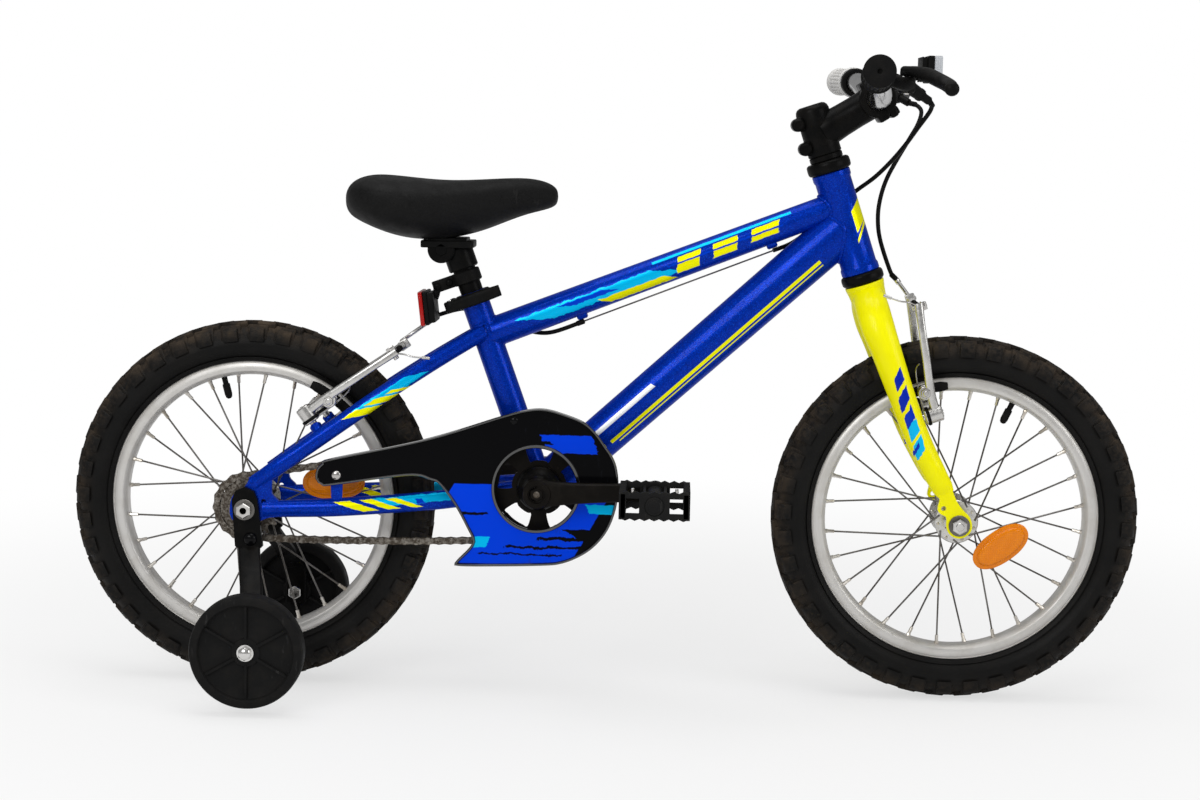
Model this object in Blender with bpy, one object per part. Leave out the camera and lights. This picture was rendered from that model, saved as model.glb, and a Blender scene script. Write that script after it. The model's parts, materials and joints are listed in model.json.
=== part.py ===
"""A 16-inch kids bike with stabilisers.

Sizes below are in millimetres and every mesh is written in metres. The origin is on the ground,
midway between the two axles. +X is forward, +Y is the rider's left and +Z is up.
"""

import math

import bmesh
import bpy
from mathutils import Matrix, Vector

MM = 0.001
GAP = 0.3

# Wheels
WHEEL_RADIUS = 203.5
WHEELBASE = 782.0
TYRE_HALF_WIDTH = 25.8
TYRE_SECTION = 51.0
RIM_OUTER_RADIUS = 158.5
RIM_DEPTH = 15.5
RIM_INNER_RADIUS = RIM_OUTER_RADIUS - RIM_DEPTH
RIM_HALF_WIDTH = 12.6
SPOKES_PER_SIDE = 14
SPOKE_RADIUS = 1.0
NIPPLE_RADIUS = 2.1
NIPPLE_LENGTH = 9.0
FLANGE_RADIUS = 24.0
FLANGE_Y = 26.0
FLANGE_THICKNESS = 3.4
AXLE_RADIUS = 4.8
FRONT_DROPOUT_Y = 50.0
REAR_DROPOUT_Y = 55.5
DROPOUT_THICKNESS = 5.0
NUT_RADIUS = 10.5
VALVE_LENGTH = 26.0

# Steering
HEAD_ANGLE = 71.35
HEAD_FOOT = Vector((281.0, 0.0, 468.7))
HEAD_TUBE_RADIUS = 20.0
HEAD_TUBE_FROM = 6.0
HEAD_TUBE_TO = 121.0
HEAD_BORE_RADIUS = 15.6
STEERER_RADIUS = 14.3
CUP_RADIUS = 23.6
SPACER_RADIUS = 18.4
SPACER_TO = 141.0
STEM_TOP = 197.0
STEM_RADIUS = 18.6
STEM_ARM_RADIUS = 18.0
FORK_LEG_Y = 46.0
FORK_LEG_RADIUS = 13.2
FORK_RAKE_FROM = -222.0
BAR_RADIUS = 11.1
BAR_CLAMP_RADIUS = 12.7
BAR_CENTRE = Vector((290.0, 0.0, 663.4))
GRIP_RADIUS = 15.6
GRIP_FLANGE_RADIUS = 17.5
GRIP_FROM = 157.0
GRIP_TO = 262.0
LEVER_PIVOT = Vector((309.0, -124.0, 676.5))
LEVER_TIP = Vector((342.6, -232.0, 671.7))

# Frame tubes
SEAT_ANGLE = 70.0
CRANK_CENTRE = Vector((-69.0, 0.0, 232.3))
SEAT_TUBE_FOOT = Vector((-71.8, 0.0, 230.0))
SEAT_TUBE_RADIUS = 15.5
SEAT_TUBE_TOP = 227.0
POST_RADIUS = 12.7
POST_FROM = 92.0
POST_TO = 280.0
TOP_TUBE_ENDS = (Vector((-133.0, 0.0, 396.0)), Vector((252.0, 0.0, 548.0)))
TOP_TUBE_RADII = (16.9, 15.2)
DOWN_TUBE_ENDS = (Vector((-69.0, 0.0, 224.0)), Vector((262.0, 0.0, 526.3)))
DOWN_TUBE_RADII = ((19.0, 23.6), (19.8, 25.6))
SHELL_RADIUS = 20.0
SHELL_HALF_WIDTH = 34.0
SEAT_STAY_RADIUS = 9.2
GUIDES_X = (-33.0, 174.5)
GUIDE_DEPTH = 4.5
CABLE_RADIUS = 2.4
NOODLE_RADIUS = 2.9
CHAIN_STAY_RADIUS = 10.3

# Drive
CHAIN_PITCH = 12.7
COG_TEETH = 17
RING_TEETH = 28
CHAIN_Y = -42.0
CHAIN_HALF_HEIGHT = 4.2
CHAIN_HALF_WIDTH = 3.7
SPROCKET_THICKNESS = 2.3
CHAIN_SAG = 3.5
CRANK_LENGTH = 128.0
CRANK_Y = 82.5
CRANK_THICKNESS = 13.0
PEDAL_FROM_Y = 95.5
PEDAL_TO_Y = 174.0
PEDAL_LENGTH = 74.0
PEDAL_HEIGHT = 30.0
GUARD_Y = -58.0
GUARD_THICKNESS = 2.4

# Brakes
ARM_LENGTH = 121.0
ARM_Y = 42.0
PAD_HEIGHT = 25.0
PAD_DEPTH = 8.5
PAD_GAP = 1.6
FRONT_PIVOT_S = -162.4
ARM_NORMAL = 32.0

# Stabilisers
STABILISER_RADIUS = 61.0
STABILISER_LIFT = 8.0
STABILISER_WIDTH = 26.0
STABILISER_Y = 173.0
STABILISER_AHEAD = 21.5
STABILISER_X = -WHEELBASE / 2 + STABILISER_AHEAD
STABILISER_BAR_WIDTH = 24.0
STABILISER_BAR_THICKNESS = 6.0

SIDES = (("right", -1), ("left", 1))
FRONT_AXLE = Vector((WHEELBASE / 2, 0.0, WHEEL_RADIUS))
REAR_AXLE = Vector((-WHEELBASE / 2, 0.0, WHEEL_RADIUS))
ALONG_Y = Vector((0.0, 1.0, 0.0))
ALONG_X = Vector((1.0, 0.0, 0.0))
ALONG_Z = Vector((0.0, 0.0, 1.0))
STEER_UP = Vector((-math.cos(math.radians(HEAD_ANGLE)), 0.0, math.sin(math.radians(HEAD_ANGLE))))
STEER_AHEAD = Vector((STEER_UP.z, 0.0, -STEER_UP.x))
SEAT_UP = Vector((-math.cos(math.radians(SEAT_ANGLE)), 0.0, math.sin(math.radians(SEAT_ANGLE))))
SEAT_AHEAD = Vector((SEAT_UP.z, 0.0, -SEAT_UP.x))
STAY_UP = Vector((0.811, 0.0, 0.585)).normalized()
STAY_OUT = Vector((-STAY_UP.z, 0.0, STAY_UP.x))
REAR_PIVOT = Vector((-308.7, 0.0, 284.4))


def steered(s, ahead=0.0, y=0.0):
    """A point given along the steering axis, ahead of it and across."""
    return HEAD_FOOT + STEER_UP * s + STEER_AHEAD * ahead + ALONG_Y * y


def on_seat_tube(s, ahead=0.0, y=0.0):
    return SEAT_TUBE_FOOT + SEAT_UP * s + SEAT_AHEAD * ahead + ALONG_Y * y


def under_top_tube(x, below, y=0.0):
    """A point below the underside of the top tube."""
    start, end = TOP_TUBE_ENDS
    part = (x - start.x) / (end.x - start.x)
    slope = (end - start).normalized()
    down = Vector((slope.z, 0.0, -slope.x))
    radius = TOP_TUBE_RADII[0] + (TOP_TUBE_RADII[1] - TOP_TUBE_RADII[0]) * part
    return start.lerp(end, part) + down * (radius + below) + ALONG_Y * y


def clear_scene():
    for obj in list(bpy.data.objects):
        bpy.data.objects.remove(obj, do_unlink=True)


def material(name, colour, roughness, metallic=0.0):
    made = bpy.data.materials.new(name)
    made.use_nodes = True
    shader = made.node_tree.nodes["Principled BSDF"]
    shader.inputs["Base Color"].default_value = (*colour, 1.0)
    shader.inputs["Roughness"].default_value = roughness
    shader.inputs["Metallic"].default_value = metallic
    return made


# Shapes


def shape(name, points, faces):
    """A closed mesh object with its faces outward, from points in millimetres."""
    work = bmesh.new()
    verts = [work.verts.new(Vector(point) * MM) for point in points]
    for face in faces:
        work.faces.new([verts[i] for i in face])
    bmesh.ops.remove_doubles(work, verts=work.verts, dist=1e-7)
    bmesh.ops.recalc_face_normals(work, faces=work.faces)
    mesh = bpy.data.meshes.new(name)
    work.to_mesh(mesh)
    work.free()
    made = bpy.data.objects.new(name, mesh)
    bpy.context.scene.collection.objects.link(made)
    return made


def lofted(name, rings, looped=False):
    """A skin over rings of equal count, closed by flat ends or joined into a loop."""
    count = len(rings[0])
    points = [point for ring in rings for point in ring]
    faces = []
    pairs = len(rings) if looped else len(rings) - 1
    for i in range(pairs):
        here = i * count
        there = ((i + 1) % len(rings)) * count
        for j in range(count):
            k = (j + 1) % count
            faces.append((here + j, here + k, there + k, there + j))
    if not looped:
        faces.append(tuple(range(count)))
        faces.append(tuple(range((len(rings) - 1) * count, len(rings) * count)))
    return shape(name, points, faces)


def oval(centre, across, up, half_across, half_up, sides, power=1.0):
    """A ring of points round a centre; a power under 1 squares it off."""
    points = []
    for i in range(sides):
        angle = 2 * math.pi * (i + 0.5) / sides
        c = math.cos(angle)
        s = math.sin(angle)
        c = math.copysign(abs(c) ** power, c)
        s = math.copysign(abs(s) ** power, s)
        points.append(Vector(centre) + across * (half_across * c) + up * (half_up * s))
    return points


def tube(name, points, radii, sides=16, across=ALONG_Y, power=1.0):
    """A rod swept along points; each radius is one number or a pair (across, up)."""
    points = [Vector(point) for point in points]
    if not isinstance(radii, (list, tuple)):
        radii = [radii] * len(points)
    rings = []
    for i, point in enumerate(points):
        before = points[max(i - 1, 0)]
        after = points[min(i + 1, len(points) - 1)]
        heading = (after - before).normalized()
        side = (across - heading * across.dot(heading)).normalized()
        up = heading.cross(side)
        radius = radii[i]
        pair = radius if isinstance(radius, tuple) else (radius, radius)
        rings.append(oval(point, side, up, pair[0], pair[1], sides, power))
    return lofted(name, rings)


def rod(name, start, end, radius, sides=12):
    start = Vector(start)
    end = Vector(end)
    across = ALONG_Z if abs((end - start).normalized().y) > 0.7 else ALONG_Y
    return tube(name, [start, end], radius, sides, across)


def turned(name, profile, centre, axis=ALONG_Y, steps=32, looped=False, start=None):
    """A body of revolution from (radius, height) pairs; radii of 0 meet on the axis."""
    axis = axis.normalized()
    side = start or axis.orthogonal().normalized()
    front = axis.cross(side)
    centre = Vector(centre)
    points = []
    count = len(profile)
    for i in range(steps):
        angle = 2 * math.pi * i / steps
        out = side * math.cos(angle) + front * math.sin(angle)
        for radius, height in profile:
            points.append(centre + axis * height + out * radius)
    faces = []
    spans = count if looped else count - 1
    for i in range(steps):
        here = i * count
        there = ((i + 1) % steps) * count
        for j in range(spans):
            k = (j + 1) % count
            corners = [here + j, here + k, there + k, there + j]
            if profile[j][0] == 0.0:
                corners = [here + j, here + k, there + k]
            elif profile[k][0] == 0.0:
                corners = [here + j, here + k, there + j]
            faces.append(corners)
    return shape(name, points, faces)


def ring(name, centre, axis, outer, inner, start, end, steps=20, bevel=0.8):
    """A collar with its two outer edges eased."""
    profile = [
        (inner, start),
        (outer - bevel, start),
        (outer, start + bevel),
        (outer, end - bevel),
        (outer - bevel, end),
        (inner, end),
    ]
    return turned(name, profile, centre, axis, steps, looped=True)


def disc(name, centre, axis, radius, start, end, steps=16, bevel=0.8):
    profile = [
        (0.0, start),
        (radius - bevel, start),
        (radius, start + bevel),
        (radius, end - bevel),
        (radius - bevel, end),
        (0.0, end),
    ]
    return turned(name, profile, centre, axis, steps)


def plate(name, outline, near, far):
    """A flat sheet: an (x, z) outline between two y values."""
    rings = [[Vector((x, y, z)) for x, z in outline] for y in (near, far)]
    return lofted(name, rings)


def around(axle, outline):
    """An (x, z) outline given from an axle."""
    return [(axle.x + x, axle.z + z) for x, z in outline]


def block(name, centre, size, along=ALONG_X, up=ALONG_Z):
    """A box with its sizes along, across and up."""
    along = along.normalized()
    across = up.cross(along).normalized()
    up = along.cross(across).normalized()
    rings = []
    for end in (-0.5, 0.5):
        middle = Vector(centre) + along * (size[0] * end)
        corners = ((-1, -1), (1, -1), (1, 1), (-1, 1))
        rings.append(
            [middle + across * (size[1] * c / 2) + up * (size[2] * u / 2) for c, u in corners]
        )
    return lofted(name, rings)


def mirrored(point, side):
    """The point on the right (-1) or left (+1) side, from one given on the right."""
    return Vector((point[0], -side * point[1], point[2]))


def combine(base, others, operation, own=False):
    for other in others:
        step = base.modifiers.new(operation.lower(), "BOOLEAN")
        step.operation = operation
        step.solver = "EXACT"
        step.use_self = own
        step.object = other
        other.hide_render = True
        other.display_type = "WIRE"


def finished(obj, look, name=None, angle=38.0, bevel=0.0):
    """Works the modifiers into the mesh, drops the cutters and shades the round faces."""
    if bevel:
        edge = obj.modifiers.new("bevel", "BEVEL")
        edge.width = bevel * MM
        edge.segments = 1
        edge.limit_method = "ANGLE"
        edge.angle_limit = math.radians(50.0)
        edge.use_clamp_overlap = True
    used = [step.object for step in obj.modifiers if step.type == "BOOLEAN"]
    graph = bpy.context.evaluated_depsgraph_get()
    mesh = bpy.data.meshes.new_from_object(obj.evaluated_get(graph))
    obj.modifiers.clear()
    obj.data = mesh
    for cutter in used:
        bpy.data.objects.remove(cutter, do_unlink=True)
    mesh.materials.clear()
    mesh.materials.append(look)
    mesh.polygons.foreach_set("use_smooth", [True] * len(mesh.polygons))
    mesh.set_sharp_from_angle(angle=math.radians(angle))
    if name:
        obj.name = name
        mesh.name = name
    return obj


def joined(name, look, parts, cuts=(), angle=38.0, bevel=0.0):
    """One closed body: the parts welded together, then the cuts taken out."""
    base = parts[0]
    combine(base, parts[1:], "UNION")
    combine(base, cuts, "DIFFERENCE")
    return finished(base, look, name, angle, bevel)


def axis_at(name, point, children):
    """A moving piece hangs from an empty that stands on its joint."""
    pivot = bpy.data.objects.new(name, None)
    bpy.context.scene.collection.objects.link(pivot)
    pivot.location = Vector(point) * MM
    pivot.empty_display_size = 0.02
    bpy.context.view_layer.update()
    for child in children:
        child.parent = pivot
        child.matrix_parent_inverse = pivot.matrix_world.inverted()
    return pivot


def smooth_path(points, step):
    """Evenly spaced points on a smooth curve through the chosen ones."""
    points = [Vector(point) for point in points]
    dense = []
    for i in range(len(points) - 1):
        p0 = points[max(i - 1, 0)]
        p1 = points[i]
        p2 = points[i + 1]
        p3 = points[min(i + 2, len(points) - 1)]
        for k in range(24):
            t = k / 24
            dense.append(
                0.5
                * (
                    2 * p1
                    + (p2 - p0) * t
                    + (2 * p0 - 5 * p1 + 4 * p2 - p3) * t * t
                    + (3 * p1 - p0 - 3 * p2 + p3) * t * t * t
                )
            )
    dense.append(points[-1])
    lengths = [0.0]
    for a, b in zip(dense, dense[1:]):
        lengths.append(lengths[-1] + (b - a).length)
    count = max(2, round(lengths[-1] / step))
    spaced = []
    at = 0
    for i in range(count + 1):
        target = lengths[-1] * i / count
        while at < len(dense) - 2 and lengths[at + 1] < target:
            at += 1
        span = lengths[at + 1] - lengths[at]
        spaced.append(dense[at].lerp(dense[at + 1], (target - lengths[at]) / span))
    return spaced


def cable(name, look, points, radius, step):
    """A housing laid as a bevelled curve along its whole route."""
    data = bpy.data.curves.new(name, "CURVE")
    data.dimensions = "3D"
    data.bevel_depth = radius * MM
    data.bevel_resolution = 2
    data.use_fill_caps = True
    path = smooth_path(points, step)
    line = data.splines.new("POLY")
    line.points.add(len(path) - 1)
    for slot, point in zip(line.points, path):
        slot.co = (*(point * MM), 1.0)
    data.materials.append(look)
    made = bpy.data.objects.new(name, data)
    bpy.context.scene.collection.objects.link(made)
    return made


# Wheels


def tyre(name, axle, look):
    crown = WHEEL_RADIUS
    bead = RIM_OUTER_RADIUS + 0.6
    outer = [
        (bead, -RIM_HALF_WIDTH + 1.2),
        (crown - TYRE_SECTION * 0.56, -TYRE_HALF_WIDTH + 1.4),
        (crown - 13.0, -TYRE_HALF_WIDTH),
        (crown - 4.5, -TYRE_HALF_WIDTH + 5.5),
        (crown, -TYRE_HALF_WIDTH + 15.0),
    ]
    profile = outer + [(radius, -y) for radius, y in reversed(outer)]
    profile += [
        (bead, RIM_HALF_WIDTH - 3.6),
        (crown - 14.0, TYRE_HALF_WIDTH - 8.0),
        (crown - 14.0, -TYRE_HALF_WIDTH + 8.0),
        (bead, -RIM_HALF_WIDTH + 3.6),
    ]
    made = turned(name, profile, axle, ALONG_Y, 36, looped=True, start=ALONG_Z)
    return finished(made, look)


def rim(name, axle, valve_angle, look):
    half = RIM_HALF_WIDTH
    profile = [
        (RIM_INNER_RADIUS, -6.0),
        (RIM_INNER_RADIUS, 6.0),
        (RIM_INNER_RADIUS + 4.5, half),
        (RIM_OUTER_RADIUS, half),
        (RIM_OUTER_RADIUS, half - 1.8),
        (RIM_INNER_RADIUS + 5.0, half - 3.6),
        (RIM_INNER_RADIUS + 5.0, -half + 3.6),
        (RIM_OUTER_RADIUS, -half + 1.8),
        (RIM_OUTER_RADIUS, -half),
        (RIM_INNER_RADIUS + 4.5, -half),
    ]
    base = turned(name, profile, axle, ALONG_Y, 32, looped=True, start=ALONG_Z)
    out = Vector((math.cos(valve_angle), 0.0, math.sin(valve_angle)))
    top = axle + out * (RIM_INNER_RADIUS + 2.5)
    stem = tube(
        "valve",
        [top, top - out * 10.0, top - out * 10.1, top - out * VALVE_LENGTH],
        [3.4, 3.4, 4.3, 3.9],
        8,
    )
    return joined(name, look, [base, stem])


def laced_hub(name, axle, look, shell_from, shell_to, shell_radius, end_radius, phase):
    """The hub shell with its flanges and the crossed spokes that end in nipples at the rim."""
    edge = FLANGE_THICKNESS / 2
    bore = AXLE_RADIUS + 0.5
    profile = [
        (bore, shell_from),
        (end_radius, shell_from),
        (end_radius, -FLANGE_Y - edge),
        (FLANGE_RADIUS, -FLANGE_Y - edge),
        (FLANGE_RADIUS, -FLANGE_Y + edge),
        (shell_radius, -FLANGE_Y + edge + 5.0),
        (shell_radius, FLANGE_Y - edge - 5.0),
        (FLANGE_RADIUS, FLANGE_Y - edge),
        (FLANGE_RADIUS, FLANGE_Y + edge),
        (end_radius, FLANGE_Y + edge),
        (end_radius, shell_to),
        (bore, shell_to),
    ]
    hub = turned(name, profile, axle, ALONG_Y, 12, looped=True)
    pitch = 2 * math.pi / SPOKES_PER_SIDE
    rings = []
    faces = []
    sides = 4
    for side in (-1, 1):
        for i in range(SPOKES_PER_SIDE):
            lead = 1 if i % 2 == 0 else -1
            turn = phase + i * pitch + (pitch / 2 if side > 0 else 0.0)
            aim = turn + lead * 2 * pitch
            inner = FLANGE_RADIUS - 3.5
            hole = side * (FLANGE_Y + lead * 1.2)
            start = axle + Vector((inner * math.cos(turn), hole, inner * math.sin(turn)))
            reach = RIM_INNER_RADIUS - 1.3
            end = axle + Vector((reach * math.cos(aim), side * (3.4 + lead * 1.1), reach * math.sin(aim)))
            heading = (end - start).normalized()
            across = (ALONG_Y - heading * heading.y).normalized()
            up = heading.cross(across)
            collar = end - heading * NIPPLE_LENGTH
            base = len(rings) * sides
            for point, radius in ((start, SPOKE_RADIUS), (collar, SPOKE_RADIUS), (end, NIPPLE_RADIUS)):
                rings.append(oval(point, across, up, radius, radius, sides))
            for k in range(2):
                for j in range(sides):
                    m = (j + 1) % sides
                    here = base + k * sides
                    faces.append((here + j, here + m, here + sides + m, here + sides + j))
            faces.append(tuple(base + j for j in range(sides)))
            faces.append(tuple(base + 2 * sides + j for j in range(sides)))
    spokes = shape("spokes", [point for part in rings for point in part], faces)
    combine(hub, [spokes], "UNION", own=True)
    return finished(hub, look, name)


def axle_rod(name, axle, look, half_length, nut_from):
    """The axle with its locknuts inside the dropouts and its nuts outside."""
    radius = AXLE_RADIUS
    profile = [(0.0, -half_length), (radius, -half_length)]
    profile += [(radius, -nut_from - 7.0), (NUT_RADIUS - 1.5, -nut_from - 7.0)]
    profile += [(NUT_RADIUS, -nut_from - 2.0), (NUT_RADIUS, -nut_from), (radius, -nut_from)]
    profile += [(r, -h) for r, h in reversed(profile)]
    return finished(turned(name, profile, axle, ALONG_Y, 10), look)


def sprocket_outline(centre, teeth):
    pitch_radius = CHAIN_PITCH / (2 * math.sin(math.pi / teeth))
    root = pitch_radius - 4.0
    tip = pitch_radius + 2.3
    outline = []
    for i in range(teeth):
        for part, radius in ((-0.22, root), (0.22, root), (0.5, tip)):
            angle = 2 * math.pi * (i + part) / teeth
            outline.append((centre.x + radius * math.cos(angle), centre.z + radius * math.sin(angle)))
    return outline


def spoke_reflector(name, axle, look, angle, radius, tilt):
    """An oval clip that lies on the outer side of the spokes."""
    out = Vector((math.cos(angle), 0.0, math.sin(angle)))
    slope = (FLANGE_Y - 3.4) / (RIM_INNER_RADIUS - FLANGE_RADIUS + 3.5)
    skin = FLANGE_Y - (radius - FLANGE_RADIUS + 3.5) * slope + 0.6
    centre = axle + out * radius - ALONG_Y * (skin + SPOKE_RADIUS - 0.2)
    inward = (out + ALONG_Y * slope).normalized()
    normal = (ALONG_Y - inward * inward.y).normalized()
    sideways = normal.cross(inward)
    long_axis = inward * math.cos(tilt) + sideways * math.sin(tilt)
    short_axis = normal.cross(long_axis)
    rings = []
    for depth, grow in ((0.0, -1.0), (-0.8, 0.0), (-4.2, 0.0), (-5.4, -1.6)):
        rings.append(
            oval(centre + normal * depth, long_axis, short_axis, 34.5 + grow, 19.0 + grow, 18, 0.86)
        )
    return finished(lofted(name, rings), look)


# Frame


def seat_stay_points(side):
    return [
        mirrored(point, side)
        for point in (
            (-383.0, -55.5, 231.0),
            (-353.0, -55.0, 252.5),
            (-325.0, -52.0, 272.7),
            (-269.5, -48.0, 312.6),
            (-238.0, -44.0, 335.0),
            (-195.0, -31.0, 363.5),
            (-160.0, -20.0, 385.5),
            (-134.0, -12.0, 401.0),
        )
    ]


def chain_stay_points(side):
    return [
        mirrored(point, side)
        for point in (
            (-372.0, -54.5, 203.0),
            (-286.5, -51.0, 207.0),
            (-199.0, -41.0, 213.5),
            (-165.0, -34.0, 217.0),
            (-128.0, -27.0, 222.0),
            (-78.0, -20.0, 229.0),
        )
    ]


def frame_body(look):
    head = turned(
        "frame",
        [
            (0.0, HEAD_TUBE_FROM),
            (HEAD_TUBE_RADIUS + 1.2, HEAD_TUBE_FROM),
            (HEAD_TUBE_RADIUS + 1.2, HEAD_TUBE_FROM + 7.0),
            (HEAD_TUBE_RADIUS, HEAD_TUBE_FROM + 8.5),
            (HEAD_TUBE_RADIUS, HEAD_TUBE_TO - 8.5),
            (HEAD_TUBE_RADIUS + 1.2, HEAD_TUBE_TO - 7.0),
            (HEAD_TUBE_RADIUS + 1.2, HEAD_TUBE_TO),
            (0.0, HEAD_TUBE_TO),
        ],
        HEAD_FOOT,
        STEER_UP,
        16,
    )
    parts = [head]
    parts.append(tube("top", TOP_TUBE_ENDS, list(TOP_TUBE_RADII), 14))
    parts.append(tube("down", DOWN_TUBE_ENDS, list(DOWN_TUBE_RADII), 14))
    parts.append(rod("seat", on_seat_tube(0.0), on_seat_tube(SEAT_TUBE_TOP), SEAT_TUBE_RADIUS, 14))
    parts.append(
        turned(
            "shell",
            [
                (0.0, -SHELL_HALF_WIDTH),
                (SHELL_RADIUS, -SHELL_HALF_WIDTH),
                (SHELL_RADIUS, SHELL_HALF_WIDTH),
                (0.0, SHELL_HALF_WIDTH),
            ],
            CRANK_CENTRE,
            ALONG_Y,
            14,
        )
    )
    for _, side in SIDES:
        tall = SEAT_STAY_RADIUS
        radii = [(5.4, tall), (7.2, tall)] + [(tall - 1.2, tall)] * 6
        parts.append(tube("seat stay", seat_stay_points(side), radii, 10))
        wide = CHAIN_STAY_RADIUS
        radii = [(wide - 2.0, wide), (wide - 0.6, wide), (wide - 1.2, wide), (wide - 2.2, wide + 0.5)]
        radii += [(wide - 2.2, wide + 0.5), (wide, wide)]
        parts.append(tube("chain stay", chain_stay_points(side), radii, 10))
        inner = side * (REAR_DROPOUT_Y - DROPOUT_THICKNESS / 2)
        outer = side * (REAR_DROPOUT_Y + DROPOUT_THICKNESS / 2)
        outline = [
            (-17.0, -7.5), (-11.0, -15.5), (0.0, -18.0), (12.0, -15.0), (25.0, -9.5),
            (37.0, -6.5), (37.0, 8.5), (29.0, 18.5), (29.0, 38.5), (21.0, 43.5),
            (7.0, 36.5), (-1.0, 24.5), (-10.0, 18.5), (-16.0, 9.5),
        ]
        parts.append(plate("dropout", around(REAR_AXLE, outline), inner, outer))
        boss = REAR_PIVOT + ALONG_Y * side * ARM_Y
        root = REAR_PIVOT + ALONG_Y * side * 48.0
        parts.append(rod("boss foot", root + STAY_OUT * 2.0, boss + STAY_OUT * 14.5, 7.0, 10))
        parts.append(rod("boss", boss + STAY_OUT * 13.0, boss + STAY_OUT * 39.0, 4.0, 8))
    bridge = Vector((-181.0, 0.0, 372.0))
    parts.append(rod("bridge", bridge - ALONG_Y * 24.0, bridge + ALONG_Y * 24.0, 5.5, 12))
    tab = [(-296.5, 206.0), (-285.0, 206.0), (-284.0, 245.5), (-287.5, 251.0), (-293.5, 251.0), (-297.5, 245.5)]
    parts.append(plate("tab", tab, -53.0, -56.2))
    slope = (TOP_TUBE_ENDS[1] - TOP_TUBE_ENDS[0]).normalized()
    for x in GUIDES_X:
        parts.append(block("guide", under_top_tube(x, GUIDE_DEPTH / 2 - 2.0), (13.0, 14.0, GUIDE_DEPTH + 4.0), slope))
    cuts = [
        rod("head bore", HEAD_FOOT - STEER_UP * 20.0, HEAD_FOOT + STEER_UP * 150.0, HEAD_BORE_RADIUS, 14),
        rod("post bore", on_seat_tube(POST_FROM - 22.0), on_seat_tube(SEAT_TUBE_TOP + 20.0), POST_RADIUS + 0.6, 14),
        rod("spindle bore", CRANK_CENTRE - ALONG_Y * 60.0, CRANK_CENTRE + ALONG_Y * 60.0, 8.9, 14),
        rod("axle bore", REAR_AXLE - ALONG_Y * 80.0, REAR_AXLE + ALONG_Y * 80.0, AXLE_RADIUS + 0.4, 12),
        rod("screw bore", (-290.7, -60.0, 243.5), (-290.7, -48.0, 243.5), 2.6, 12),
    ]
    return joined("frame", look, parts, cuts)


def fork_body(look):
    steerer = rod("fork", steered(-14.0), steered(STEM_TOP - 6.0), STEERER_RADIUS, 14)
    parts = [steerer]
    crown = [
        (0.0, -34.0),
        (16.0, -34.0),
        (19.5, -26.0),
        (20.6, -14.0),
        (CUP_RADIUS - 1.4, -9.0),
        (CUP_RADIUS - 1.4, -6.4),
        (0.0, -6.4),
    ]
    parts.append(turned("crown", crown, HEAD_FOOT, STEER_UP, 14))
    for _, side in SIDES:
        path = (
            (-19.0, 0.0, 4.0),
            (-26.0, -0.5, 18.0),
            (-37.0, -1.5, 31.0),
            (-55.0, -2.0, 40.0),
            (-80.0, -1.0, 44.8),
            (-124.0, 0.6, FORK_LEG_Y),
            (-180.0, 4.0, FORK_LEG_Y),
            (FORK_RAKE_FROM, 10.4, FORK_LEG_Y + 1.0),
            (-243.0, 14.6, FORK_LEG_Y + 2.0),
            (-250.0, 16.4, FORK_LEG_Y + 3.0),
        )
        points = [steered(s, ahead, side * y) for s, ahead, y in path]
        radii = [
            (15.0, 17.0), (15.0, 18.0), (15.0, 18.5), (14.4, 18.2), (13.6, 16.4),
            (13.2, 14.6), (12.6, 13.6), (11.6, 12.6), (7.5, 11.6), (3.0, 9.0),
        ]
        across = ALONG_Y
        rings = []
        for i, point in enumerate(points):
            before = points[max(i - 1, 0)]
            after = points[min(i + 1, len(points) - 1)]
            heading = (after - before).normalized()
            front = (STEER_AHEAD - heading * STEER_AHEAD.dot(heading)).normalized()
            across = heading.cross(front)
            rings.append(oval(point, across, front, radii[i][0], radii[i][1], 10))
        parts.append(lofted("leg", rings))
        inner = side * (FRONT_DROPOUT_Y - DROPOUT_THICKNESS / 2)
        outer = side * (FRONT_DROPOUT_Y + DROPOUT_THICKNESS / 2)
        outline = [
            (-31.0, 48.0), (-14.0, 49.0), (-8.5, 38.0), (-3.0, 26.0), (4.0, 17.0), (11.0, 10.0),
            (14.0, 1.0), (12.5, -7.0), (6.0, -12.8), (-2.0, -14.0), (-10.0, -10.0), (-13.8, -2.0),
            (-14.5, 9.0), (-20.0, 12.0), (-24.0, 16.5), (-23.4, 22.5), (-22.5, 30.0), (-28.0, 38.0),
        ]
        parts.append(plate("dropout", around(FRONT_AXLE, outline), inner, outer))
        boss = steered(FRONT_PIVOT_S, 0.0, side * ARM_Y)
        parts.append(rod("boss foot", boss + STEER_AHEAD * 4.0, boss + STEER_AHEAD * 15.0, 8.0, 10))
        parts.append(rod("boss", boss + STEER_AHEAD * 13.0, boss + STEER_AHEAD * 39.0, 4.0, 8))
    cuts = [
        rod("axle bore", FRONT_AXLE - ALONG_Y * 80.0, FRONT_AXLE + ALONG_Y * 80.0, AXLE_RADIUS + 0.4, 12),
        rod("eyelet", FRONT_AXLE + Vector((-17.5, -70.0, 18.5)), FRONT_AXLE + Vector((-17.5, 70.0, 18.5)), 2.6, 12),
    ]
    return joined("fork", look, parts, cuts)


# Cockpit


def bar_points():
    half = [
        (290.0, 28.0, 663.4),
        (290.0, 47.0, 663.5),
        (289.5, 60.0, 664.6),
        (288.0, 75.0, 668.0),
        (285.0, 92.0, 673.8),
        (281.8, 107.0, 679.6),
        (280.0, 116.0, 682.2),
        (278.6, 126.0, 683.3),
        (268.9, GRIP_TO - 4.0, 686.8),
    ]
    right = [Vector((x, -y, z)) for x, y, z in reversed(half)]
    left = [Vector(point) for point in half]
    return right, left


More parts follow.
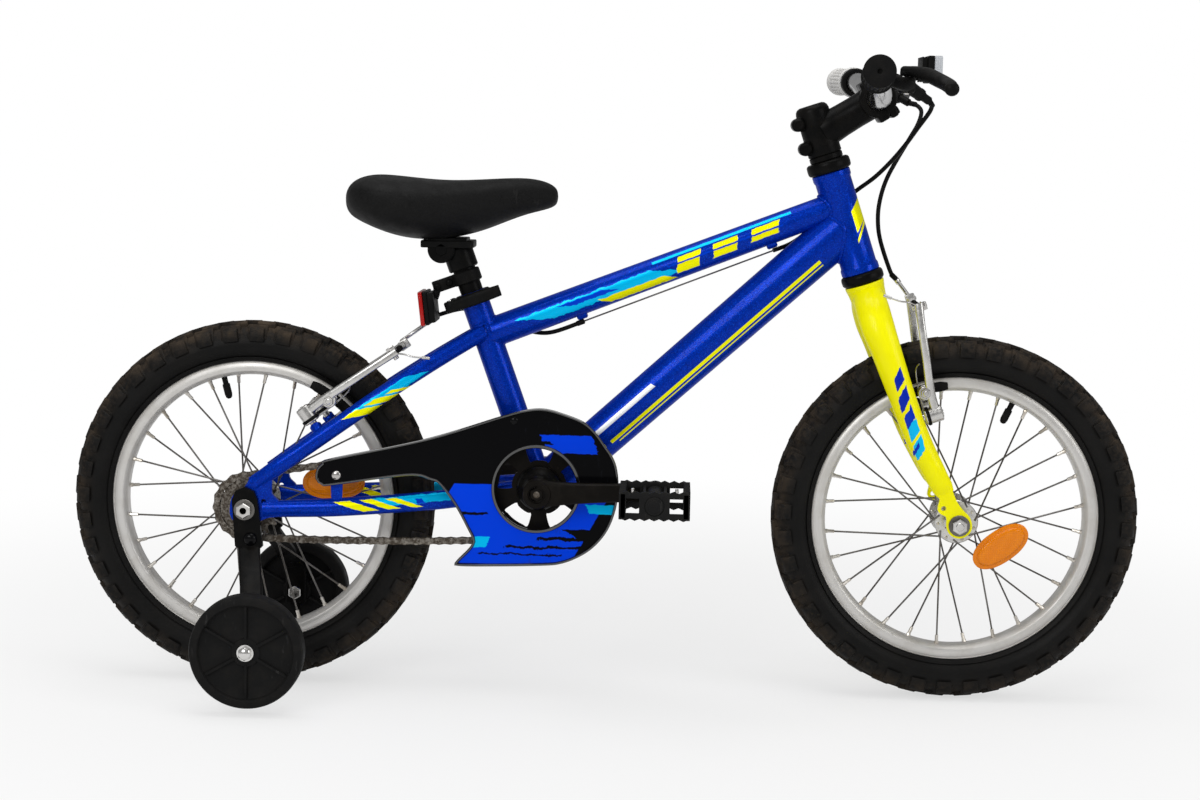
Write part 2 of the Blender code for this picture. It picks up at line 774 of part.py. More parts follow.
def on_bar(y):
    """The middle of the bar at a distance across, with its heading outward."""
    _, left = bar_points()
    for a, b in zip(left, left[1:]):
        if a.y <= abs(y) <= b.y or b is left[-1]:
            part = (abs(y) - a.y) / (b.y - a.y)
            point = a.lerp(b, part)
            heading = (b - a).normalized()
            if y < 0:
                point = Vector((point.x, -point.y, point.z))
                heading = Vector((heading.x, -heading.y, heading.z))
            return point, heading


def handlebar(look):
    right, left = bar_points()
    points = right[:-1] + [right[-1]] + [
        Vector((BAR_CENTRE.x, -26.0, BAR_CENTRE.z)),
        Vector((BAR_CENTRE.x, 26.0, BAR_CENTRE.z)),
    ] + left
    radii = [BAR_RADIUS] * 9 + [BAR_CLAMP_RADIUS] * 2 + [BAR_RADIUS] * 9
    return finished(tube("handlebar", points, radii, 10, ALONG_X), look)


def grip(name, side, look):
    start, heading = on_bar(side * GRIP_FROM)
    end, _ = on_bar(side * (GRIP_TO - 4.0))
    length = (end - start).length
    radius = GRIP_RADIUS
    inner = BAR_RADIUS + GAP + 0.2
    profile = [(inner, 0.0), (GRIP_FLANGE_RADIUS, 0.0), (GRIP_FLANGE_RADIUS, 4.0), (radius + 1.2, 7.0)]
    ribs = 3
    for i in range(ribs):
        at = 10.0 + (length - 16.0) * i / ribs
        profile.append((radius, at))
        profile.append((radius - 0.9, at + (length - 16.0) * 0.8 / ribs))
    profile += [
        (radius + 0.8, length - 4.0),
        (radius + 0.8, length + 3.0),
        (radius - 1.2, length + 5.0),
        (0.0, length + 5.0),
        (0.0, length + 0.5),
        (inner, length + 0.5),
    ]
    return finished(turned(name, profile, start, heading, 14, looped=True), look)


def stem_body(look):
    sleeve = turned(
        "stem",
        [
            (0.0, SPACER_TO + GAP),
            (STEM_RADIUS, SPACER_TO + GAP),
            (STEM_RADIUS, STEM_TOP - 6.0),
            (STEM_RADIUS - 2.4, STEM_TOP - 1.0),
            (STEM_RADIUS - 6.0, STEM_TOP),
            (0.0, STEM_TOP),
        ],
        HEAD_FOOT,
        STEER_UP,
        18,
    )
    root = steered(165.5, 4.0)
    reach = BAR_CENTRE - root
    tip = root + reach * 0.86
    arm = tube("arm", [root, root + reach * 0.35, tip], [(19.0, 18.5), (18.5, 18.0), (20.5, 17.5)], 12)
    clamp = disc("clamp", BAR_CENTRE, ALONG_Y, 20.5, -25.0, 25.0, 18, 1.6)
    parts = [sleeve, arm, clamp]
    for s in (153.0, 180.5):
        parts.append(rod("lug", steered(s, -15.0, -13.0), steered(s, -15.0, 13.0), 8.6, 12))
        centre = steered(s, -19.6)
        parts.append(rod("bolt head", centre - ALONG_Y * 18.0, centre + ALONG_Y * 15.0, 7.4, 10))
    along = (BAR_CENTRE - root).normalized()
    lift = Vector((-along.z, 0.0, along.x))
    front = block("front cut", BAR_CENTRE + along * 27.6, (54.0, 80.0, 90.0), along)
    cuts = [
        rod("bar bore", BAR_CENTRE - ALONG_Y * 40.0, BAR_CENTRE + ALONG_Y * 40.0, BAR_CLAMP_RADIUS + GAP, 18),
        front,
        rod("steerer bore", steered(130.0), steered(STEM_TOP - 5.4), STEERER_RADIUS + 0.5, 18),
    ]
    stem = joined("stem", look, parts, cuts)
    cap = disc("stem_faceplate", BAR_CENTRE, ALONG_Y, 20.5, -25.0, 25.0, 18, 1.6)
    lobes = [cap]
    for up in (-1.0, 1.0):
        middle = BAR_CENTRE + lift * up * 21.0 + along * 7.6
        lobes.append(rod("lobe", middle - ALONG_Y * 24.0, middle + ALONG_Y * 24.0, 7.4, 10))
    back = block("back cut", BAR_CENTRE - along * 25.8, (54.0, 80.0, 90.0), along)
    bore = rod("bore", BAR_CENTRE - ALONG_Y * 40.0, BAR_CENTRE + ALONG_Y * 40.0, BAR_CLAMP_RADIUS + GAP, 18)
    faceplate = joined("stem_faceplate", look, lobes, [bore, back])
    return stem, faceplate


def lever_parts(label, side, black):
    """The perch clamped round the bar with the barrel for the cable, and the blade on its pivot."""
    hold, heading = on_bar(side * 142.0)
    pivot = mirrored(LEVER_PIVOT, side)
    clamp = ring("clamp", hold, heading, 16.5, BAR_RADIUS + GAP + 0.4, -7.0, 7.0, 12)
    out = (pivot - hold).normalized()
    face = (out - heading * out.dot(heading)).normalized()
    knee = hold + face * 25.0 - heading * 5.0
    body = tube("body", [hold + face * 16.5, knee, pivot], [(7.0, 6.0), (8.0, 7.0), (10.0, 8.0)], 8)
    barrel_end = mirrored((335.4, -100.0, 661.3), side)
    barrel = tube("barrel", [pivot, pivot.lerp(barrel_end, 0.5), barrel_end], [7.0, 5.4, 4.6], 8)
    perch = joined(
        f"brake_lever_perch_{label}",
        black,
        [clamp, body, barrel],
        [
            rod("pin bore", pivot - ALONG_Z * 20.0, pivot + ALONG_Z * 20.0, 3.0, 10),
        ],
    )
    blade_points = [
        mirrored(point, side)
        for point in (
            (310.0, -124.0, 689.3),
            (321.0, -136.0, 688.5),
            (332.0, -154.0, 684.2),
            (338.0, -178.0, 680.0),
            (341.0, -205.0, 676.0),
            LEVER_TIP,
        )
    ]
    radii = [(6.5, 3.0), (6.0, 3.4), (5.6, 4.2), (5.0, 5.6), (4.6, 6.0), (4.6, 5.0)]
    blade = tube("blade", blade_points, radii, 8, ALONG_X)
    knob = turned(
        "knob",
        [(0.0, -7.0), (4.2, -5.6), (6.6, -2.0), (6.6, 2.0), (4.2, 5.6), (0.0, 7.0)],
        mirrored(LEVER_TIP, side),
        ALONG_Y,
        10,
    )
    boss = disc("boss", pivot, ALONG_Z, 7.2, 9.4, 14.8, 10)
    pin = rod("pin", pivot - ALONG_Z * 9.0, pivot + ALONG_Z * 11.0, 2.4, 8)
    lever = joined(f"brake_lever_{label}", black, [blade, knob, boss, pin])
    axis_at(f"lever_pivot_{label}", pivot, [lever])
    return perch, lever


# Brakes


def arm_frame(front):
    if front:
        return steered(FRONT_PIVOT_S), STEER_UP, STEER_AHEAD, FRONT_AXLE
    return REAR_PIVOT, STAY_UP, STAY_OUT, REAR_AXLE


def brake_side(end, label, side, silver, rubber):
    front = end == "front"
    base, up, out, axle = arm_frame(front)

    def at(s, n, y):
        return base + up * s + out * n + ALONG_Y * (side * y)

    lean = 15.0 if front else -2.0
    pivot = at(0.0, ARM_NORMAL, ARM_Y)
    parts = [disc(f"{end}_brake_arm_{label}", at(0.0, 0.0, ARM_Y), out, 9.0, 18.4, 38.0, 10)]
    spine = [
        at(2.0, ARM_NORMAL - 1.0, ARM_Y + 1.0),
        at(26.0, ARM_NORMAL, ARM_Y + 3.0),
        at(60.0, ARM_NORMAL + lean * 0.35, ARM_Y + 6.5),
        at(95.0, ARM_NORMAL + lean * 0.7, ARM_Y + 6.0),
        at(ARM_LENGTH, ARM_NORMAL + lean, ARM_Y + 2.0),
    ]
    radii = [(6.0, 5.5), (6.5, 5.5), (5.0, 5.0), (4.4, 4.6), (5.0, 5.0)]
    parts.append(tube("spine", spine, radii, 6, ALONG_Y))
    band = RIM_OUTER_RADIUS - PAD_DEPTH
    pad_at = axle + (at(PAD_HEIGHT, 0.0, 0.0) + out * (ARM_NORMAL - 6.0) - axle).normalized() * band
    stud_from = Vector((pad_at.x, side * (RIM_HALF_WIDTH + PAD_GAP + 8.0), pad_at.z))
    stud_to = Vector((pad_at.x, side * (ARM_Y + 12.0), pad_at.z))
    parts.append(rod("stud", stud_from, stud_to, 3.0, 6))
    head = Vector((pad_at.x, side * (ARM_Y - 5.0), pad_at.z))
    parts.append(rod("washers", head, head + ALONG_Y * side * 14.0, 8.0, 8))
    if side < 0:
        end_at = at(ARM_LENGTH - 4.0, ARM_NORMAL + lean, ARM_Y)
        parts.append(rod("wire", end_at, Vector((end_at.x, 26.0, end_at.z)), 1.6, 6))
        parts.append(rod("pinch bolt", end_at - out * 8.0, end_at + out * 8.0, 5.0, 6))
    arm = joined(f"{end}_brake_arm_{label}", silver, parts, [
        rod("pivot bore", at(0.0, 0.0, ARM_Y), at(0.0, 60.0, ARM_Y), 4.5, 10),
    ])
    round_rim = Vector((-(pad_at.z - axle.z), 0.0, pad_at.x - axle.x)).normalized()
    inward = (axle - pad_at).normalized()
    rings = []
    for i in range(7):
        sweep = (i / 6 - 0.5) * 56.0 / band
        middle = axle + (pad_at - axle) * math.cos(sweep) + round_rim * band * math.sin(sweep)
        middle.y = side * (RIM_HALF_WIDTH + PAD_GAP + 4.0)
        down = (axle - Vector((middle.x, 0.0, middle.z))).normalized()
        tall = 4.6 if i in (0, 6) else 5.2
        rings.append([
            middle + down * a * tall + ALONG_Y * side * b * 4.0
            for a, b in ((-1, -1), (1, -1), (1, 0.6), (0.6, 1), (-0.6, 1), (-1, 0.6))
        ])
    pad = joined(
        f"{end}_brake_pad_{label}",
        rubber,
        [lofted("pad", rings)],
        [rod("stud bore", stud_from - ALONG_Y * side * 3.0, stud_to, 3.0 + GAP + 0.3, 6)],
    )
    axis_at(f"{end}_brake_pivot_{label}", pivot, [arm, pad])
    return arm, pad


def noodle(end, look):
    """The bent pipe that brings the housing round into the left arm."""
    base, up, out, _ = arm_frame(end == "front")
    lean = 15.0 if end == "front" else -2.0
    route = (
        (160.0, 0.62, 51.0),
        (148.0, 0.72, 57.0),
        (134.0, 0.86, 60.5),
        (124.0, 0.96, 58.5),
        (ARM_LENGTH - 2.5, 1.0, 53.5),
        (ARM_LENGTH - 3.0, 1.0, ARM_Y + 8.2),
    )
    points = [base + up * s + out * (ARM_NORMAL + 4.0 + (lean + 1.0) * part) + ALONG_Y * y for s, part, y in route]
    made = cable(f"{end}_brake_noodle", look, points, NOODLE_RADIUS, 6.0)
    return made, points[0], (points[0] - points[1]).normalized()


def brake_cables(black, silver):
    """Both housings: the front one to the fork, the rear one under the top tube to the stays."""
    front_noodle, front_end, front_way = noodle("front", silver)
    rear_noodle, rear_end, rear_way = noodle("rear", silver)
    front_route = [
        (336.0, 99.5, 661.0),
        (340.7, 95.2, 658.2),
        (342.5, 86.5, 648.5),
        (333.0, 63.0, 632.0),
        (321.0, 40.0, 612.0),
        (309.0, 24.0, 590.0),
        (300.5, 20.0, 566.0),
        (298.5, 23.0, 540.0),
        (299.0, 34.0, 514.0),
        front_end + front_way * 9.0,
        front_end + front_way * GAP,
    ]
    front = cable("front_brake_cable", black, front_route, CABLE_RADIUS, 12.5)
    loop_route = [
        (336.0, -99.5, 661.0),
        (340.7, -95.2, 658.2),
        (342.5, -86.5, 648.5),
        (331.0, -62.0, 631.0),
        (317.0, -38.0, 612.0),
        (305.0, -14.0, 594.0),
        (292.0, 10.0, 579.0),
        (276.0, 28.0, 565.0),
        (262.0, 32.0, 553.5),
    ]
    loop = cable("rear_brake_cable_loop", black, loop_route, CABLE_RADIUS, 12.5)
    below = GUIDE_DEPTH + CABLE_RADIUS + GAP
    frame_route = [
        (261.7, 32.1, 553.2),
        (246.0, 33.0, 540.0),
        (226.0, 30.0, 521.0),
        (204.0, 18.0, 504.5),
        under_top_tube(174.5, below),
        under_top_tube(120.0, below),
        under_top_tube(70.0, below),
        under_top_tube(20.0, below),
        under_top_tube(-33.0, below),
        (-62.0, 8.0, 399.5),
        (-90.0, 22.5, 400.0),
        (-115.0, 27.0, 409.0),
        (-138.0, 26.5, 417.5),
        (-160.0, 26.0, 422.5),
        rear_end + rear_way * 12.0,
        rear_end + rear_way * GAP,
    ]
    rear = cable("rear_brake_cable", black, frame_route, CABLE_RADIUS, 13.5)
    return [front_noodle, front, loop], [rear_noodle, rear]


# Drive


def chain_path():
    """The pitch line of the chain as (x, z, outward x, outward z), all the way round."""
    cog_radius = CHAIN_PITCH / (2 * math.sin(math.pi / COG_TEETH))
    ring_radius = CHAIN_PITCH / (2 * math.sin(math.pi / RING_TEETH))
    cog = Vector((REAR_AXLE.x, REAR_AXLE.z))
    wheel = Vector((CRANK_CENTRE.x, CRANK_CENTRE.z))
    between = wheel - cog
    slope = math.atan2(between.y, between.x)
    wrap = math.asin((ring_radius - cog_radius) / between.length)
    upper = slope + math.pi / 2 + wrap
    lower = slope - math.pi / 2 - wrap
    points = []

    def arc(centre, radius, start, end, steps):
        for i in range(steps + 1):
            angle = start + (end - start) * i / steps
            out = Vector((math.cos(angle), math.sin(angle)))
            points.append((centre + out * radius, out))

    def run(start, end, sag, steps):
        for i in range(1, steps):
            t = i / steps
            point = start.lerp(end, t)
            point.y -= sag * 4 * t * (1 - t)
            lean = sag * 4 * (1 - 2 * t) / (end - start).length
            heading = (end - start).normalized()
            heading = Vector((heading.x, heading.y + lean * (-1 if heading.x > 0 else 1) * 1.0)).normalized()
            points.append((point, Vector((heading.y, -heading.x))))

    def rim_point(centre, radius, angle):
        return centre + Vector((math.cos(angle), math.sin(angle))) * radius

    arc(wheel, ring_radius, upper, lower, 16)
    run(rim_point(wheel, ring_radius, lower), rim_point(cog, cog_radius, lower), CHAIN_SAG, 9)
    points_before = len(points)
    for i in range(points_before - 8, points_before):
        point, out = points[i]
        points[i] = (point, -out if out.y > 0 else out)
    arc(cog, cog_radius, lower, upper - 2 * math.pi, 11)
    first = rim_point(cog, cog_radius, upper)
    last = rim_point(wheel, ring_radius, upper)
    heading = (last - first).normalized()
    for i in range(1, 4):
        points.append((first.lerp(last, i / 4), Vector((-heading.y, heading.x))))
    return points


def chain_loop(look):
    half = CHAIN_HALF_WIDTH
    tall = CHAIN_HALF_HEIGHT
    slot = SPROCKET_THICKNESS / 2 + 0.35
    section = [
        (-half, -tall),
        (-half, tall),
        (half, tall),
        (half, -tall),
        (slot, -tall),
        (slot, 3.1),
        (-slot, 3.1),
        (-slot, -tall),
    ]
    rings = []
    for point, out in chain_path():
        rings.append(
            [Vector((point.x + out.x * n, CHAIN_Y + across, point.y + out.y * n)) for across, n in section]
        )
    return finished(lofted("chain", rings, looped=True), look)


def chainring(look):
    near = CHAIN_Y - SPROCKET_THICKNESS / 2
    far = CHAIN_Y + SPROCKET_THICKNESS / 2
    base = plate("chainring", sprocket_outline(CRANK_CENTRE, RING_TEETH), near, far)
    dome = turned(
        "dome",
        [(0.0, 40.6), (24.0, 40.6), (25.0, 44.0), (24.0, 52.0), (18.0, 60.0), (15.0, 68.0), (0.0, 68.0)],
        CRANK_CENTRE,
        -ALONG_Y,
        16,
    )
    cuts = [rod("bore", CRANK_CENTRE - ALONG_Y * 90.0, CRANK_CENTRE, 8.6, 14)]
    for i in range(5):
        angle = math.radians(18.0 + 72.0 * i)
        out = Vector((math.cos(angle), 0.0, math.sin(angle)))
        centre = CRANK_CENTRE + out * 38.0
        cuts.append(rod("window", centre - ALONG_Y * 50.0, centre - ALONG_Y * 30.0, 8.5, 8))
    return joined("chainring", look, [base, dome], cuts)


def crank_arm(label, side, look):
    """The arm with its boss on the spindle and the pedal pin fixed in its eye."""
    ahead = 1 if side < 0 else -1
    angle = math.radians(2.2)
    heading = Vector((math.cos(angle), 0.0, math.sin(angle))) * ahead
    lift = Vector((-heading.z, 0.0, heading.x))
    start = CRANK_CENTRE + ALONG_Y * side * CRANK_Y
    eye = start + heading * CRANK_LENGTH
    half = CRANK_THICKNESS / 2
    stations = (
        (0.0, 14.0, half), (20.0, 13.0, half), (60.0, 10.5, half - 0.6), (100.0, 10.0, half - 0.6), (118.0, 11.5, half)
    )
    rings = []
    for at, wide, thick in stations:
        rings.append(oval(start + heading * at, ALONG_Y, lift, thick, wide, 8, 0.62))
    arm = lofted("arm", rings)
    out = ALONG_Y * side
    boss = disc("boss", CRANK_CENTRE, out, 15.5, 69.0, CRANK_Y + half + 1.0, 12)
    eye_boss = disc("eye", eye, out, 12.0, -half, half, 12)
    pin = rod("pin", eye, eye + out * (PEDAL_TO_Y - CRANK_Y - 8.0), 4.8, 10)
    shoulder = rod("shoulder", eye, eye + out * (half + 3.6), 8.0, 12)
    bore = rod("bore", CRANK_CENTRE, CRANK_CENTRE + out * 80.0, 8.5, 14)
    crank = joined(f"crank_arm_{label}", look, [arm, boss, eye_boss, pin, shoulder], [bore])
    return crank, eye


def pedal(label, side, eye, look):
    """A platform body with toothed edges and open windows, turning on the crank's pin."""
    out = ALONG_Y * side
    near = PEDAL_FROM_Y + 1.0
    far = PEDAL_TO_Y
    middle = (near + far) / 2
    centre = Vector((eye.x, side * middle, eye.z))
    wide = far - near
    high = PEDAL_HEIGHT / 2
    outer = block(f"pedal_{label}", centre, (PEDAL_LENGTH, wide, high * 2 - 4.0))
    parts = [outer]
    for end in (-1, 1):
        for i in range(4):
            x = eye.x + end * (PEDAL_LENGTH / 2 - 4.0)
            y = side * (near + 7.0 + (wide - 14.0) * i / 3)
            parts.append(block("tooth", (x, y, eye.z), (7.0, 7.0, high * 2 + 4.0)))
    cuts = [rod("pin bore", eye, eye + out * (PEDAL_TO_Y - CRANK_Y - 4.0), 4.8 + 0.6, 10)]
    for end in (-1, 1):
        x = eye.x + end * 21.0
        cuts.append(block("window", (x, centre.y, eye.z), (16.0, wide - 18.0, 60.0)))
    made = joined(f"pedal_{label}", look, parts, cuts)
    axis_at(f"pedal_axis_{label}", eye, [made])
    return made


def guard_outline():
    return [
        (-313.1, 238.5), (-312.1, 249.9), (-305.0, 257.5), (-296.7, 262.1), (-191.6, 286.7), (-108.0, 314.1),
        (-81.2, 321.3), (-62.2, 322.3), (-41.2, 317.0), (-20.3, 308.9), (-7.0, 297.5), (3.2, 283.8), (11.0, 272.5),
        (16.1, 260.4), (18.6, 243.2), (18.0, 224.5), (14.9, 208.4), (8.5, 191.5), (-0.9, 177.5), (-13.0, 166.0),
        (-27.9, 157.1), (-43.0, 151.5), (-59.2, 149.2), (-110.0, 147.0), (-156.2, 146.3), (-158.4, 151.0),
        (-143.8, 166.8), (-140.1, 175.5), (-146.2, 188.5), (-159.1, 212.1), (-176.4, 235.6), (-186.8, 240.6),
        (-212.2, 245.0), (-296.5, 232.1), (-307.0, 233.0),
    ]


def chain_guard(look):
    near = GUARD_Y - GUARD_THICKNESS
    face = plate("chain_guard", guard_outline(), near, GUARD_Y)
    parts = [face]
    parts.append(rod("front stand", (-96.5, GUARD_Y - 1.0, 308.5), (-96.5, -16.0, 305.5), 4.0, 12))
    parts.append(rod("rear stand", (-290.7, GUARD_Y - 1.0, 243.5), (-290.7, -56.6, 243.5), 5.0, 12))
    parts.append(rod("rear screw", (-290.7, GUARD_Y - 4.6, 243.5), (-290.7, -52.4, 243.5), 2.2, 12))
    parts.append(disc("screw head", (-290.7, GUARD_Y, 243.5), -ALONG_Y, 4.4, 1.0, 4.6, 14))
    lip = ring("lip", (-71.5, GUARD_Y, 233.8), -ALONG_Y, 49.0, 45.0, 0.5, 4.0, 24)
    parts.append(lip)
    hole = rod("opening", (-71.5, -80.0, 233.8), (-71.5, -50.0, 233.8), 46.5, 24)
    return joined("chain_guard", look, parts, [hole])


# Seat


def saddle(look):
    stations = (
        (-288.0, 22.0, 549.5, 534.5),
        (-284.0, 42.0, 559.5, 526.5),
        (-276.0, 56.0, 566.5, 521.0),
        (-262.0, 67.0, 571.0, 514.5),
        (-244.0, 73.0, 571.0, 507.5),
        (-222.0, 75.0, 569.0, 502.0),
        (-200.0, 71.0, 567.1, 500.5),
        (-178.0, 61.0, 566.1, 501.5),
        (-156.0, 48.0, 566.7, 506.0),
        (-134.0, 36.5, 568.1, 512.5),
        (-112.0, 29.0, 569.7, 522.0),
        (-90.0, 25.5, 570.3, 530.5),
        (-74.0, 23.0, 568.0, 534.5),
        (-62.0, 18.5, 563.5, 538.0),
        (-55.5, 12.0, 557.0, 543.0),
    )
    rings = []
    sides = 20
    for x, wide, top, bottom in stations:
        ring_points = []
        tall = top - bottom
        crown = bottom + tall * 0.58
        for i in range(sides):
            angle = 2 * math.pi * (i + 0.5) / sides
            c = math.cos(angle)
            s = math.sin(angle)
            reach = wide * math.copysign(abs(c) ** 0.78, c)
            if s >= 0:
                z = crown + (top - crown) * abs(s) ** 0.72
            else:
                reach *= 1.0 - 0.26 * abs(s) ** 1.2
                z = crown - (crown - bottom) * abs(s) ** 0.62
            ring_points.append(Vector((x, reach, z)))
        rings.append(ring_points)
    made = lofted("saddle", rings)
    seat_floor = Vector((-178.0, 0.0, 490.5))
    pocket = block("clamp pocket", seat_floor, (64.0, 62.0, 30.8))
    return joined("saddle", look, [made], [pocket], angle=50.0)


def seat_parts(black, satin, steel):
    post = rod("seat_post", on_seat_tube(POST_FROM), on_seat_tube(POST_TO - 6.0), POST_RADIUS, 16)
    made = {"post": finished(post, satin)}
    head = disc("saddle_clamp", (-182.4, 0.0, 490.5), ALONG_Y, 15.0, -22.0, 22.0, 16)
    top = block("top", (-176.0, 0.0, 498.5), (44.0, 42.0, 10.0))
    sleeve = rod("sleeve", on_seat_tube(POST_TO - 26.0), on_seat_tube(POST_TO - 2.0), POST_RADIUS + 4.0, 14)
    cuts = [rod("post bore", on_seat_tube(POST_TO - 40.0), on_seat_tube(POST_TO - 5.4), POST_RADIUS + 0.5, 18)]
    made["clamp"] = joined("saddle_clamp", steel, [head, top, sleeve], cuts)
    collar_at = SEAT_TUBE_TOP - 8.0
    band = ring("seat_collar", on_seat_tube(collar_at), SEAT_UP, 20.2, SEAT_TUBE_RADIUS + GAP + 0.3, -6.5, 8.0, 14)
    ear = block("ear", on_seat_tube(collar_at + 0.7, -24.6), (16.4, 21.0, 11.6), SEAT_AHEAD, SEAT_UP)
    pin = on_seat_tube(collar_at + 0.7, -25.0)
    bolt = rod("bolt", pin - ALONG_Y * 8.0, pin + ALONG_Y * 20.0, 3.6, 8)
    nut = rod("nut", pin + ALONG_Y * 11.5, pin + ALONG_Y * 18.0, 7.0, 10)
    made["collar"] = joined("seat_collar", black, [band, ear, bolt, nut])
    cam_at = pin - ALONG_Y * (10.5 + GAP + 7.2)
    cam = rod("seat_clamp_lever", cam_at - SEAT_UP * 6.4, cam_at + SEAT_UP * 6.4, 7.2, 12)
    handle_points = [
        cam_at + SEAT_AHEAD * 1.0 - ALONG_Y * 3.0,
        on_seat_tube(collar_at + 1.0, 0.0, -25.5),
        on_seat_tube(collar_at + 1.0, 20.0, -24.5),
        on_seat_tube(collar_at + 1.0, 32.0, -22.0),
    ]
    handle = tube("handle", handle_points, [(2.6, 5.6), (2.8, 6.6), (3.0, 6.6), (3.2, 6.2)], 10, ALONG_Y, 0.8)
    made["lever"] = joined("seat_clamp_lever", black, [cam, handle])
    axis_at("seat_clamp_pivot", cam_at, [made["lever"]])
    return made


def rear_reflector_parts(black, red):
    height = 245.0
    band = ring("rear_reflector_bracket", on_seat_tube(height), SEAT_UP, 16.2, POST_RADIUS + GAP + 0.2, -7.0, 7.0, 14)
    strap = tube(
        "strap",
        [on_seat_tube(height, -13.0), on_seat_tube(height, -38.0)],
        [(5.0, 7.0), (5.0, 7.0)],
        12,
        ALONG_Y,
        0.7,
    )
    hanger = rod("hanger", on_seat_tube(height - 2.0, -36.0), (-191.0, 0.0, 440.0), 4.4, 10)
    lean = Vector((-0.12, 0.0, 1.0)).normalized()
    parts = [band, strap, hanger]
    for ahead in (-20.0, -34.0):
        centre = on_seat_tube(height, ahead)
        parts.append(rod("bolt", centre - ALONG_Y * 8.0, centre + ALONG_Y * 8.0, 3.6, 6))
    backing = block("backing", (-194.0, 0.0, 426.0), (13.0, 52.0, 37.0), Vector((lean.z, 0.0, -lean.x)), lean)
    parts.append(backing)
    bracket = joined("rear_reflector_bracket", black, parts)
    face_at = Vector((-194.0, 0.0, 426.0)) - Vector((lean.z, 0.0, -lean.x)) * (6.5 + GAP + 2.6)
    lens = block("rear_reflector", face_at, (5.2, 50.0, 38.0), Vector((lean.z, 0.0, -lean.x)), lean)
    return bracket, finished(lens, red, bevel=1.0)


def front_reflector_parts(black, clear):
    at, heading = on_bar(38.0)
    band = ring("front_reflector_bracket", at, heading, 15.6, BAR_RADIUS + GAP + 0.2, -6.0, 6.0, 12)
    arm = tube(
        "arm",
        [at + Vector((11.0, 0.0, 6.0)), at + Vector((30.0, 0.0, 18.0)), (348.0, 28.0, 693.5)],
        [(5.0, 3.4), (5.0, 3.2), (5.0, 4.0)],
        12,
    )
    backing = block("backing", (349.0, 10.0, 696.5), (9.0, 52.0, 29.0))
    bracket = joined("front_reflector_bracket", black, [band, arm, backing])
    lens = block("front_reflector", (349.0 + 4.5 + GAP + 2.5, 10.0, 697.0), (5.0, 50.0, 28.0))
    return bracket, finished(lens, clear, bevel=1.0)


# Stabilisers


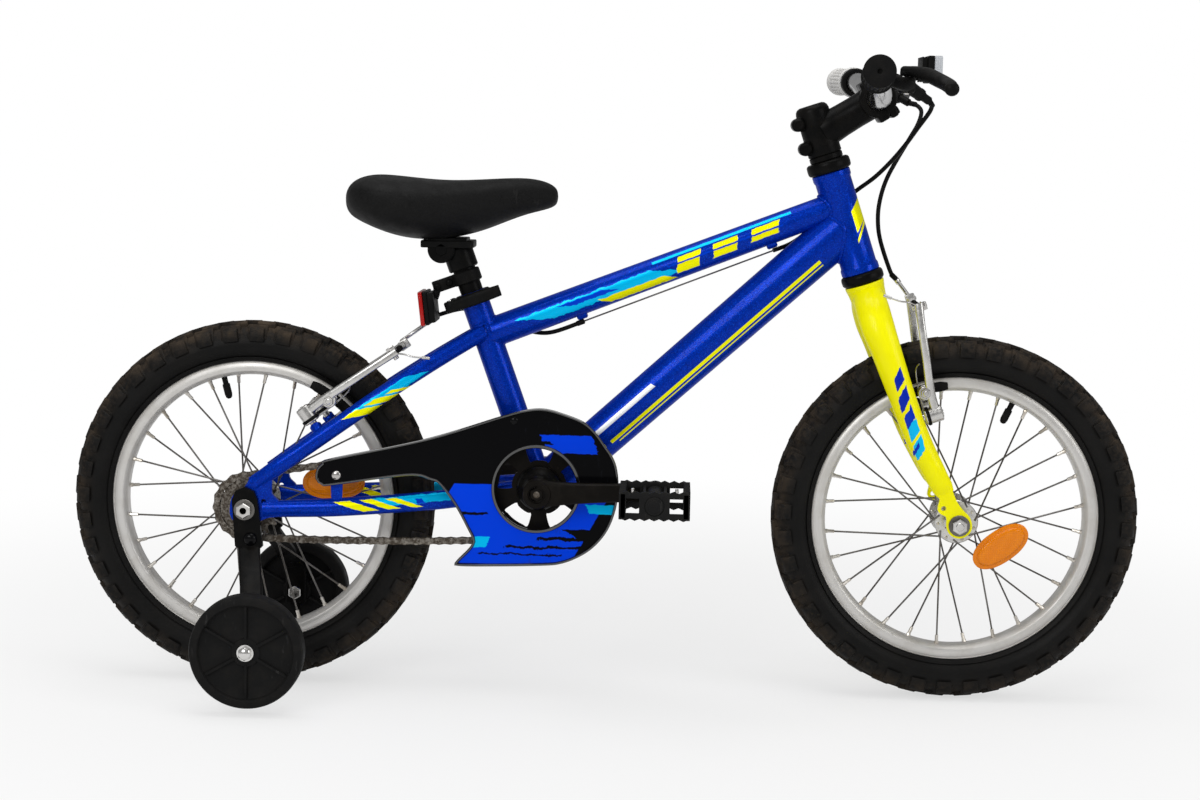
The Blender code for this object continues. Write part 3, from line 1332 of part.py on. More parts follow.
def stabiliser(label, side, steel, plastic):
    """The bracket hangs on the axle, drops outward as a flat bar and carries the wheel on a bolt."""
    base = REAR_DROPOUT_Y + DROPOUT_THICKNESS / 2 + GAP
    thick = STABILISER_BAR_THICKNESS
    outline = [
        (-10.5, -42.5), (20.0, -42.5), (14.0, 10.5), (10.0, 20.5), (0.0, 25.0), (-10.0, 20.5), (-14.0, 10.5)
    ]
    hang = plate(f"stabiliser_bracket_{label}", around(REAR_AXLE, outline), side * base, side * (base + thick))
    half = STABILISER_BAR_WIDTH / 2
    path = (
        (REAR_AXLE.x + 5.0, base + thick / 2, 172.0),
        (REAR_AXLE.x + 5.0, base + thick / 2 + 1.0, 160.0),
        (REAR_AXLE.x + 14.0, 100.0, 131.0),
        (REAR_AXLE.x + 21.0, 136.0, 104.0),
        (STABILISER_X, 143.0, 95.0),
        (STABILISER_X, 143.5, STABILISER_RADIUS + STABILISER_LIFT - 13.0),
    )
    points = [Vector((x, side * y, z)) for x, y, z in path]
    rings = []
    for i, point in enumerate(points):
        before = points[max(i - 1, 0)]
        after = points[min(i + 1, len(points) - 1)]
        heading = (after - before).normalized()
        thin = heading.cross(ALONG_X).normalized()
        rings.append([point + ALONG_X * a * half + thin * b * thick / 2 for a, b in ((-1, -1), (1, -1), (1, 1), (-1, 1))])
    bar = lofted("bar", rings)
    hub = Vector((STABILISER_X, 0.0, STABILISER_RADIUS + STABILISER_LIFT))
    inner = STABILISER_Y - STABILISER_WIDTH
    bolt = turned(
        "bolt",
        [
            (0.0, 141.0), (5.0, 141.0), (5.0, STABILISER_Y - 3.0), (9.0, STABILISER_Y - 3.0),
            (9.0, STABILISER_Y - 1.4), (6.8, STABILISER_Y - 1.4), (6.8, STABILISER_Y + 4.0),
            (4.6, STABILISER_Y + 5.6), (0.0, STABILISER_Y + 5.6),
        ],
        hub,
        ALONG_Y * side,
        12,
    )
    dome = turned(
        "dome",
        [(0.0, base), (7.5, base), (7.5, base + thick + 0.5), (6.0, base + thick + 3.6), (2.6, base + thick + 5.2), (0.0, base + thick + 5.4)],
        (REAR_AXLE.x + 6.5, 0.0, 171.0),
        ALONG_Y * side,
        12,
    )
    spacer = disc("spacer", hub, ALONG_Y * side, 8.5, 141.0, inner - 0.4, 10)
    bracket = joined(
        f"stabiliser_bracket_{label}",
        steel,
        [hang, bar, bolt, dome, spacer],
        [rod("axle bore", REAR_AXLE, REAR_AXLE + ALONG_Y * side * 90.0, AXLE_RADIUS + 0.4, 12)],
    )
    radius = STABILISER_RADIUS
    profile = [
        (5.5, inner),
        (16.0, inner),
        (18.0, inner + 6.0),
        (radius - 14.0, inner + 6.0),
        (radius - 12.0, inner),
        (radius - 3.0, inner),
        (radius, inner + 4.0),
        (radius, STABILISER_Y - 4.0),
        (radius - 3.0, STABILISER_Y),
        (radius - 8.0, STABILISER_Y),
        (radius - 9.0, STABILISER_Y - 3.0),
        (12.0, STABILISER_Y - 3.8),
        (5.5, STABILISER_Y - 3.8),
    ]
    wheel = turned(f"stabiliser_wheel_{label}", profile, hub, ALONG_Y * side, 22, looped=True, start=ALONG_Z)
    ribs = []
    for i in range(6):
        angle = math.radians(30.0 + 60.0 * i)
        out = Vector((math.cos(angle), 0.0, math.sin(angle)))
        middle = hub + out * 34.0 + ALONG_Y * side * (STABILISER_Y - 3.2)
        ribs.append(block("rib", middle, (42.0, 2.6, 3.4), out, ALONG_Z if abs(out.z) < 0.9 else ALONG_X))
    made = joined(f"stabiliser_wheel_{label}", plastic, [wheel] + ribs)
    axis_at(f"stabiliser_axis_{label}", hub + ALONG_Y * side * (STABILISER_Y - STABILISER_WIDTH / 2), [made])
    return bracket, made


def build():
    clear_scene()
    blue = material("royal_blue_paint", (0.004, 0.022, 0.30), 0.28, 0.35)
    yellow = material("fluorescent_yellow_paint", (0.78, 0.86, 0.0), 0.30)
    black = material("black_plastic", (0.012, 0.012, 0.013), 0.45)
    satin = material("black_steel", (0.018, 0.018, 0.019), 0.38, 0.4)
    leather = material("black_saddle_cover", (0.014, 0.014, 0.015), 0.62)
    rubber = material("black_rubber", (0.016, 0.015, 0.014), 0.85)
    tyre_look = material("dusty_tyre_rubber", (0.022, 0.020, 0.018), 0.9)
    silver = material("silver_alloy", (0.62, 0.62, 0.62), 0.32, 1.0)
    steel = material("bright_steel", (0.50, 0.50, 0.50), 0.3, 1.0)
    brown = material("oiled_chain_steel", (0.14, 0.11, 0.09), 0.5, 0.8)
    gloss = material("gloss_black_guard", (0.006, 0.006, 0.007), 0.14)
    amber = material("amber_reflector", (0.86, 0.20, 0.01), 0.2)
    red = material("red_reflector", (0.55, 0.01, 0.01), 0.2)
    clear = material("clear_reflector", (0.62, 0.64, 0.66), 0.15)

    frame_body(blue)
    fork = fork_body(yellow)
    finished(
        ring("headset_cup_lower", HEAD_FOOT, STEER_UP, CUP_RADIUS, STEERER_RADIUS + 0.5, -6.0, 5.7, 18, 2.0), satin
    )
    finished(
        ring("headset_cup_upper", HEAD_FOOT, STEER_UP, CUP_RADIUS + 0.6, STEERER_RADIUS + 0.5, 121.3, 134.4, 18, 2.6),
        satin,
    )
    spacer = finished(
        ring("headset_spacer", HEAD_FOOT, STEER_UP, SPACER_RADIUS, STEERER_RADIUS + 0.5, 134.8, SPACER_TO, 18), satin
    )
    stem, faceplate = stem_body(satin)
    bar = handlebar(silver)
    steered_parts = [fork, spacer, stem, faceplate, bar]
    for label, side in SIDES:
        steered_parts.append(grip(f"grip_{label}", side, rubber))
        perch, _ = lever_parts(label, side, black)
        steered_parts.append(perch)
    steered_parts += front_reflector_parts(black, clear)

    front_spin = [
        tyre("front_tyre", FRONT_AXLE, tyre_look),
        rim("front_rim", FRONT_AXLE, math.radians(65.2), silver),
        laced_hub("front_hub", FRONT_AXLE, silver, -46.6, 46.6, 13.0, 11.0, math.radians(7.35)),
        spoke_reflector("front_spoke_reflector", FRONT_AXLE, amber, math.radians(-28.5), 57.0, -1.107),
    ]
    axis_at("front_wheel_axis", FRONT_AXLE, front_spin)
    rear_spin = [
        tyre("rear_tyre", REAR_AXLE, tyre_look),
        rim("rear_rim", REAR_AXLE, math.radians(104.2), silver),
        laced_hub("rear_hub", REAR_AXLE, silver, -52.4, 52.4, 14.0, 16.6, math.radians(7.77)),
        spoke_reflector("rear_spoke_reflector", REAR_AXLE, amber, math.radians(15.2), 94.0, 0.265),
    ]
    axis_at("rear_wheel_axis", REAR_AXLE, rear_spin)
    steered_parts.append(
        axle_rod("front_axle", FRONT_AXLE, satin, FRONT_DROPOUT_Y + 12.0, FRONT_DROPOUT_Y + DROPOUT_THICKNESS / 2 + GAP)
    )
    nut_at = REAR_DROPOUT_Y + DROPOUT_THICKNESS / 2 + STABILISER_BAR_THICKNESS + 2 * GAP
    axle_rod("rear_axle", REAR_AXLE, steel, nut_at + 9.0, nut_at)
    near = CHAIN_Y - SPROCKET_THICKNESS / 2
    far = CHAIN_Y + SPROCKET_THICKNESS / 2
    cog = joined(
        "rear_cog",
        brown,
        [
            plate("rear_cog", sprocket_outline(REAR_AXLE, COG_TEETH), near, far),
            disc("carrier", REAR_AXLE, -ALONG_Y, 24.0, 36.0, 45.4, 12),
        ],
        [rod("cog bore", REAR_AXLE - ALONG_Y * 70.0, REAR_AXLE, 17.3, 14)],
    )
    axis_at("rear_cog_axis", REAR_AXLE, [cog])
    chain_loop(brown)

    spindle = finished(rod("crank_spindle", CRANK_CENTRE - ALONG_Y * 79.0, CRANK_CENTRE + ALONG_Y * 79.0, 8.0, 14), steel)
    crank_spin = [spindle, chainring(satin)]
    for label, side in SIDES:
        crank, eye = crank_arm(label, side, satin)
        crank_spin.append(crank)
        pedal(label, side, eye, black)
    axis_at("crank_axis", CRANK_CENTRE, crank_spin)
    chain_guard(gloss)

    seat_parts(black, satin, satin)
    saddle(leather)
    rear_reflector_parts(black, red)

    for end in ("front", "rear"):
        for label, side in SIDES:
            brake_side(end, label, side, silver, rubber)
    carried, _ = brake_cables(black, silver)
    steered_parts += carried
    for label, side in SIDES:
        stabiliser(label, side, satin, black)

    axis_at("steering_axis", HEAD_FOOT, steered_parts)


build()
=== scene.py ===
"""A kids bike with stabilisers, dressed for a studio picture.

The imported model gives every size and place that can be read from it. The rest is
written in millimetres below, in the model's own frame: x runs forward along the bike,
y to the rider's left and z up, from the ground midway between the axles.
"""

import json
import math

import bmesh
import bpy
from mathutils import Matrix, Vector


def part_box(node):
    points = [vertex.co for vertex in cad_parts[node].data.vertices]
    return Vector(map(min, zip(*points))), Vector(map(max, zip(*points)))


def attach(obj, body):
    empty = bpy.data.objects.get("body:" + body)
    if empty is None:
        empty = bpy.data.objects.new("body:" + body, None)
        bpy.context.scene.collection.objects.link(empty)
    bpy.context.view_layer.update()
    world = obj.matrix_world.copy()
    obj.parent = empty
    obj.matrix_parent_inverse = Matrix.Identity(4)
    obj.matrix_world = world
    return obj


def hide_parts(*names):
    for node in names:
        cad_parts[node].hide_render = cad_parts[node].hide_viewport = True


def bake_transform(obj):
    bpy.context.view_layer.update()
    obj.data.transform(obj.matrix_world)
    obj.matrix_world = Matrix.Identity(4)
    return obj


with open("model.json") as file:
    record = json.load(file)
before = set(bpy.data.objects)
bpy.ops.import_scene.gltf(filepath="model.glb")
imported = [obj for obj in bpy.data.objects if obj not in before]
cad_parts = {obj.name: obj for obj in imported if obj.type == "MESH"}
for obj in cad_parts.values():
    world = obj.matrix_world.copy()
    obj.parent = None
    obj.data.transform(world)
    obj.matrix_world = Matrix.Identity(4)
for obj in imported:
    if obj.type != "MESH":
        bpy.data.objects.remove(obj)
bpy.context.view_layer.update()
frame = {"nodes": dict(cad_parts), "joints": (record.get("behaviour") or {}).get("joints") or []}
NODES = frame["nodes"]
JOINTS = {joint["name"]: joint for joint in frame["joints"]}

MM = 0.001
X = Vector((1.0, 0.0, 0.0))
Y = Vector((0.0, 1.0, 0.0))
Z = Vector((0.0, 0.0, 1.0))
SIDES = (("right", -1), ("left", 1))


def joint_at(name):
    return Vector(JOINTS[name]["pos_m"]) / MM


def extent(node):
    """The lowest and highest corners of a node, in millimetres."""
    low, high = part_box(node)
    return Vector(low) / MM, Vector(high) / MM


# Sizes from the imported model

FRONT_AXLE = joint_at("front_wheel_spin")
REAR_AXLE = joint_at("rear_wheel_spin")
CRANK_CENTRE = joint_at("crank_spin")
HEAD_FOOT = joint_at("steering_turn")
STEER_UP = Vector(JOINTS["steering_turn"]["axis"]).normalized()
STEER_AHEAD = Vector((STEER_UP.z, 0.0, -STEER_UP.x))
SEAT_UP = Vector(JOINTS["seat_height"]["axis"]).normalized()
SEAT_AHEAD = Vector((SEAT_UP.z, 0.0, -SEAT_UP.x))
STAY_OUT = Vector(JOINTS["rear_right_brake_swing"]["axis"]).normalized()
STAY_UP = Vector((STAY_OUT.z, 0.0, -STAY_OUT.x))
WHEEL_RADIUS = (extent("front_tyre")[1].z - extent("front_tyre")[0].z) / 2
TYRE_HALF_WIDTH = extent("front_tyre")[1].y
RIM_OUTER_RADIUS = (extent("front_rim")[1].z - extent("front_rim")[0].z) / 2
RIM_HALF_WIDTH = extent("front_rim")[1].y
PEDAL_EYES = {"right": joint_at("right_pedal_spin"), "left": joint_at("left_pedal_spin")}
STABILISER_HUB = joint_at("left_stabiliser_spin")
STABILISER_RADIUS = extent("stabiliser_wheel_left")[1].z - STABILISER_HUB.z
STABILISER_FAR_Y = extent("stabiliser_wheel_left")[1].y
STABILISER_NEAR_Y = extent("stabiliser_wheel_left")[0].y

# Wheels

RIM_INNER_RADIUS = 143.0
SPOKES_PER_SIDE = 14
SPOKE_RADIUS = 1.0
NIPPLE_LENGTH = 11.0
FLANGE_RADIUS = 24.0
FLANGE_Y = 26.0
FLANGE_THICKNESS = 3.4
AXLE_RADIUS = 4.8
VALVE_LENGTH = 26.0
KNOBS_ROUND = 40
FRONT_DROPOUT_Y = 50.0
REAR_DROPOUT_Y = 55.5
DROPOUT_THICKNESS = 5.0

# Frame and fork

SEAT_TUBE_FOOT = Vector((-71.8, 0.0, 230.0))
SEAT_TUBE_RADIUS = 15.5
SEAT_TUBE_TOP = 227.0
TOP_TUBE_ENDS = (Vector((-133.0, 0.0, 396.0)), Vector((252.0, 0.0, 548.0)))
TOP_TUBE_RADII = (16.9, 15.2)
DOWN_TUBE_ENDS = (Vector((-69.0, 0.0, 224.0)), Vector((262.0, 0.0, 526.3)))
DOWN_TUBE_RADII = ((19.0, 23.6), (19.8, 25.6))
HEAD_TUBE_RADIUS = 20.0
HEAD_TUBE_FROM = 6.0
HEAD_TUBE_TO = 121.0
SHELL_RADIUS = 20.0
SHELL_HALF_WIDTH = 34.0
SEAT_STAY_RADIUS = 9.2
CHAIN_STAY_RADIUS = 10.3
GUIDES_X = (-33.0, 174.5)
GUIDE_DEPTH = 4.5
REAR_PIVOT = Vector((-308.7, 0.0, 284.4))
FRONT_PIVOT_S = -162.4
ARM_Y = 42.0
ARM_NORMAL = 32.0
ARM_LENGTH = 121.0
PAD_HEIGHT = 25.0
PAD_DEPTH = 8.5
PAD_GAP = 1.6
FORK_LEG_Y = 46.0
FORK_RAKE_FROM = -222.0

# Cockpit and seat

STEM_TOP = 197.0
STEM_RADIUS = 18.6
SPACER_TO = 141.0
BAR_RADIUS = 11.1
BAR_CLAMP_RADIUS = 12.7
BAR_CENTRE = Vector((290.0, 0.0, 663.4))
GRIP_RADIUS = 15.6
GRIP_FLANGE_RADIUS = 17.5
GRIP_FROM = 157.0
GRIP_TO = 262.0
LEVER_PIVOT = joint_at("right_lever_pull")
LEVER_TIP = Vector((342.6, -232.0, 671.7))
POST_RADIUS = 12.7
POST_FROM = 92.0
POST_TO = 280.0

# Drive

CHAIN_PITCH = 12.7
COG_TEETH = 17
RING_TEETH = 28
CHAIN_Y = -42.0
CHAIN_SAG = 3.5
SPROCKET_THICKNESS = 2.3
CRANK_Y = 82.5
CRANK_LENGTH = 128.0
PEDAL_LENGTH = 74.0
PEDAL_FROM_Y = 96.5
PEDAL_TO_Y = 174.0
GUARD_Y = -58.0
GUARD_THICKNESS = 2.4
GUARD_OPENING = Vector((-71.5, 0.0, 233.8))

# Camera, found from the photograph's own perspective

CAMERA_AT = Vector((71.6, -2433.3, 630.9))
CAMERA_YAW = 1.81
CAMERA_PITCH = -7.14
CAMERA_ROLL = -1.13
CAMERA_LENS = 66.13


def steered(s, ahead=0.0, y=0.0):
    """A point along the steering axis, ahead of it and across."""
    return HEAD_FOOT + STEER_UP * s + STEER_AHEAD * ahead + Y * y


def on_seat_tube(s, ahead=0.0, y=0.0):
    return SEAT_TUBE_FOOT + SEAT_UP * s + SEAT_AHEAD * ahead + Y * y


def mirrored(point, side):
    """The point on the right (-1) or left (+1) side, from one given on the right."""
    return Vector((point[0], -side * point[1], point[2]))


# Making meshes


class Piece:
    """A mesh gathered from closed parts, each with its own finish, in millimetres."""

    def __init__(self, name):
        self.name = name
        self.points = []
        self.faces = []
        self.marks = []
        self.looks = []

    def add(self, points, faces, look):
        if look not in self.looks:
            self.looks.append(look)
        start = len(self.points)
        self.points += [Vector(point) for point in points]
        self.faces += [tuple(i + start for i in face) for face in faces]
        self.marks += [self.looks.index(look)] * len(faces)

    def loft(self, rings, look, looped=False):
        """A skin over rings of equal count."""
        count = len(rings[0])
        faces = []
        for i in range(len(rings) if looped else len(rings) - 1):
            here = i * count
            there = ((i + 1) % len(rings)) * count
            for j in range(count):
                k = (j + 1) % count
                faces.append((here + j, here + k, there + k, there + j))
        if not looped:
            faces.append(tuple(range(count)))
            faces.append(tuple(range((len(rings) - 1) * count, len(rings) * count)))
        self.add([point for ring in rings for point in ring], faces, look)

    def tube(self, points, radii, look, sides=32, across=Y, power=1.0):
        """A rod swept along points; each radius is one number or a pair (across, up)."""
        points = [Vector(point) for point in points]
        if not isinstance(radii, (list, tuple)):
            radii = [radii] * len(points)
        rings = []
        last = len(points) - 1
        for i, point in enumerate(points):
            before = points[max(i - 1, 0)]
            after = points[min(i + 1, last)]
            heading = (after - before).normalized()
            side = (across - heading * across.dot(heading)).normalized()
            radius = radii[i]
            pair = radius if isinstance(radius, tuple) else (radius, radius)
            rings.append(oval(point, side, heading.cross(side), pair[0], pair[1], sides, power))
        self.loft(rings, look)

    def rod(self, start, end, radius, look, sides=24, ease=0.5):
        """A straight round bar with its two end edges eased."""
        start = Vector(start)
        end = Vector(end)
        axis = (end - start).normalized()
        length = (end - start).length
        profile = [(0.0, 0.0), (radius - ease, 0.0), (radius, ease), (radius, length - ease)]
        profile += [(radius - ease, length), (0.0, length)]
        self.turned(profile, start, axis, look, sides)

    def turned(self, profile, centre, axis, look, steps=48, looped=False):
        """A body of revolution from (radius, height) pairs."""
        axis = axis.normalized()
        side = axis.cross(X if abs(axis.x) < 0.8 else Z).normalized()
        front = axis.cross(side)
        points = []
        faces = []
        firsts = []
        for radius, height in profile:
            firsts.append(len(points))
            if radius == 0.0:
                points.append(Vector(centre) + axis * height)
                continue
            for i in range(steps):
                angle = 2 * math.pi * i / steps
                out = side * math.cos(angle) + front * math.sin(angle)
                points.append(Vector(centre) + axis * height + out * radius)
        count = len(profile)
        for j in range(count if looped else count - 1):
            k = (j + 1) % count
            for i in range(steps):
                n = (i + 1) % steps
                near = (firsts[j], firsts[j]) if profile[j][0] == 0.0 else (firsts[j] + i, firsts[j] + n)
                far = (firsts[k], firsts[k]) if profile[k][0] == 0.0 else (firsts[k] + i, firsts[k] + n)
                corners = []
                for corner in (near[0], near[1], far[1], far[0]):
                    if corner not in corners:
                        corners.append(corner)
                if len(corners) > 2:
                    faces.append(tuple(corners))
        self.add(points, faces, look)

    def collar(self, centre, axis, outer, inner, start, end, look, steps=48, ease=0.8):
        """A ring with all its edges eased."""
        profile = [
            (inner, start + ease / 2), (inner + ease / 2, start), (outer - ease, start),
            (outer, start + ease),
            (outer, end - ease), (outer - ease, end), (inner + ease / 2, end), (inner, end - ease / 2),
        ]
        self.turned(profile, centre, axis, look, steps, looped=True)

    def hexagon(self, centre, axis, across, start, end, look):
        """A hexagonal nut or bolt head with its corners eased, sized across its flats."""
        radius = across / math.sqrt(3.0)
        rings = []
        side = axis.cross(X if abs(axis.x) < 0.8 else Z).normalized()
        front = axis.cross(side)
        for height, grow in ((start, 0.88), (start + 0.8, 1.0), (end - 0.8, 1.0), (end, 0.88)):
            ring = []
            for i in range(6):
                angle = math.pi * i / 3
                ring.append(
                    Vector(centre) + axis * height + (
                        side * math.cos(angle) + front * math.sin(angle)
                    ) * radius * grow
                )
            rings.append(ring)
        self.loft(rings, look)

    def plate(self, outline, near, far, look, holes=()):
        """A flat sheet from an (x, z) outline between two y values, with holes cut through."""
        work = bmesh.new()
        edges = []
        for loop in [outline] + list(holes):
            verts = [work.verts.new((x, near, z)) for x, z in loop]
            edges += [work.edges.new((a, b)) for a, b in zip(verts, verts[1:] + verts[:1])]
        made = bmesh.ops.triangle_fill(work, use_beauty=True, edges=edges, normal=(0.0, 1.0, 0.0))
        flat = [face for face in made["geom"] if isinstance(face, bmesh.types.BMFace)]
        grown = bmesh.ops.extrude_face_region(work, geom=flat)
        moved = [vert for vert in grown["geom"] if isinstance(vert, bmesh.types.BMVert)]
        bmesh.ops.translate(work, verts=moved, vec=(0.0, far - near, 0.0))
        self.take(work, look)

    def block(self, centre, size, look, along=X, up=Z, ease=0.8):
        """A box with eased edges and its sizes along, across and up."""
        along = along.normalized()
        across = up.cross(along).normalized()
        up = along.cross(across).normalized()
        work = bmesh.new()
        bmesh.ops.create_cube(work, size=1.0)
        turn = Matrix((along, across, up)).transposed().to_4x4()
        spread = Matrix.Diagonal((size[0], size[1], size[2], 1.0))
        bmesh.ops.transform(
            work, matrix=Matrix.Translation(Vector(centre)) @ turn @ spread, verts=work.verts,
        )
        if ease:
            bmesh.ops.bevel(work, geom=work.edges[:], offset=ease, segments=2, affect="EDGES", profile=0.6)
        self.take(work, look)

    def take(self, work, look):
        """Takes over the faces of a bmesh."""
        work.verts.index_update()
        points = [vert.co.copy() for vert in work.verts]
        faces = [tuple(vert.index for vert in face.verts) for face in work.faces]
        work.free()
        self.add(points, faces, look)

    def made(self, angle=35.0, bevel=0.0, smooth=0):
        """The finished mesh object, faces outward and in metres."""
        work = bmesh.new()
        verts = [work.verts.new(point * MM) for point in self.points]
        for face, mark in zip(self.faces, self.marks):
            new = work.faces.new([verts[i] for i in face])
            new.material_index = mark
            new.smooth = True
        bmesh.ops.remove_doubles(work, verts=work.verts, dist=2e-7)
        bmesh.ops.recalc_face_normals(work, faces=work.faces)
        mesh = bpy.data.meshes.new(self.name)
        work.to_mesh(mesh)
        work.free()
        for look in self.looks:
            mesh.materials.append(LOOKS[look])
        made = bpy.data.objects.new(self.name, mesh)
        bpy.context.scene.collection.objects.link(made)
        if bevel:
            edge = made.modifiers.new("eased edges", "BEVEL")
            edge.width = bevel * MM
            edge.segments = 2
            edge.limit_method = "ANGLE"
            edge.angle_limit = math.radians(40.0)
        if smooth:
            soft = made.modifiers.new("smoothed", "SUBSURF")
            soft.levels = smooth
            soft.render_levels = smooth
        settle(made)
        made.data.set_sharp_from_angle(angle=math.radians(angle))
        return made


def settle(made):
    """Works an object's modifiers into its mesh."""
    if made.modifiers:
        graph = bpy.context.evaluated_depsgraph_get()
        mesh = bpy.data.meshes.new_from_object(made.evaluated_get(graph), depsgraph=graph)
        made.modifiers.clear()
        made.data = mesh
        mesh.name = made.name
        mesh.polygons.foreach_set("use_smooth", [True] * len(mesh.polygons))


def place(made, body, *nodes):
    """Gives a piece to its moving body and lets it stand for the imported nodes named."""
    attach(made, body)
    if nodes:
        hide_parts(*nodes)
    return made


def oval(centre, across, up, half_across, half_up, sides, power=1.0):
    """A ring of points round a centre; a power under 1 squares it off."""
    points = []
    for i in range(sides):
        angle = 2 * math.pi * (i + 0.5) / sides
        c = math.cos(angle)
        s = math.sin(angle)
        c = math.copysign(abs(c) ** power, c)
        s = math.copysign(abs(s) ** power, s)
        points.append(Vector(centre) + across * (half_across * c) + up * (half_up * s))
    return points


def smooth_path(points, step):
    """Evenly spaced points on a smooth curve through the chosen ones."""
    points = [Vector(point) for point in points]
    dense = []
    for i in range(len(points) - 1):
        p0 = points[max(i - 1, 0)]
        p1 = points[i]
        p2 = points[i + 1]
        p3 = points[min(i + 2, len(points) - 1)]
        for k in range(24):
            t = k / 24
            bend = 2 * p1 + (p2 - p0) * t + (2 * p0 - 5 * p1 + 4 * p2 - p3) * t * t
            dense.append(0.5 * (bend + (3 * p1 - p0 - 3 * p2 + p3) * t * t * t))
    dense.append(points[-1])
    lengths = [0.0]
    for a, b in zip(dense, dense[1:]):
        lengths.append(lengths[-1] + (b - a).length)
    count = max(2, round(lengths[-1] / step))
    spaced = []
    at = 0
    for i in range(count + 1):
        target = lengths[-1] * i / count
        while at < len(dense) - 2 and lengths[at + 1] < target:
            at += 1
        span = lengths[at + 1] - lengths[at]
        spaced.append(dense[at].lerp(dense[at + 1], (target - lengths[at]) / span))
    return spaced


def arc_outline(points, step):
    """A closed (x, z) outline smoothed through its points."""
    flat = [Vector((x, 0.0, z)) for x, z in points]
    closed = smooth_path(flat[-2:] + flat + flat[:2], step)
    turn_on = min(range(len(closed) // 3), key=lambda i: (closed[i] - flat[0]).length)
    turn_off = max(range(2 * len(closed) // 3, len(closed)), key=lambda i: -(closed[i] - flat[0]).length)
    return [(point.x, point.z) for point in closed[turn_on:turn_off]]


def round_hole(centre, radius, steps=32):
    return [
        (
            centre[0] + radius * math.cos(2 * math.pi * i / steps),
            centre[1] + radius * math.sin(2 * math.pi * i / steps),
        )
        for i in range(steps)
    ]


# Finishes


def node(tree, kind, values=None, **settings):
    """A shader node with its settings, and its inputs given as numbers or as sockets to link."""
    made = tree.nodes.new(kind)
    for key, value in settings.items():
        setattr(made, key, value)
    for key, value in (values or {}).items():
        if isinstance(value, bpy.types.NodeSocket):
            tree.links.new(value, made.inputs[key])
        else:
            made.inputs[key].default_value = value
    return made


def calc(tree, operation, a, b=0.5, c=0.5, clamp=False):
    return node(tree, "ShaderNodeMath", {0: a, 1: b, 2: c}, operation=operation, use_clamp=clamp).outputs[0]


def blended(tree, factor, a, b):
    """A colour mixed from two."""
    a = (*a, 1.0) if isinstance(a, tuple) and len(a) == 3 else a
    b = (*b, 1.0) if isinstance(b, tuple) and len(b) == 3 else b
    return node(tree, "ShaderNodeMix", {0: factor, 6: a, 7: b}, data_type="RGBA").outputs[2]


def ranged(tree, value, low, high, to_low=0.0, to_high=1.0):
    values = {0: value, 1: low, 2: high, 3: to_low, 4: to_high}
    return node(tree, "ShaderNodeMapRange", values, interpolation_type="SMOOTHSTEP").outputs[0]


def effect(name, inputs, outputs, build):
    """A shader node group with named inputs and outputs, built once."""
    tree = bpy.data.node_groups.new(name, "ShaderNodeTree")
    for label, kind, default in inputs:
        socket = tree.interface.new_socket(label, in_out="INPUT", socket_type=kind)
        socket.default_value = default
    for label, kind in outputs:
        tree.interface.new_socket(label, in_out="OUTPUT", socket_type=kind)
    made = build(tree, tree.nodes.new("NodeGroupInput").outputs)
    end = tree.nodes.new("NodeGroupOutput")
    for label, socket in made.items():
        tree.links.new(socket, end.inputs[label])
    return tree


def use(tree, group, values):
    return node(tree, "ShaderNodeGroup", values, node_tree=group).outputs


FLOAT = "NodeSocketFloat"
VECTOR = "NodeSocketVector"


def place_in(tree, scale, stretch=(1.0, 1.0, 1.0)):
    """The object's own coordinates, scaled to a pattern's size."""
    at = tree.nodes.new("ShaderNodeTexCoord").outputs["Object"]
    stretched = node(tree, "ShaderNodeVectorMath", {0: at, 1: stretch}, operation="MULTIPLY").outputs[0]
    return node(tree, "ShaderNodeVectorMath", {0: stretched, 3: scale}, operation="SCALE").outputs[0]


def build_grain(tree, given):
    """Two sizes of soft unevenness, as on cast or moulded surfaces."""
    at = place_in(tree, given["Scale"])
    fine = node(tree, "ShaderNodeTexNoise", {"Vector": at, "Scale": 1.0, "Detail": 3.0, "Roughness": 0.6})
    broad = node(tree, "ShaderNodeTexNoise", {"Vector": at, "Scale": 0.12, "Detail": 2.0, "Roughness": 0.5})
    return {"Fine": fine.outputs[0], "Broad": broad.outputs[0]}


def build_scuffs(tree, given):
    """Thin rub marks that lie in patches."""
    at = place_in(tree, given["Scale"], (1.0, 1.0, 0.22))
    lines = node(tree, "ShaderNodeTexNoise", {"Vector": at, "Scale": 2.2, "Detail": 4.0, "Roughness": 0.7})
    patches = node(
        tree, "ShaderNodeTexNoise", {"Vector": at, "Scale": 0.35, "Detail": 2.0, "Roughness": 0.5},
    )
    thin = ranged(tree, lines.outputs[0], 0.60, 0.68)
    worn = ranged(tree, patches.outputs[0], 0.48, 0.62)
    return {"Mask": calc(tree, "MULTIPLY", calc(tree, "MULTIPLY", thin, worn), given["Amount"], clamp=True)}


def build_dust(tree, given):
    """Road dust: most on faces turned up and where the surface is uneven."""
    at = place_in(tree, given["Scale"])
    cloud = node(tree, "ShaderNodeTexNoise", {"Vector": at, "Scale": 1.0, "Detail": 5.0, "Roughness": 0.62})
    normal = tree.nodes.new("ShaderNodeNewGeometry").outputs["Normal"]
    lift = node(tree, "ShaderNodeSeparateXYZ", {0: normal}).outputs[2]
    up = ranged(tree, lift, -0.6, 1.0, 0.55, 1.0)
    spots = ranged(tree, cloud.outputs[0], 0.40, 0.70)
    return {"Mask": calc(tree, "MULTIPLY", calc(tree, "MULTIPLY", spots, up), given["Amount"], clamp=True)}


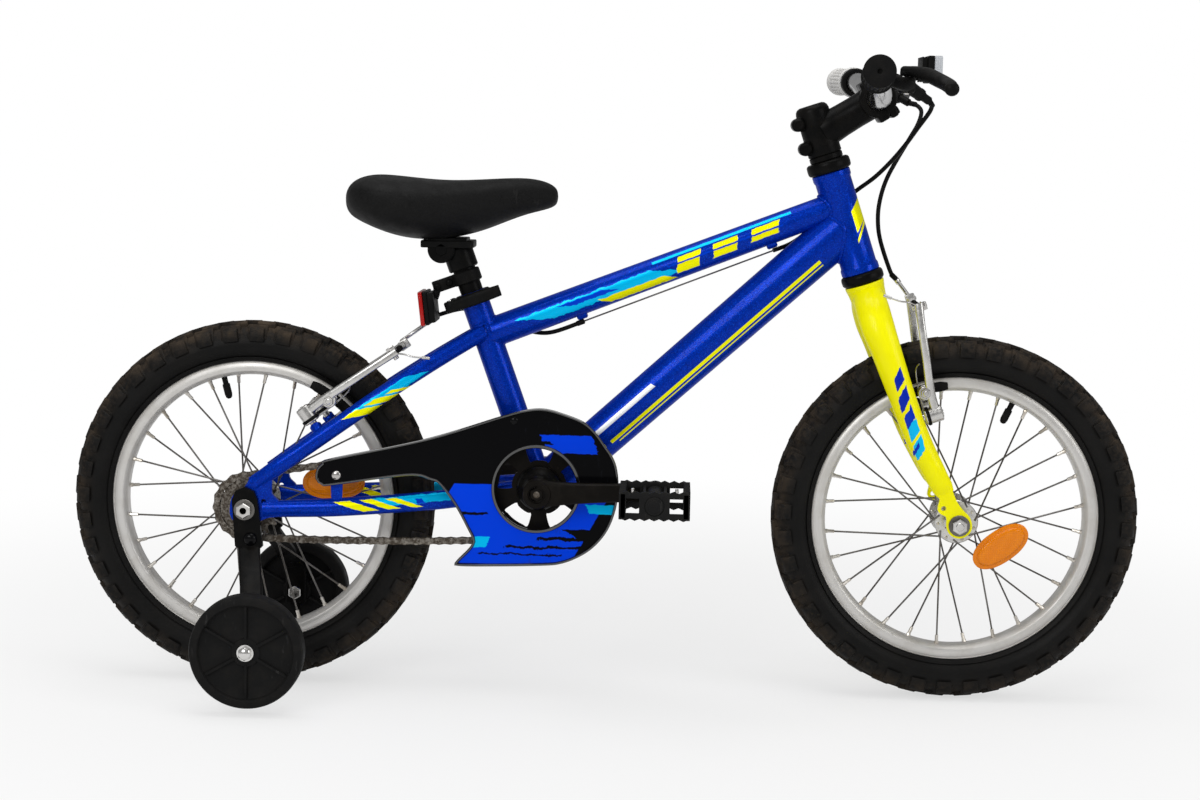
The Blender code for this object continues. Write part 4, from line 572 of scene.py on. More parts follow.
def build_flakes(tree, given):
    """Tiny metal flakes in paint, each with its own brightness and tilt."""
    at = place_in(tree, given["Scale"])
    cells = node(tree, "ShaderNodeTexVoronoi", {"Vector": at, "Scale": 1.0, "Randomness": 1.0})
    shade = node(tree, "ShaderNodeSeparateColor", {0: cells.outputs["Color"]}).outputs
    return {"Shade": shade[0], "Tilt": shade[1]}


def build_brushed(tree, given):
    """Fine turning marks round a wheel's axle, by distance from its centre."""
    at = tree.nodes.new("ShaderNodeTexCoord").outputs["Object"]
    away = node(tree, "ShaderNodeVectorMath", {0: at, 1: given["Centre"]}, operation="SUBTRACT").outputs[0]
    parts = node(tree, "ShaderNodeSeparateXYZ", {0: away}).outputs
    flat = node(tree, "ShaderNodeCombineXYZ", {0: parts[0], 2: parts[2]}).outputs[0]
    radius = node(tree, "ShaderNodeVectorMath", {0: flat}, operation="LENGTH").outputs["Value"]
    lines = node(
        tree, "ShaderNodeTexNoise",
        {"W": calc(tree, "MULTIPLY", radius, given["Scale"]), "Scale": 1.0, "Detail": 2.0},
        noise_dimensions="1D",
    )
    return {"Lines": lines.outputs[0], "Radius": radius}


def build_streak(tree, given):
    """A painted streak: a slanted patch in along and across, with torn ends and edges."""
    rough = node(
        tree, "ShaderNodeTexNoise",
        {"Vector": place_in(tree, 1.0), "Scale": given["Tear Scale"], "Detail": 4.0, "Roughness": 0.65},
    ).outputs[0]
    shake = calc(tree, "MULTIPLY", calc(tree, "SUBTRACT", rough, 0.5), given["Tear"])
    lean = calc(tree, "MULTIPLY", given["Across"], given["Slant"])
    along = calc(tree, "ADD", calc(tree, "ADD", given["Along"], lean), calc(tree, "MULTIPLY", shake, 3.0))
    across = calc(tree, "ADD", given["Across"], shake)
    edges = []
    soft = 0.0004
    for value, low, high in ((along, "From", "To"), (across, "Low", "High")):
        edges.append(ranged(tree, calc(tree, "SUBTRACT", value, given[low]), -soft, soft))
        edges.append(ranged(tree, calc(tree, "SUBTRACT", given[high], value), -soft, soft))
    mask = edges[0]
    for edge in edges[1:]:
        mask = calc(tree, "MULTIPLY", mask, edge)
    return {"Mask": mask}


GRAIN = effect("moulded grain", [("Scale", FLOAT, 800.0)], [("Fine", FLOAT), ("Broad", FLOAT)], build_grain)
SCUFFS = effect(
    "rub marks", [("Scale", FLOAT, 90.0), ("Amount", FLOAT, 0.5)], [("Mask", FLOAT)], build_scuffs,
)
DUST = effect("road dust", [("Scale", FLOAT, 60.0), ("Amount", FLOAT, 0.5)], [("Mask", FLOAT)], build_dust)
FLAKES = effect(
    "metal flakes", [("Scale", FLOAT, 1400.0)], [("Shade", FLOAT), ("Tilt", FLOAT)], build_flakes,
)
BRUSHED = effect(
    "turning marks",
    [("Centre", VECTOR, (0.0, 0.0, 0.0)), ("Scale", FLOAT, 2500.0)],
    [("Lines", FLOAT), ("Radius", FLOAT)],
    build_brushed,
)
STREAK = effect(
    "painted streak",
    [
        ("Along", FLOAT, 0.0), ("Across", FLOAT, 0.0), ("From", FLOAT, 0.0), ("To", FLOAT, 0.1),
        ("Low", FLOAT, -0.01),
        ("High", FLOAT, 0.01), ("Slant", FLOAT, 0.0), ("Tear", FLOAT, 0.0), ("Tear Scale", FLOAT, 120.0),
    ],
    [("Mask", FLOAT)],
    build_streak,
)
LOOKS = {}


def finish(name, rough=0.5, metallic=0.0, coat=0.0, specular=0.5, **sockets):
    """A new material with its constant values on its own shader; returns its tree and shader."""
    made = bpy.data.materials.new(name)
    made.use_nodes = True
    tree = made.node_tree
    shader = tree.nodes["Principled BSDF"]
    shader.inputs["Roughness"].default_value = rough
    shader.inputs["Metallic"].default_value = metallic
    shader.inputs["Coat Weight"].default_value = coat
    shader.inputs["Coat Roughness"].default_value = 0.04
    shader.inputs["Specular IOR Level"].default_value = specular
    for key, value in sockets.items():
        shader.inputs[key.replace("_", " ").title()].default_value = value
    LOOKS[name] = made
    return tree, shader


def relief(tree, shader, height, distance, strength=1.0):
    bump = node(tree, "ShaderNodeBump", {"Height": height, "Distance": distance * MM, "Strength": strength})
    tree.links.new(bump.outputs[0], shader.inputs["Normal"])


def colour(tree, shader, socket):
    tree.links.new(socket, shader.inputs["Base Color"])


def roughness(tree, shader, socket):
    tree.links.new(socket, shader.inputs["Roughness"])


def rub_colour(tree, base, light, dust_colour=None, dust=0.0, scuff=0.5):
    """A plain colour with lighter rub marks and, where asked, dust over it."""
    marks = use(tree, SCUFFS, {"Scale": 90.0, "Amount": scuff})["Mask"]
    mixed = blended(tree, marks, base, light)
    if dust_colour:
        mixed = blended(tree, use(tree, DUST, {"Scale": 70.0, "Amount": dust})["Mask"], mixed, dust_colour)
    return mixed, marks


def plain_finishes():
    """The finishes without printed shapes."""
    dull = (
        ("black plastic", (0.006, 0.006, 0.006), (0.028, 0.028, 0.028), 0.40, 900.0, 0.06, 0.25),
        ("satin black steel", (0.004, 0.004, 0.004), (0.022, 0.022, 0.022), 0.28, 500.0, 0.03, 0.25),
        ("worn black steel", (0.007, 0.006, 0.005), (0.040, 0.032, 0.026), 0.38, 240.0, 0.08, 0.6),
        ("black rubber", (0.008, 0.008, 0.008), (0.026, 0.025, 0.024), 0.66, 1100.0, 0.10, 0.3),
        ("wheel plastic", (0.010, 0.010, 0.010), (0.042, 0.041, 0.040), 0.52, 700.0, 0.10, 0.5),
        ("pedal plastic", (0.012, 0.012, 0.012), (0.050, 0.048, 0.046), 0.52, 600.0, 0.14, 0.5),
        ("cable housing", (0.007, 0.007, 0.007), (0.024, 0.024, 0.024), 0.34, 500.0, 0.05, 0.2),
    )
    for name, base, light, rough, grain, depth, scuff in dull:
        tree, shader = finish(name, rough, specular=0.05)
        mixed, marks = rub_colour(tree, base, light, (0.07, 0.058, 0.045), 0.07, scuff)
        colour(tree, shader, mixed)
        grains = use(tree, GRAIN, {"Scale": grain})
        roughness(tree, shader, ranged(tree, grains["Broad"], 0.3, 0.7, rough - 0.06, rough + 0.10))
        relief(tree, shader, grains["Fine"], depth)

    metals = (
        ("bright alloy", (0.72, 0.71, 0.69), (0.58, 0.57, 0.55), 0.26, 220.0, 0.01),
        ("polished steel", (0.74, 0.73, 0.71), (0.50, 0.48, 0.46), 0.18, 160.0, 0.01),
        ("spoke steel", (0.20, 0.19, 0.18), (0.12, 0.11, 0.10), 0.34, 140.0, 0.01),
        ("nipple brass", (0.70, 0.67, 0.62), (0.50, 0.45, 0.38), 0.28, 300.0, 0.01),
        ("bar chrome", (0.72, 0.72, 0.72), (0.55, 0.55, 0.55), 0.16, 120.0, 0.01),
    )
    for name, base, dark, rough, grain, depth in metals:
        tree, shader = finish(name, rough, metallic=1.0)
        grains = use(tree, GRAIN, {"Scale": grain})
        marks = use(tree, SCUFFS, {"Scale": 140.0, "Amount": 0.5})["Mask"]
        shade = blended(tree, ranged(tree, grains["Broad"], 0.35, 0.65), dark, base)
        colour(tree, shader, blended(tree, marks, shade, dark))
        roughness(tree, shader, ranged(tree, grains["Fine"], 0.3, 0.7, rough - 0.05, rough + 0.12))
        relief(tree, shader, grains["Fine"], depth)

    tree, shader = finish("oiled chain", 0.42, metallic=0.85)
    grains = use(tree, GRAIN, {"Scale": 320.0})
    worn = blended(
        tree, ranged(tree, grains["Fine"], 0.4, 0.68), (0.075, 0.060, 0.046), (0.30, 0.275, 0.24),
    )
    dirt = use(tree, DUST, {"Scale": 160.0, "Amount": 0.6})["Mask"]
    colour(tree, shader, blended(tree, dirt, worn, (0.055, 0.043, 0.032)))
    roughness(tree, shader, ranged(tree, grains["Fine"], 0.3, 0.7, 0.62, 0.34))
    relief(tree, shader, grains["Fine"], 0.08)

    tree, shader = finish("gloss black", 0.14, specular=0.12)
    mixed, marks = rub_colour(tree, (0.0025, 0.0025, 0.003), (0.018, 0.018, 0.018), scuff=0.25)
    colour(tree, shader, mixed)
    grains = use(tree, GRAIN, {"Scale": 60.0})
    roughness(tree, shader, ranged(tree, grains["Broad"], 0.3, 0.7, 0.09, 0.20))

    tree, shader = finish("guard rim", 0.16, coat=1.0, specular=0.8)
    colour(tree, shader, rub_colour(tree, (0.004, 0.004, 0.004), (0.05, 0.05, 0.05), scuff=0.4)[0])

    tree, shader = finish("pale grip", 0.62)
    grains = use(tree, GRAIN, {"Scale": 900.0})
    colour(tree, shader, blended(tree, grains["Broad"], (0.62, 0.61, 0.59), (0.74, 0.73, 0.71)))
    relief(tree, shader, grains["Fine"], 0.08)

    tree, shader = finish("saddle cover", 0.46, specular=0.12)
    pores = node(
        tree, "ShaderNodeTexVoronoi", {"Vector": place_in(tree, 620.0), "Scale": 1.0},
        feature="DISTANCE_TO_EDGE",
    )
    grains = use(tree, GRAIN, {"Scale": 420.0})
    creases_and_shade = ranged(tree, pores.outputs["Distance"], 0.0, 0.28)
    height = calc(tree, "ADD", creases_and_shade, calc(tree, "MULTIPLY", grains["Fine"], 0.6))
    # Painted shade: the creases between the grain's cells are painted darker; the same mask sets the relief.
    shade = blended(tree, creases_and_shade, (0.003, 0.003, 0.003), (0.009, 0.009, 0.009))
    marks = use(tree, SCUFFS, {"Scale": 60.0, "Amount": 0.4})["Mask"]
    colour(tree, shader, blended(tree, marks, shade, (0.026, 0.025, 0.024)))
    roughness(tree, shader, ranged(tree, grains["Broad"], 0.3, 0.7, 0.44, 0.60))
    relief(tree, shader, height, 0.12)


def tyre_finish(name, centre):
    """Black rubber with fine rings on the sidewall and brown dust in the tread."""
    tree, shader = finish(name, 0.62, specular=0.10)
    rings = use(tree, BRUSHED, {"Centre": tuple(centre * MM), "Scale": 900.0})
    grains = use(tree, GRAIN, {"Scale": 260.0})
    cloud = use(tree, DUST, {"Scale": 38.0, "Amount": 1.0})["Mask"]
    fine = use(tree, DUST, {"Scale": 210.0, "Amount": 1.0})["Mask"]
    tread = ranged(tree, rings["Radius"], (WHEEL_RADIUS - 27.0) * MM, (WHEEL_RADIUS - 4.0) * MM, 0.04, 0.95)
    dusty = calc(
        tree, "MULTIPLY", calc(
            tree, "MAXIMUM", cloud, calc(tree, "MULTIPLY", fine, 0.7),
        ), tread, clamp=True,
    )
    base = blended(tree, grains["Broad"], (0.003, 0.003, 0.003), (0.010, 0.0098, 0.0095))
    colour(tree, shader, blended(tree, dusty, base, (0.062, 0.046, 0.032)))
    roughness(tree, shader, ranged(tree, dusty, 0.0, 0.6, 0.46, 0.86))
    height = calc(tree, "ADD", calc(tree, "MULTIPLY", rings["Lines"], 0.5), grains["Fine"])
    relief(tree, shader, height, 0.22)


def rim_finish(name, centre):
    """Satin anodised alloy with turning marks and a little brake dust."""
    tree, shader = finish(name, 0.42, metallic=0.75)
    rings = use(tree, BRUSHED, {"Centre": tuple(centre * MM), "Scale": 2600.0})
    grains = use(tree, GRAIN, {"Scale": 120.0})
    shade = blended(tree, rings["Lines"], (0.60, 0.585, 0.56), (0.78, 0.765, 0.74))
    dusty = use(tree, DUST, {"Scale": 46.0, "Amount": 0.4})["Mask"]
    colour(tree, shader, blended(tree, dusty, shade, (0.46, 0.43, 0.38)))
    roughness(tree, shader, ranged(tree, grains["Broad"], 0.3, 0.7, 0.38, 0.55))
    relief(tree, shader, rings["Lines"], 0.03)


def lens_finish(name, pale, deep):
    """A prismatic reflector: small pyramids under a clear face, with their glints painted into the colour as
    pale and deep cells.
    """
    tree, shader = finish(name, 0.12, coat=0.25, specular=0.2)
    at = place_in(tree, 420.0)
    prisms = node(
        tree, "ShaderNodeTexVoronoi", {
            "Vector": at, "Scale": 1.0, "Randomness": 0.08
        }, distance="MANHATTAN",
    )
    # Painted glints: each prism cell is painted pale at its middle and deeper towards its edges.
    prism_glints = ranged(tree, prisms.outputs["Distance"], 0.1, 0.75)
    broad = use(tree, GRAIN, {"Scale": 160.0})["Broad"]
    shade = blended(
        tree, calc(tree, "MULTIPLY", calc(tree, "ADD", prism_glints, broad), 0.6, clamp=True), pale, deep,
    )
    colour(tree, shader, shade)
    relief(tree, shader, prisms.outputs["Distance"], 0.35, 0.6)


def along_line(tree, start, heading, up):
    """How far a point lies along a line and above it, seen from the side."""
    at = tree.nodes.new("ShaderNodeTexCoord").outputs["Object"]
    away = node(
        tree, "ShaderNodeVectorMath", {0: at, 1: tuple(start * MM)}, operation="SUBTRACT",
    ).outputs[0]
    spots = []
    for way in (heading, up):
        spots.append(
            node(
                tree, "ShaderNodeVectorMath", {0: away, 1: tuple(way)}, operation="DOT_PRODUCT",
            ).outputs["Value"]
        )
    return spots


def streaked(tree, base, spots, streaks):
    """Paints streaks over a base colour, each (colour, from, to, low, high, slant, tear), in millimetres."""
    for tint, begin, end, low, high, slant, tear in streaks:
        values = {
            "Along": spots[0], "Across": spots[1], "From": begin * MM, "To": end * MM, "Low": low * MM,
            "High": high * MM,
            "Slant": slant, "Tear": tear * MM, "Tear Scale": 110.0,
        }
        base = blended(tree, use(tree, STREAK, values)["Mask"], base, tint)
    return base


ROYAL_BLUE = (0.0, 0.050, 0.66)
DEEP_BLUE = (0.0, 0.014, 0.21)
CYAN = (0.0, 0.52, 0.92)
BRIGHT_BLUE = (0.0, 0.05, 0.76)
ACID_YELLOW = (1.0, 0.98, 0.0)
FORK_YELLOW = (1.0, 0.95, 0.0)
# White for the highlight stripe painted along the down tube.
PAINTED_HIGHLIGHT_WHITE = (0.80, 0.82, 0.84)
GUARD_BLACK = (0.0025, 0.0025, 0.003)


def paint_finish(name, start, end, streaks=()):
    """Royal blue paint with metal flakes, clear coat, and streaks along a tube: printed ones, and on the
    down tube a painted highlight stripe.
    """
    tree, shader = finish(name, 0.32, metallic=0.40, coat=0.10, specular=0.02)
    flakes = use(tree, FLAKES, {"Scale": 1500.0})
    broad = use(tree, GRAIN, {"Scale": 300.0})["Broad"]
    mixed = blended(tree, calc(tree, "MULTIPLY", flakes["Shade"], 0.75), DEEP_BLUE, ROYAL_BLUE)
    mixed = blended(tree, ranged(tree, flakes["Shade"], 0.93, 0.98, 0.0, 0.5), mixed, (0.01, 0.12, 0.75))
    if streaks:
        heading = (end - start).normalized()
        up = Vector((-heading.z, 0.0, heading.x))
        mixed = streaked(tree, mixed, along_line(tree, start, heading, up), streaks)
    colour(tree, shader, mixed)
    roughness(tree, shader, ranged(tree, broad, 0.3, 0.7, 0.26, 0.38))
    relief(tree, shader, flakes["Tilt"], 0.01, 0.4)


def fork_finish():
    """Fluorescent yellow with torn blue and cyan patches on the legs."""
    tree, shader = finish("fluorescent yellow paint", 0.28, coat=0.10, specular=0.10)
    start = steered(-60.0)
    spots = along_line(tree, start, -STEER_UP, STEER_AHEAD)
    streaks = (
        ((0.0, 0.02, 0.42), 48.0, 62.0, -3.0, 8.0, 1.1, 3.0),
        ((0.0, 0.02, 0.42), 68.0, 84.0, -5.0, 8.0, 1.1, 3.0),
        ((0.0, 0.03, 0.50), 90.0, 106.0, -4.0, 7.0, 1.2, 4.0),
        (CYAN, 104.0, 140.0, -4.0, 8.0, 0.8, 3.0),
        (FORK_YELLOW, 119.0, 123.0, -12.0, 12.0, 0.9, 2.0),
        ((0.0, 0.03, 0.50), 126.0, 132.0, -6.0, 3.0, 1.2, 4.0),
    )
    broad = use(tree, GRAIN, {"Scale": 240.0})
    base = blended(tree, ranged(tree, broad["Broad"], 0.35, 0.65), (0.96, 0.90, 0.0), FORK_YELLOW)
    colour(tree, shader, streaked(tree, base, spots, streaks))
    roughness(tree, shader, ranged(tree, broad["Broad"], 0.3, 0.7, 0.22, 0.34))
    relief(tree, shader, broad["Fine"], 0.015)


def guard_finish():
    """Gloss black with a print of blue and cyan wedges round the crank."""
    tree, shader = finish("printed guard", 0.16, specular=0.04)
    spots = along_line(tree, GUARD_OPENING, X, Z)
    streaks = (
        (BRIGHT_BLUE, -92.0, 84.0, -84.0, 4.0, -0.55, 1.0),
        (GUARD_BLACK, -60.0, 90.0, -54.0, -44.0, 2.0, 5.0),
        (BRIGHT_BLUE, 30.0, 86.0, 40.0, 60.0, 0.45, 4.0),
        (GUARD_BLACK, -120.0, 100.0, 22.0, 38.0, 0.0, 1.5),
        (GUARD_BLACK, 20.0, 92.0, 49.0, 53.0, 1.5, 6.0),
        (CYAN, -78.0, -22.0, -66.0, -54.0, -0.5, 4.0),
        (CYAN, 44.0, 90.0, -26.0, -16.0, 0.6, 4.0),
        (GUARD_BLACK, 36.0, 92.0, 2.0, 12.0, -1.5, 2.5),
        (GUARD_BLACK, -34.0, 62.0, -66.5, -63.5, 0.0, 9.0),
        (GUARD_BLACK, -62.0, 30.0, -74.0, -72.0, 0.0, 9.0),
        (GUARD_BLACK, 4.0, 80.0, -56.5, -52.5, 0.0, 9.0),
        (GUARD_BLACK, -92.0, -54.0, -30.0, -27.0, 0.0, 7.0),
    )
    base = streaked(tree, GUARD_BLACK, spots, streaks)
    marks = use(tree, SCUFFS, {"Scale": 70.0, "Amount": 0.25})["Mask"]
    colour(tree, shader, blended(tree, marks, base, (0.02, 0.022, 0.03)))
    broad = use(tree, GRAIN, {"Scale": 60.0})["Broad"]
    roughness(tree, shader, ranged(tree, broad, 0.3, 0.7, 0.08, 0.18))


def make_finishes():
    plain_finishes()
    tyre_finish("front tyre rubber", FRONT_AXLE)
    tyre_finish("rear tyre rubber", REAR_AXLE)
    rim_finish("front rim alloy", FRONT_AXLE)
    rim_finish("rear rim alloy", REAR_AXLE)
    lens_finish("amber lens", (0.95, 0.29, 0.0), (0.80, 0.21, 0.0))
    lens_finish("deep amber lens", (0.48, 0.14, 0.0), (0.32, 0.09, 0.0))
    lens_finish("red lens", (0.75, 0.03, 0.02), (0.38, 0.0, 0.0))
    lens_finish("clear lens", (0.80, 0.82, 0.84), (0.45, 0.47, 0.50))
    top_start, top_end = TOP_TUBE_ENDS
    paint_finish(
        "top tube paint", top_start, top_end,
        (
            (CYAN, 52.0, 210.0, -8.0, 5.0, 3.2, 7.0),
            (ROYAL_BLUE, 96.0, 150.0, -2.0, 3.0, 4.0, 6.0),
            (ACID_YELLOW, 118.0, 196.0, -13.0, -6.0, 2.0, 4.0),
            (CYAN, 200.0, 362.0, 9.5, 12.0, 0.0, 1.0),
            (ACID_YELLOW, 226.0, 252.0, -9.0, 8.0, -0.4, 2.6),
            (ACID_YELLOW, 268.0, 296.0, -7.0, 8.0, -0.4, 2.6),
            (ACID_YELLOW, 312.0, 344.0, -5.0, 8.0, -0.4, 2.6),
            (ROYAL_BLUE, 214.0, 350.0, 0.5, 2.5, 0.0, 3.0),
        ),
    )
    down_start, down_end = DOWN_TUBE_ENDS
    paint_finish(
        "down tube paint", down_start, down_end,
        (
            (ACID_YELLOW, 96.0, 400.0, -12.0, -8.2, 0.0, 0.0),
            (ACID_YELLOW, 104.0, 400.0, -15.6, -14.4, 0.0, 0.0),
            # A painted highlight: a white stripe along the upper side of the down tube.
            (PAINTED_HIGHLIGHT_WHITE, 62.0, 176.0, 5.0, 10.4, 0.4, 0.0),
        ),
    )
    paint_finish("seat tube paint", SEAT_TUBE_FOOT, on_seat_tube(SEAT_TUBE_TOP))
    paint_finish(
        "head tube paint", HEAD_FOOT, steered(HEAD_TUBE_TO),
        (
            (ACID_YELLOW, 30.0, 34.0, -30.0, -6.0, 1.4, 0.6),
            (ACID_YELLOW, 42.0, 66.0, -30.0, -8.0, 1.0, 0.8),
        ),
    )
    paint_finish(
        "seat stay paint", Vector((-383.0, 0.0, 231.0)), Vector((-134.0, 0.0, 401.0)),
        (
            (CYAN, 152.0, 222.0, -3.0, 7.0, 2.4, 4.0),
            (ACID_YELLOW, 136.0, 156.0, -7.0, 6.0, 2.4, 3.0),
            (ACID_YELLOW, 162.0, 178.0, -7.0, 5.0, 2.4, 3.0),
            (ACID_YELLOW, 184.0, 192.0, -7.0, 3.0, 2.4, 3.0),
        ),
    )
    paint_finish(
        "chain stay paint", Vector((-286.5, 0.0, 207.0)), Vector((-128.0, 0.0, 222.0)),
        (
            (CYAN, 40.0, 128.0, -2.0, 7.0, 1.4, 5.0),
            (ACID_YELLOW, 10.0, 28.0, -6.0, 7.0, 2.4, 3.0),
            (ACID_YELLOW, 38.0, 52.0, -6.0, 7.0, 2.4, 3.0),
            (ACID_YELLOW, 64.0, 76.0, -6.0, 6.0, 2.4, 3.0),
            (ROYAL_BLUE, 84.0, 92.0, -2.0, 3.0, 1.0, 4.0),
        ),
    )
    paint_finish("blue paint", REAR_AXLE, CRANK_CENTRE)
    fork_finish()
    guard_finish()


# Repeats


def tree_socket(tree, label, kind, default=None):
    socket = tree.interface.new_socket(label, in_out="INPUT", socket_type=kind)
    if default is not None:
        socket.default_value = default
    return socket


def turned_copies_tree():
    """Copies of a shape set evenly round an axle that runs across the bike."""
    tree = bpy.data.node_groups.new("copies round an axle", "GeometryNodeTree")
    tree_socket(tree, "Geometry", "NodeSocketGeometry")
    tree_socket(tree, "Count", "NodeSocketInt", 12)
    tree_socket(tree, "First Turn", "NodeSocketFloat", 0.0)
    tree_socket(tree, "Axle", "NodeSocketVector", (0.0, 0.0, 0.0))
    tree_socket(tree, "Finish", "NodeSocketMaterial")
    tree.interface.new_socket("Geometry", in_out="OUTPUT", socket_type="NodeSocketGeometry")
    given = tree.nodes.new("NodeGroupInput").outputs
    index = tree.nodes.new("GeometryNodeInputIndex").outputs[0]
    step = calc(tree, "DIVIDE", 2 * math.pi, given["Count"])
    angle = calc(tree, "ADD", calc(tree, "MULTIPLY", index, step), given["First Turn"])
    turn = node(tree, "ShaderNodeCombineXYZ", {1: angle}).outputs[0]
    spots = node(
        tree, "GeometryNodePoints", {"Count": given["Count"], "Position": given["Axle"]},
    ).outputs[0]
    whole = node(tree, "GeometryNodeGeometryToInstance", {0: given["Geometry"]}).outputs[0]
    copies = node(
        tree, "GeometryNodeInstanceOnPoints", {"Points": spots, "Instance": whole, "Rotation": turn},
    )
    real = node(tree, "GeometryNodeRealizeInstances", {0: copies.outputs[0]}).outputs[0]
    dressed = node(
        tree, "GeometryNodeSetMaterial", {"Geometry": real, "Material": given["Finish"]},
    ).outputs[0]
    tree.links.new(dressed, tree.nodes.new("NodeGroupOutput").inputs[0])
    return tree


def path_copies_tree():
    """Two shapes laid in turn along a closed path, each turned to follow it."""
    tree = bpy.data.node_groups.new("links along a path", "GeometryNodeTree")
    tree_socket(tree, "Geometry", "NodeSocketGeometry")
    tree_socket(tree, "First Link", "NodeSocketObject")
    tree_socket(tree, "Second Link", "NodeSocketObject")
    tree_socket(tree, "Count", "NodeSocketInt", 80)
    tree_socket(tree, "Finish", "NodeSocketMaterial")
    tree.interface.new_socket("Geometry", in_out="OUTPUT", socket_type="NodeSocketGeometry")
    given = tree.nodes.new("NodeGroupInput").outputs
    even = node(
        tree, "GeometryNodeCurveToPoints", {"Curve": given["Geometry"], "Count": given["Count"]},
        mode="COUNT",
    )
    tangent = even.outputs["Tangent"]
    parts = node(tree, "ShaderNodeSeparateXYZ", {0: tangent}).outputs
    pitch = calc(tree, "MULTIPLY", calc(tree, "ARCTAN2", parts[2], parts[0]), -1.0)
    turn = node(tree, "ShaderNodeCombineXYZ", {1: pitch}).outputs[0]
    index = tree.nodes.new("GeometryNodeInputIndex").outputs[0]
    odd = calc(tree, "MODULO", index, 2.0)
    joined = tree.nodes.new("GeometryNodeJoinGeometry")
    for label, chosen in (
        ("First Link", calc(tree, "LESS_THAN", odd, 0.5)),
        ("Second Link", calc(tree, "GREATER_THAN", odd, 0.5)),
    ):
        link = node(tree, "GeometryNodeObjectInfo", {"Object": given[label]}).outputs["Geometry"]
        values = {"Points": even.outputs["Points"], "Selection": chosen, "Instance": link, "Rotation": turn}
        copies = node(tree, "GeometryNodeInstanceOnPoints", values)
        tree.links.new(copies.outputs[0], joined.inputs[0])
    real = node(tree, "GeometryNodeRealizeInstances", {0: joined.outputs[0]}).outputs[0]
    dressed = node(
        tree, "GeometryNodeSetMaterial", {"Geometry": real, "Material": given["Finish"]},
    ).outputs[0]
    tree.links.new(dressed, tree.nodes.new("NodeGroupOutput").inputs[0])
    return tree


def worked(made, tree, values):
    """Runs a tree on an object with its named inputs, and keeps the plain mesh."""
    step = made.modifiers.new("repeats", "NODES")
    step.node_group = tree
    for item in tree.interface.items_tree:
        if item.item_type == "SOCKET" and item.in_out == "INPUT" and item.name in values:
            step[item.identifier] = values[item.name]
    graph = bpy.context.evaluated_depsgraph_get()
    mesh = bpy.data.meshes.new_from_object(made.evaluated_get(graph), depsgraph=graph)
    made.modifiers.clear()
    name = made.name
    bpy.data.objects.remove(made, do_unlink=True)
    fresh = bpy.data.objects.new(name, mesh)
    mesh.name = name
    bpy.context.scene.collection.objects.link(fresh)
    mesh.polygons.foreach_set("use_smooth", [True] * len(mesh.polygons))
    mesh.set_sharp_from_angle(angle=math.radians(35.0))
    return fresh


def copies_round(piece, count, axle, look, turn=0.0, bevel=0.0):
    """A shape modelled at the origin, repeated round an axle."""
    made = piece.made(bevel=bevel)
    values = {"Count": count, "First Turn": turn, "Axle": tuple(axle * MM), "Finish": LOOKS[look]}
    return worked(made, TURNED_COPIES, values)


TURNED_COPIES = turned_copies_tree()
PATH_COPIES = path_copies_tree()


# Wheels


def tyre_radius(y, swell=0.0):
    """The casing's outside at a distance across, between its two sides."""
    part = min(1.0, abs(y) / (TYRE_HALF_WIDTH - 3.6))
    return WHEEL_RADIUS - 5.0 + swell - 20.0 * (1.0 - math.sqrt(max(0.0, 1.0 - part * part)))


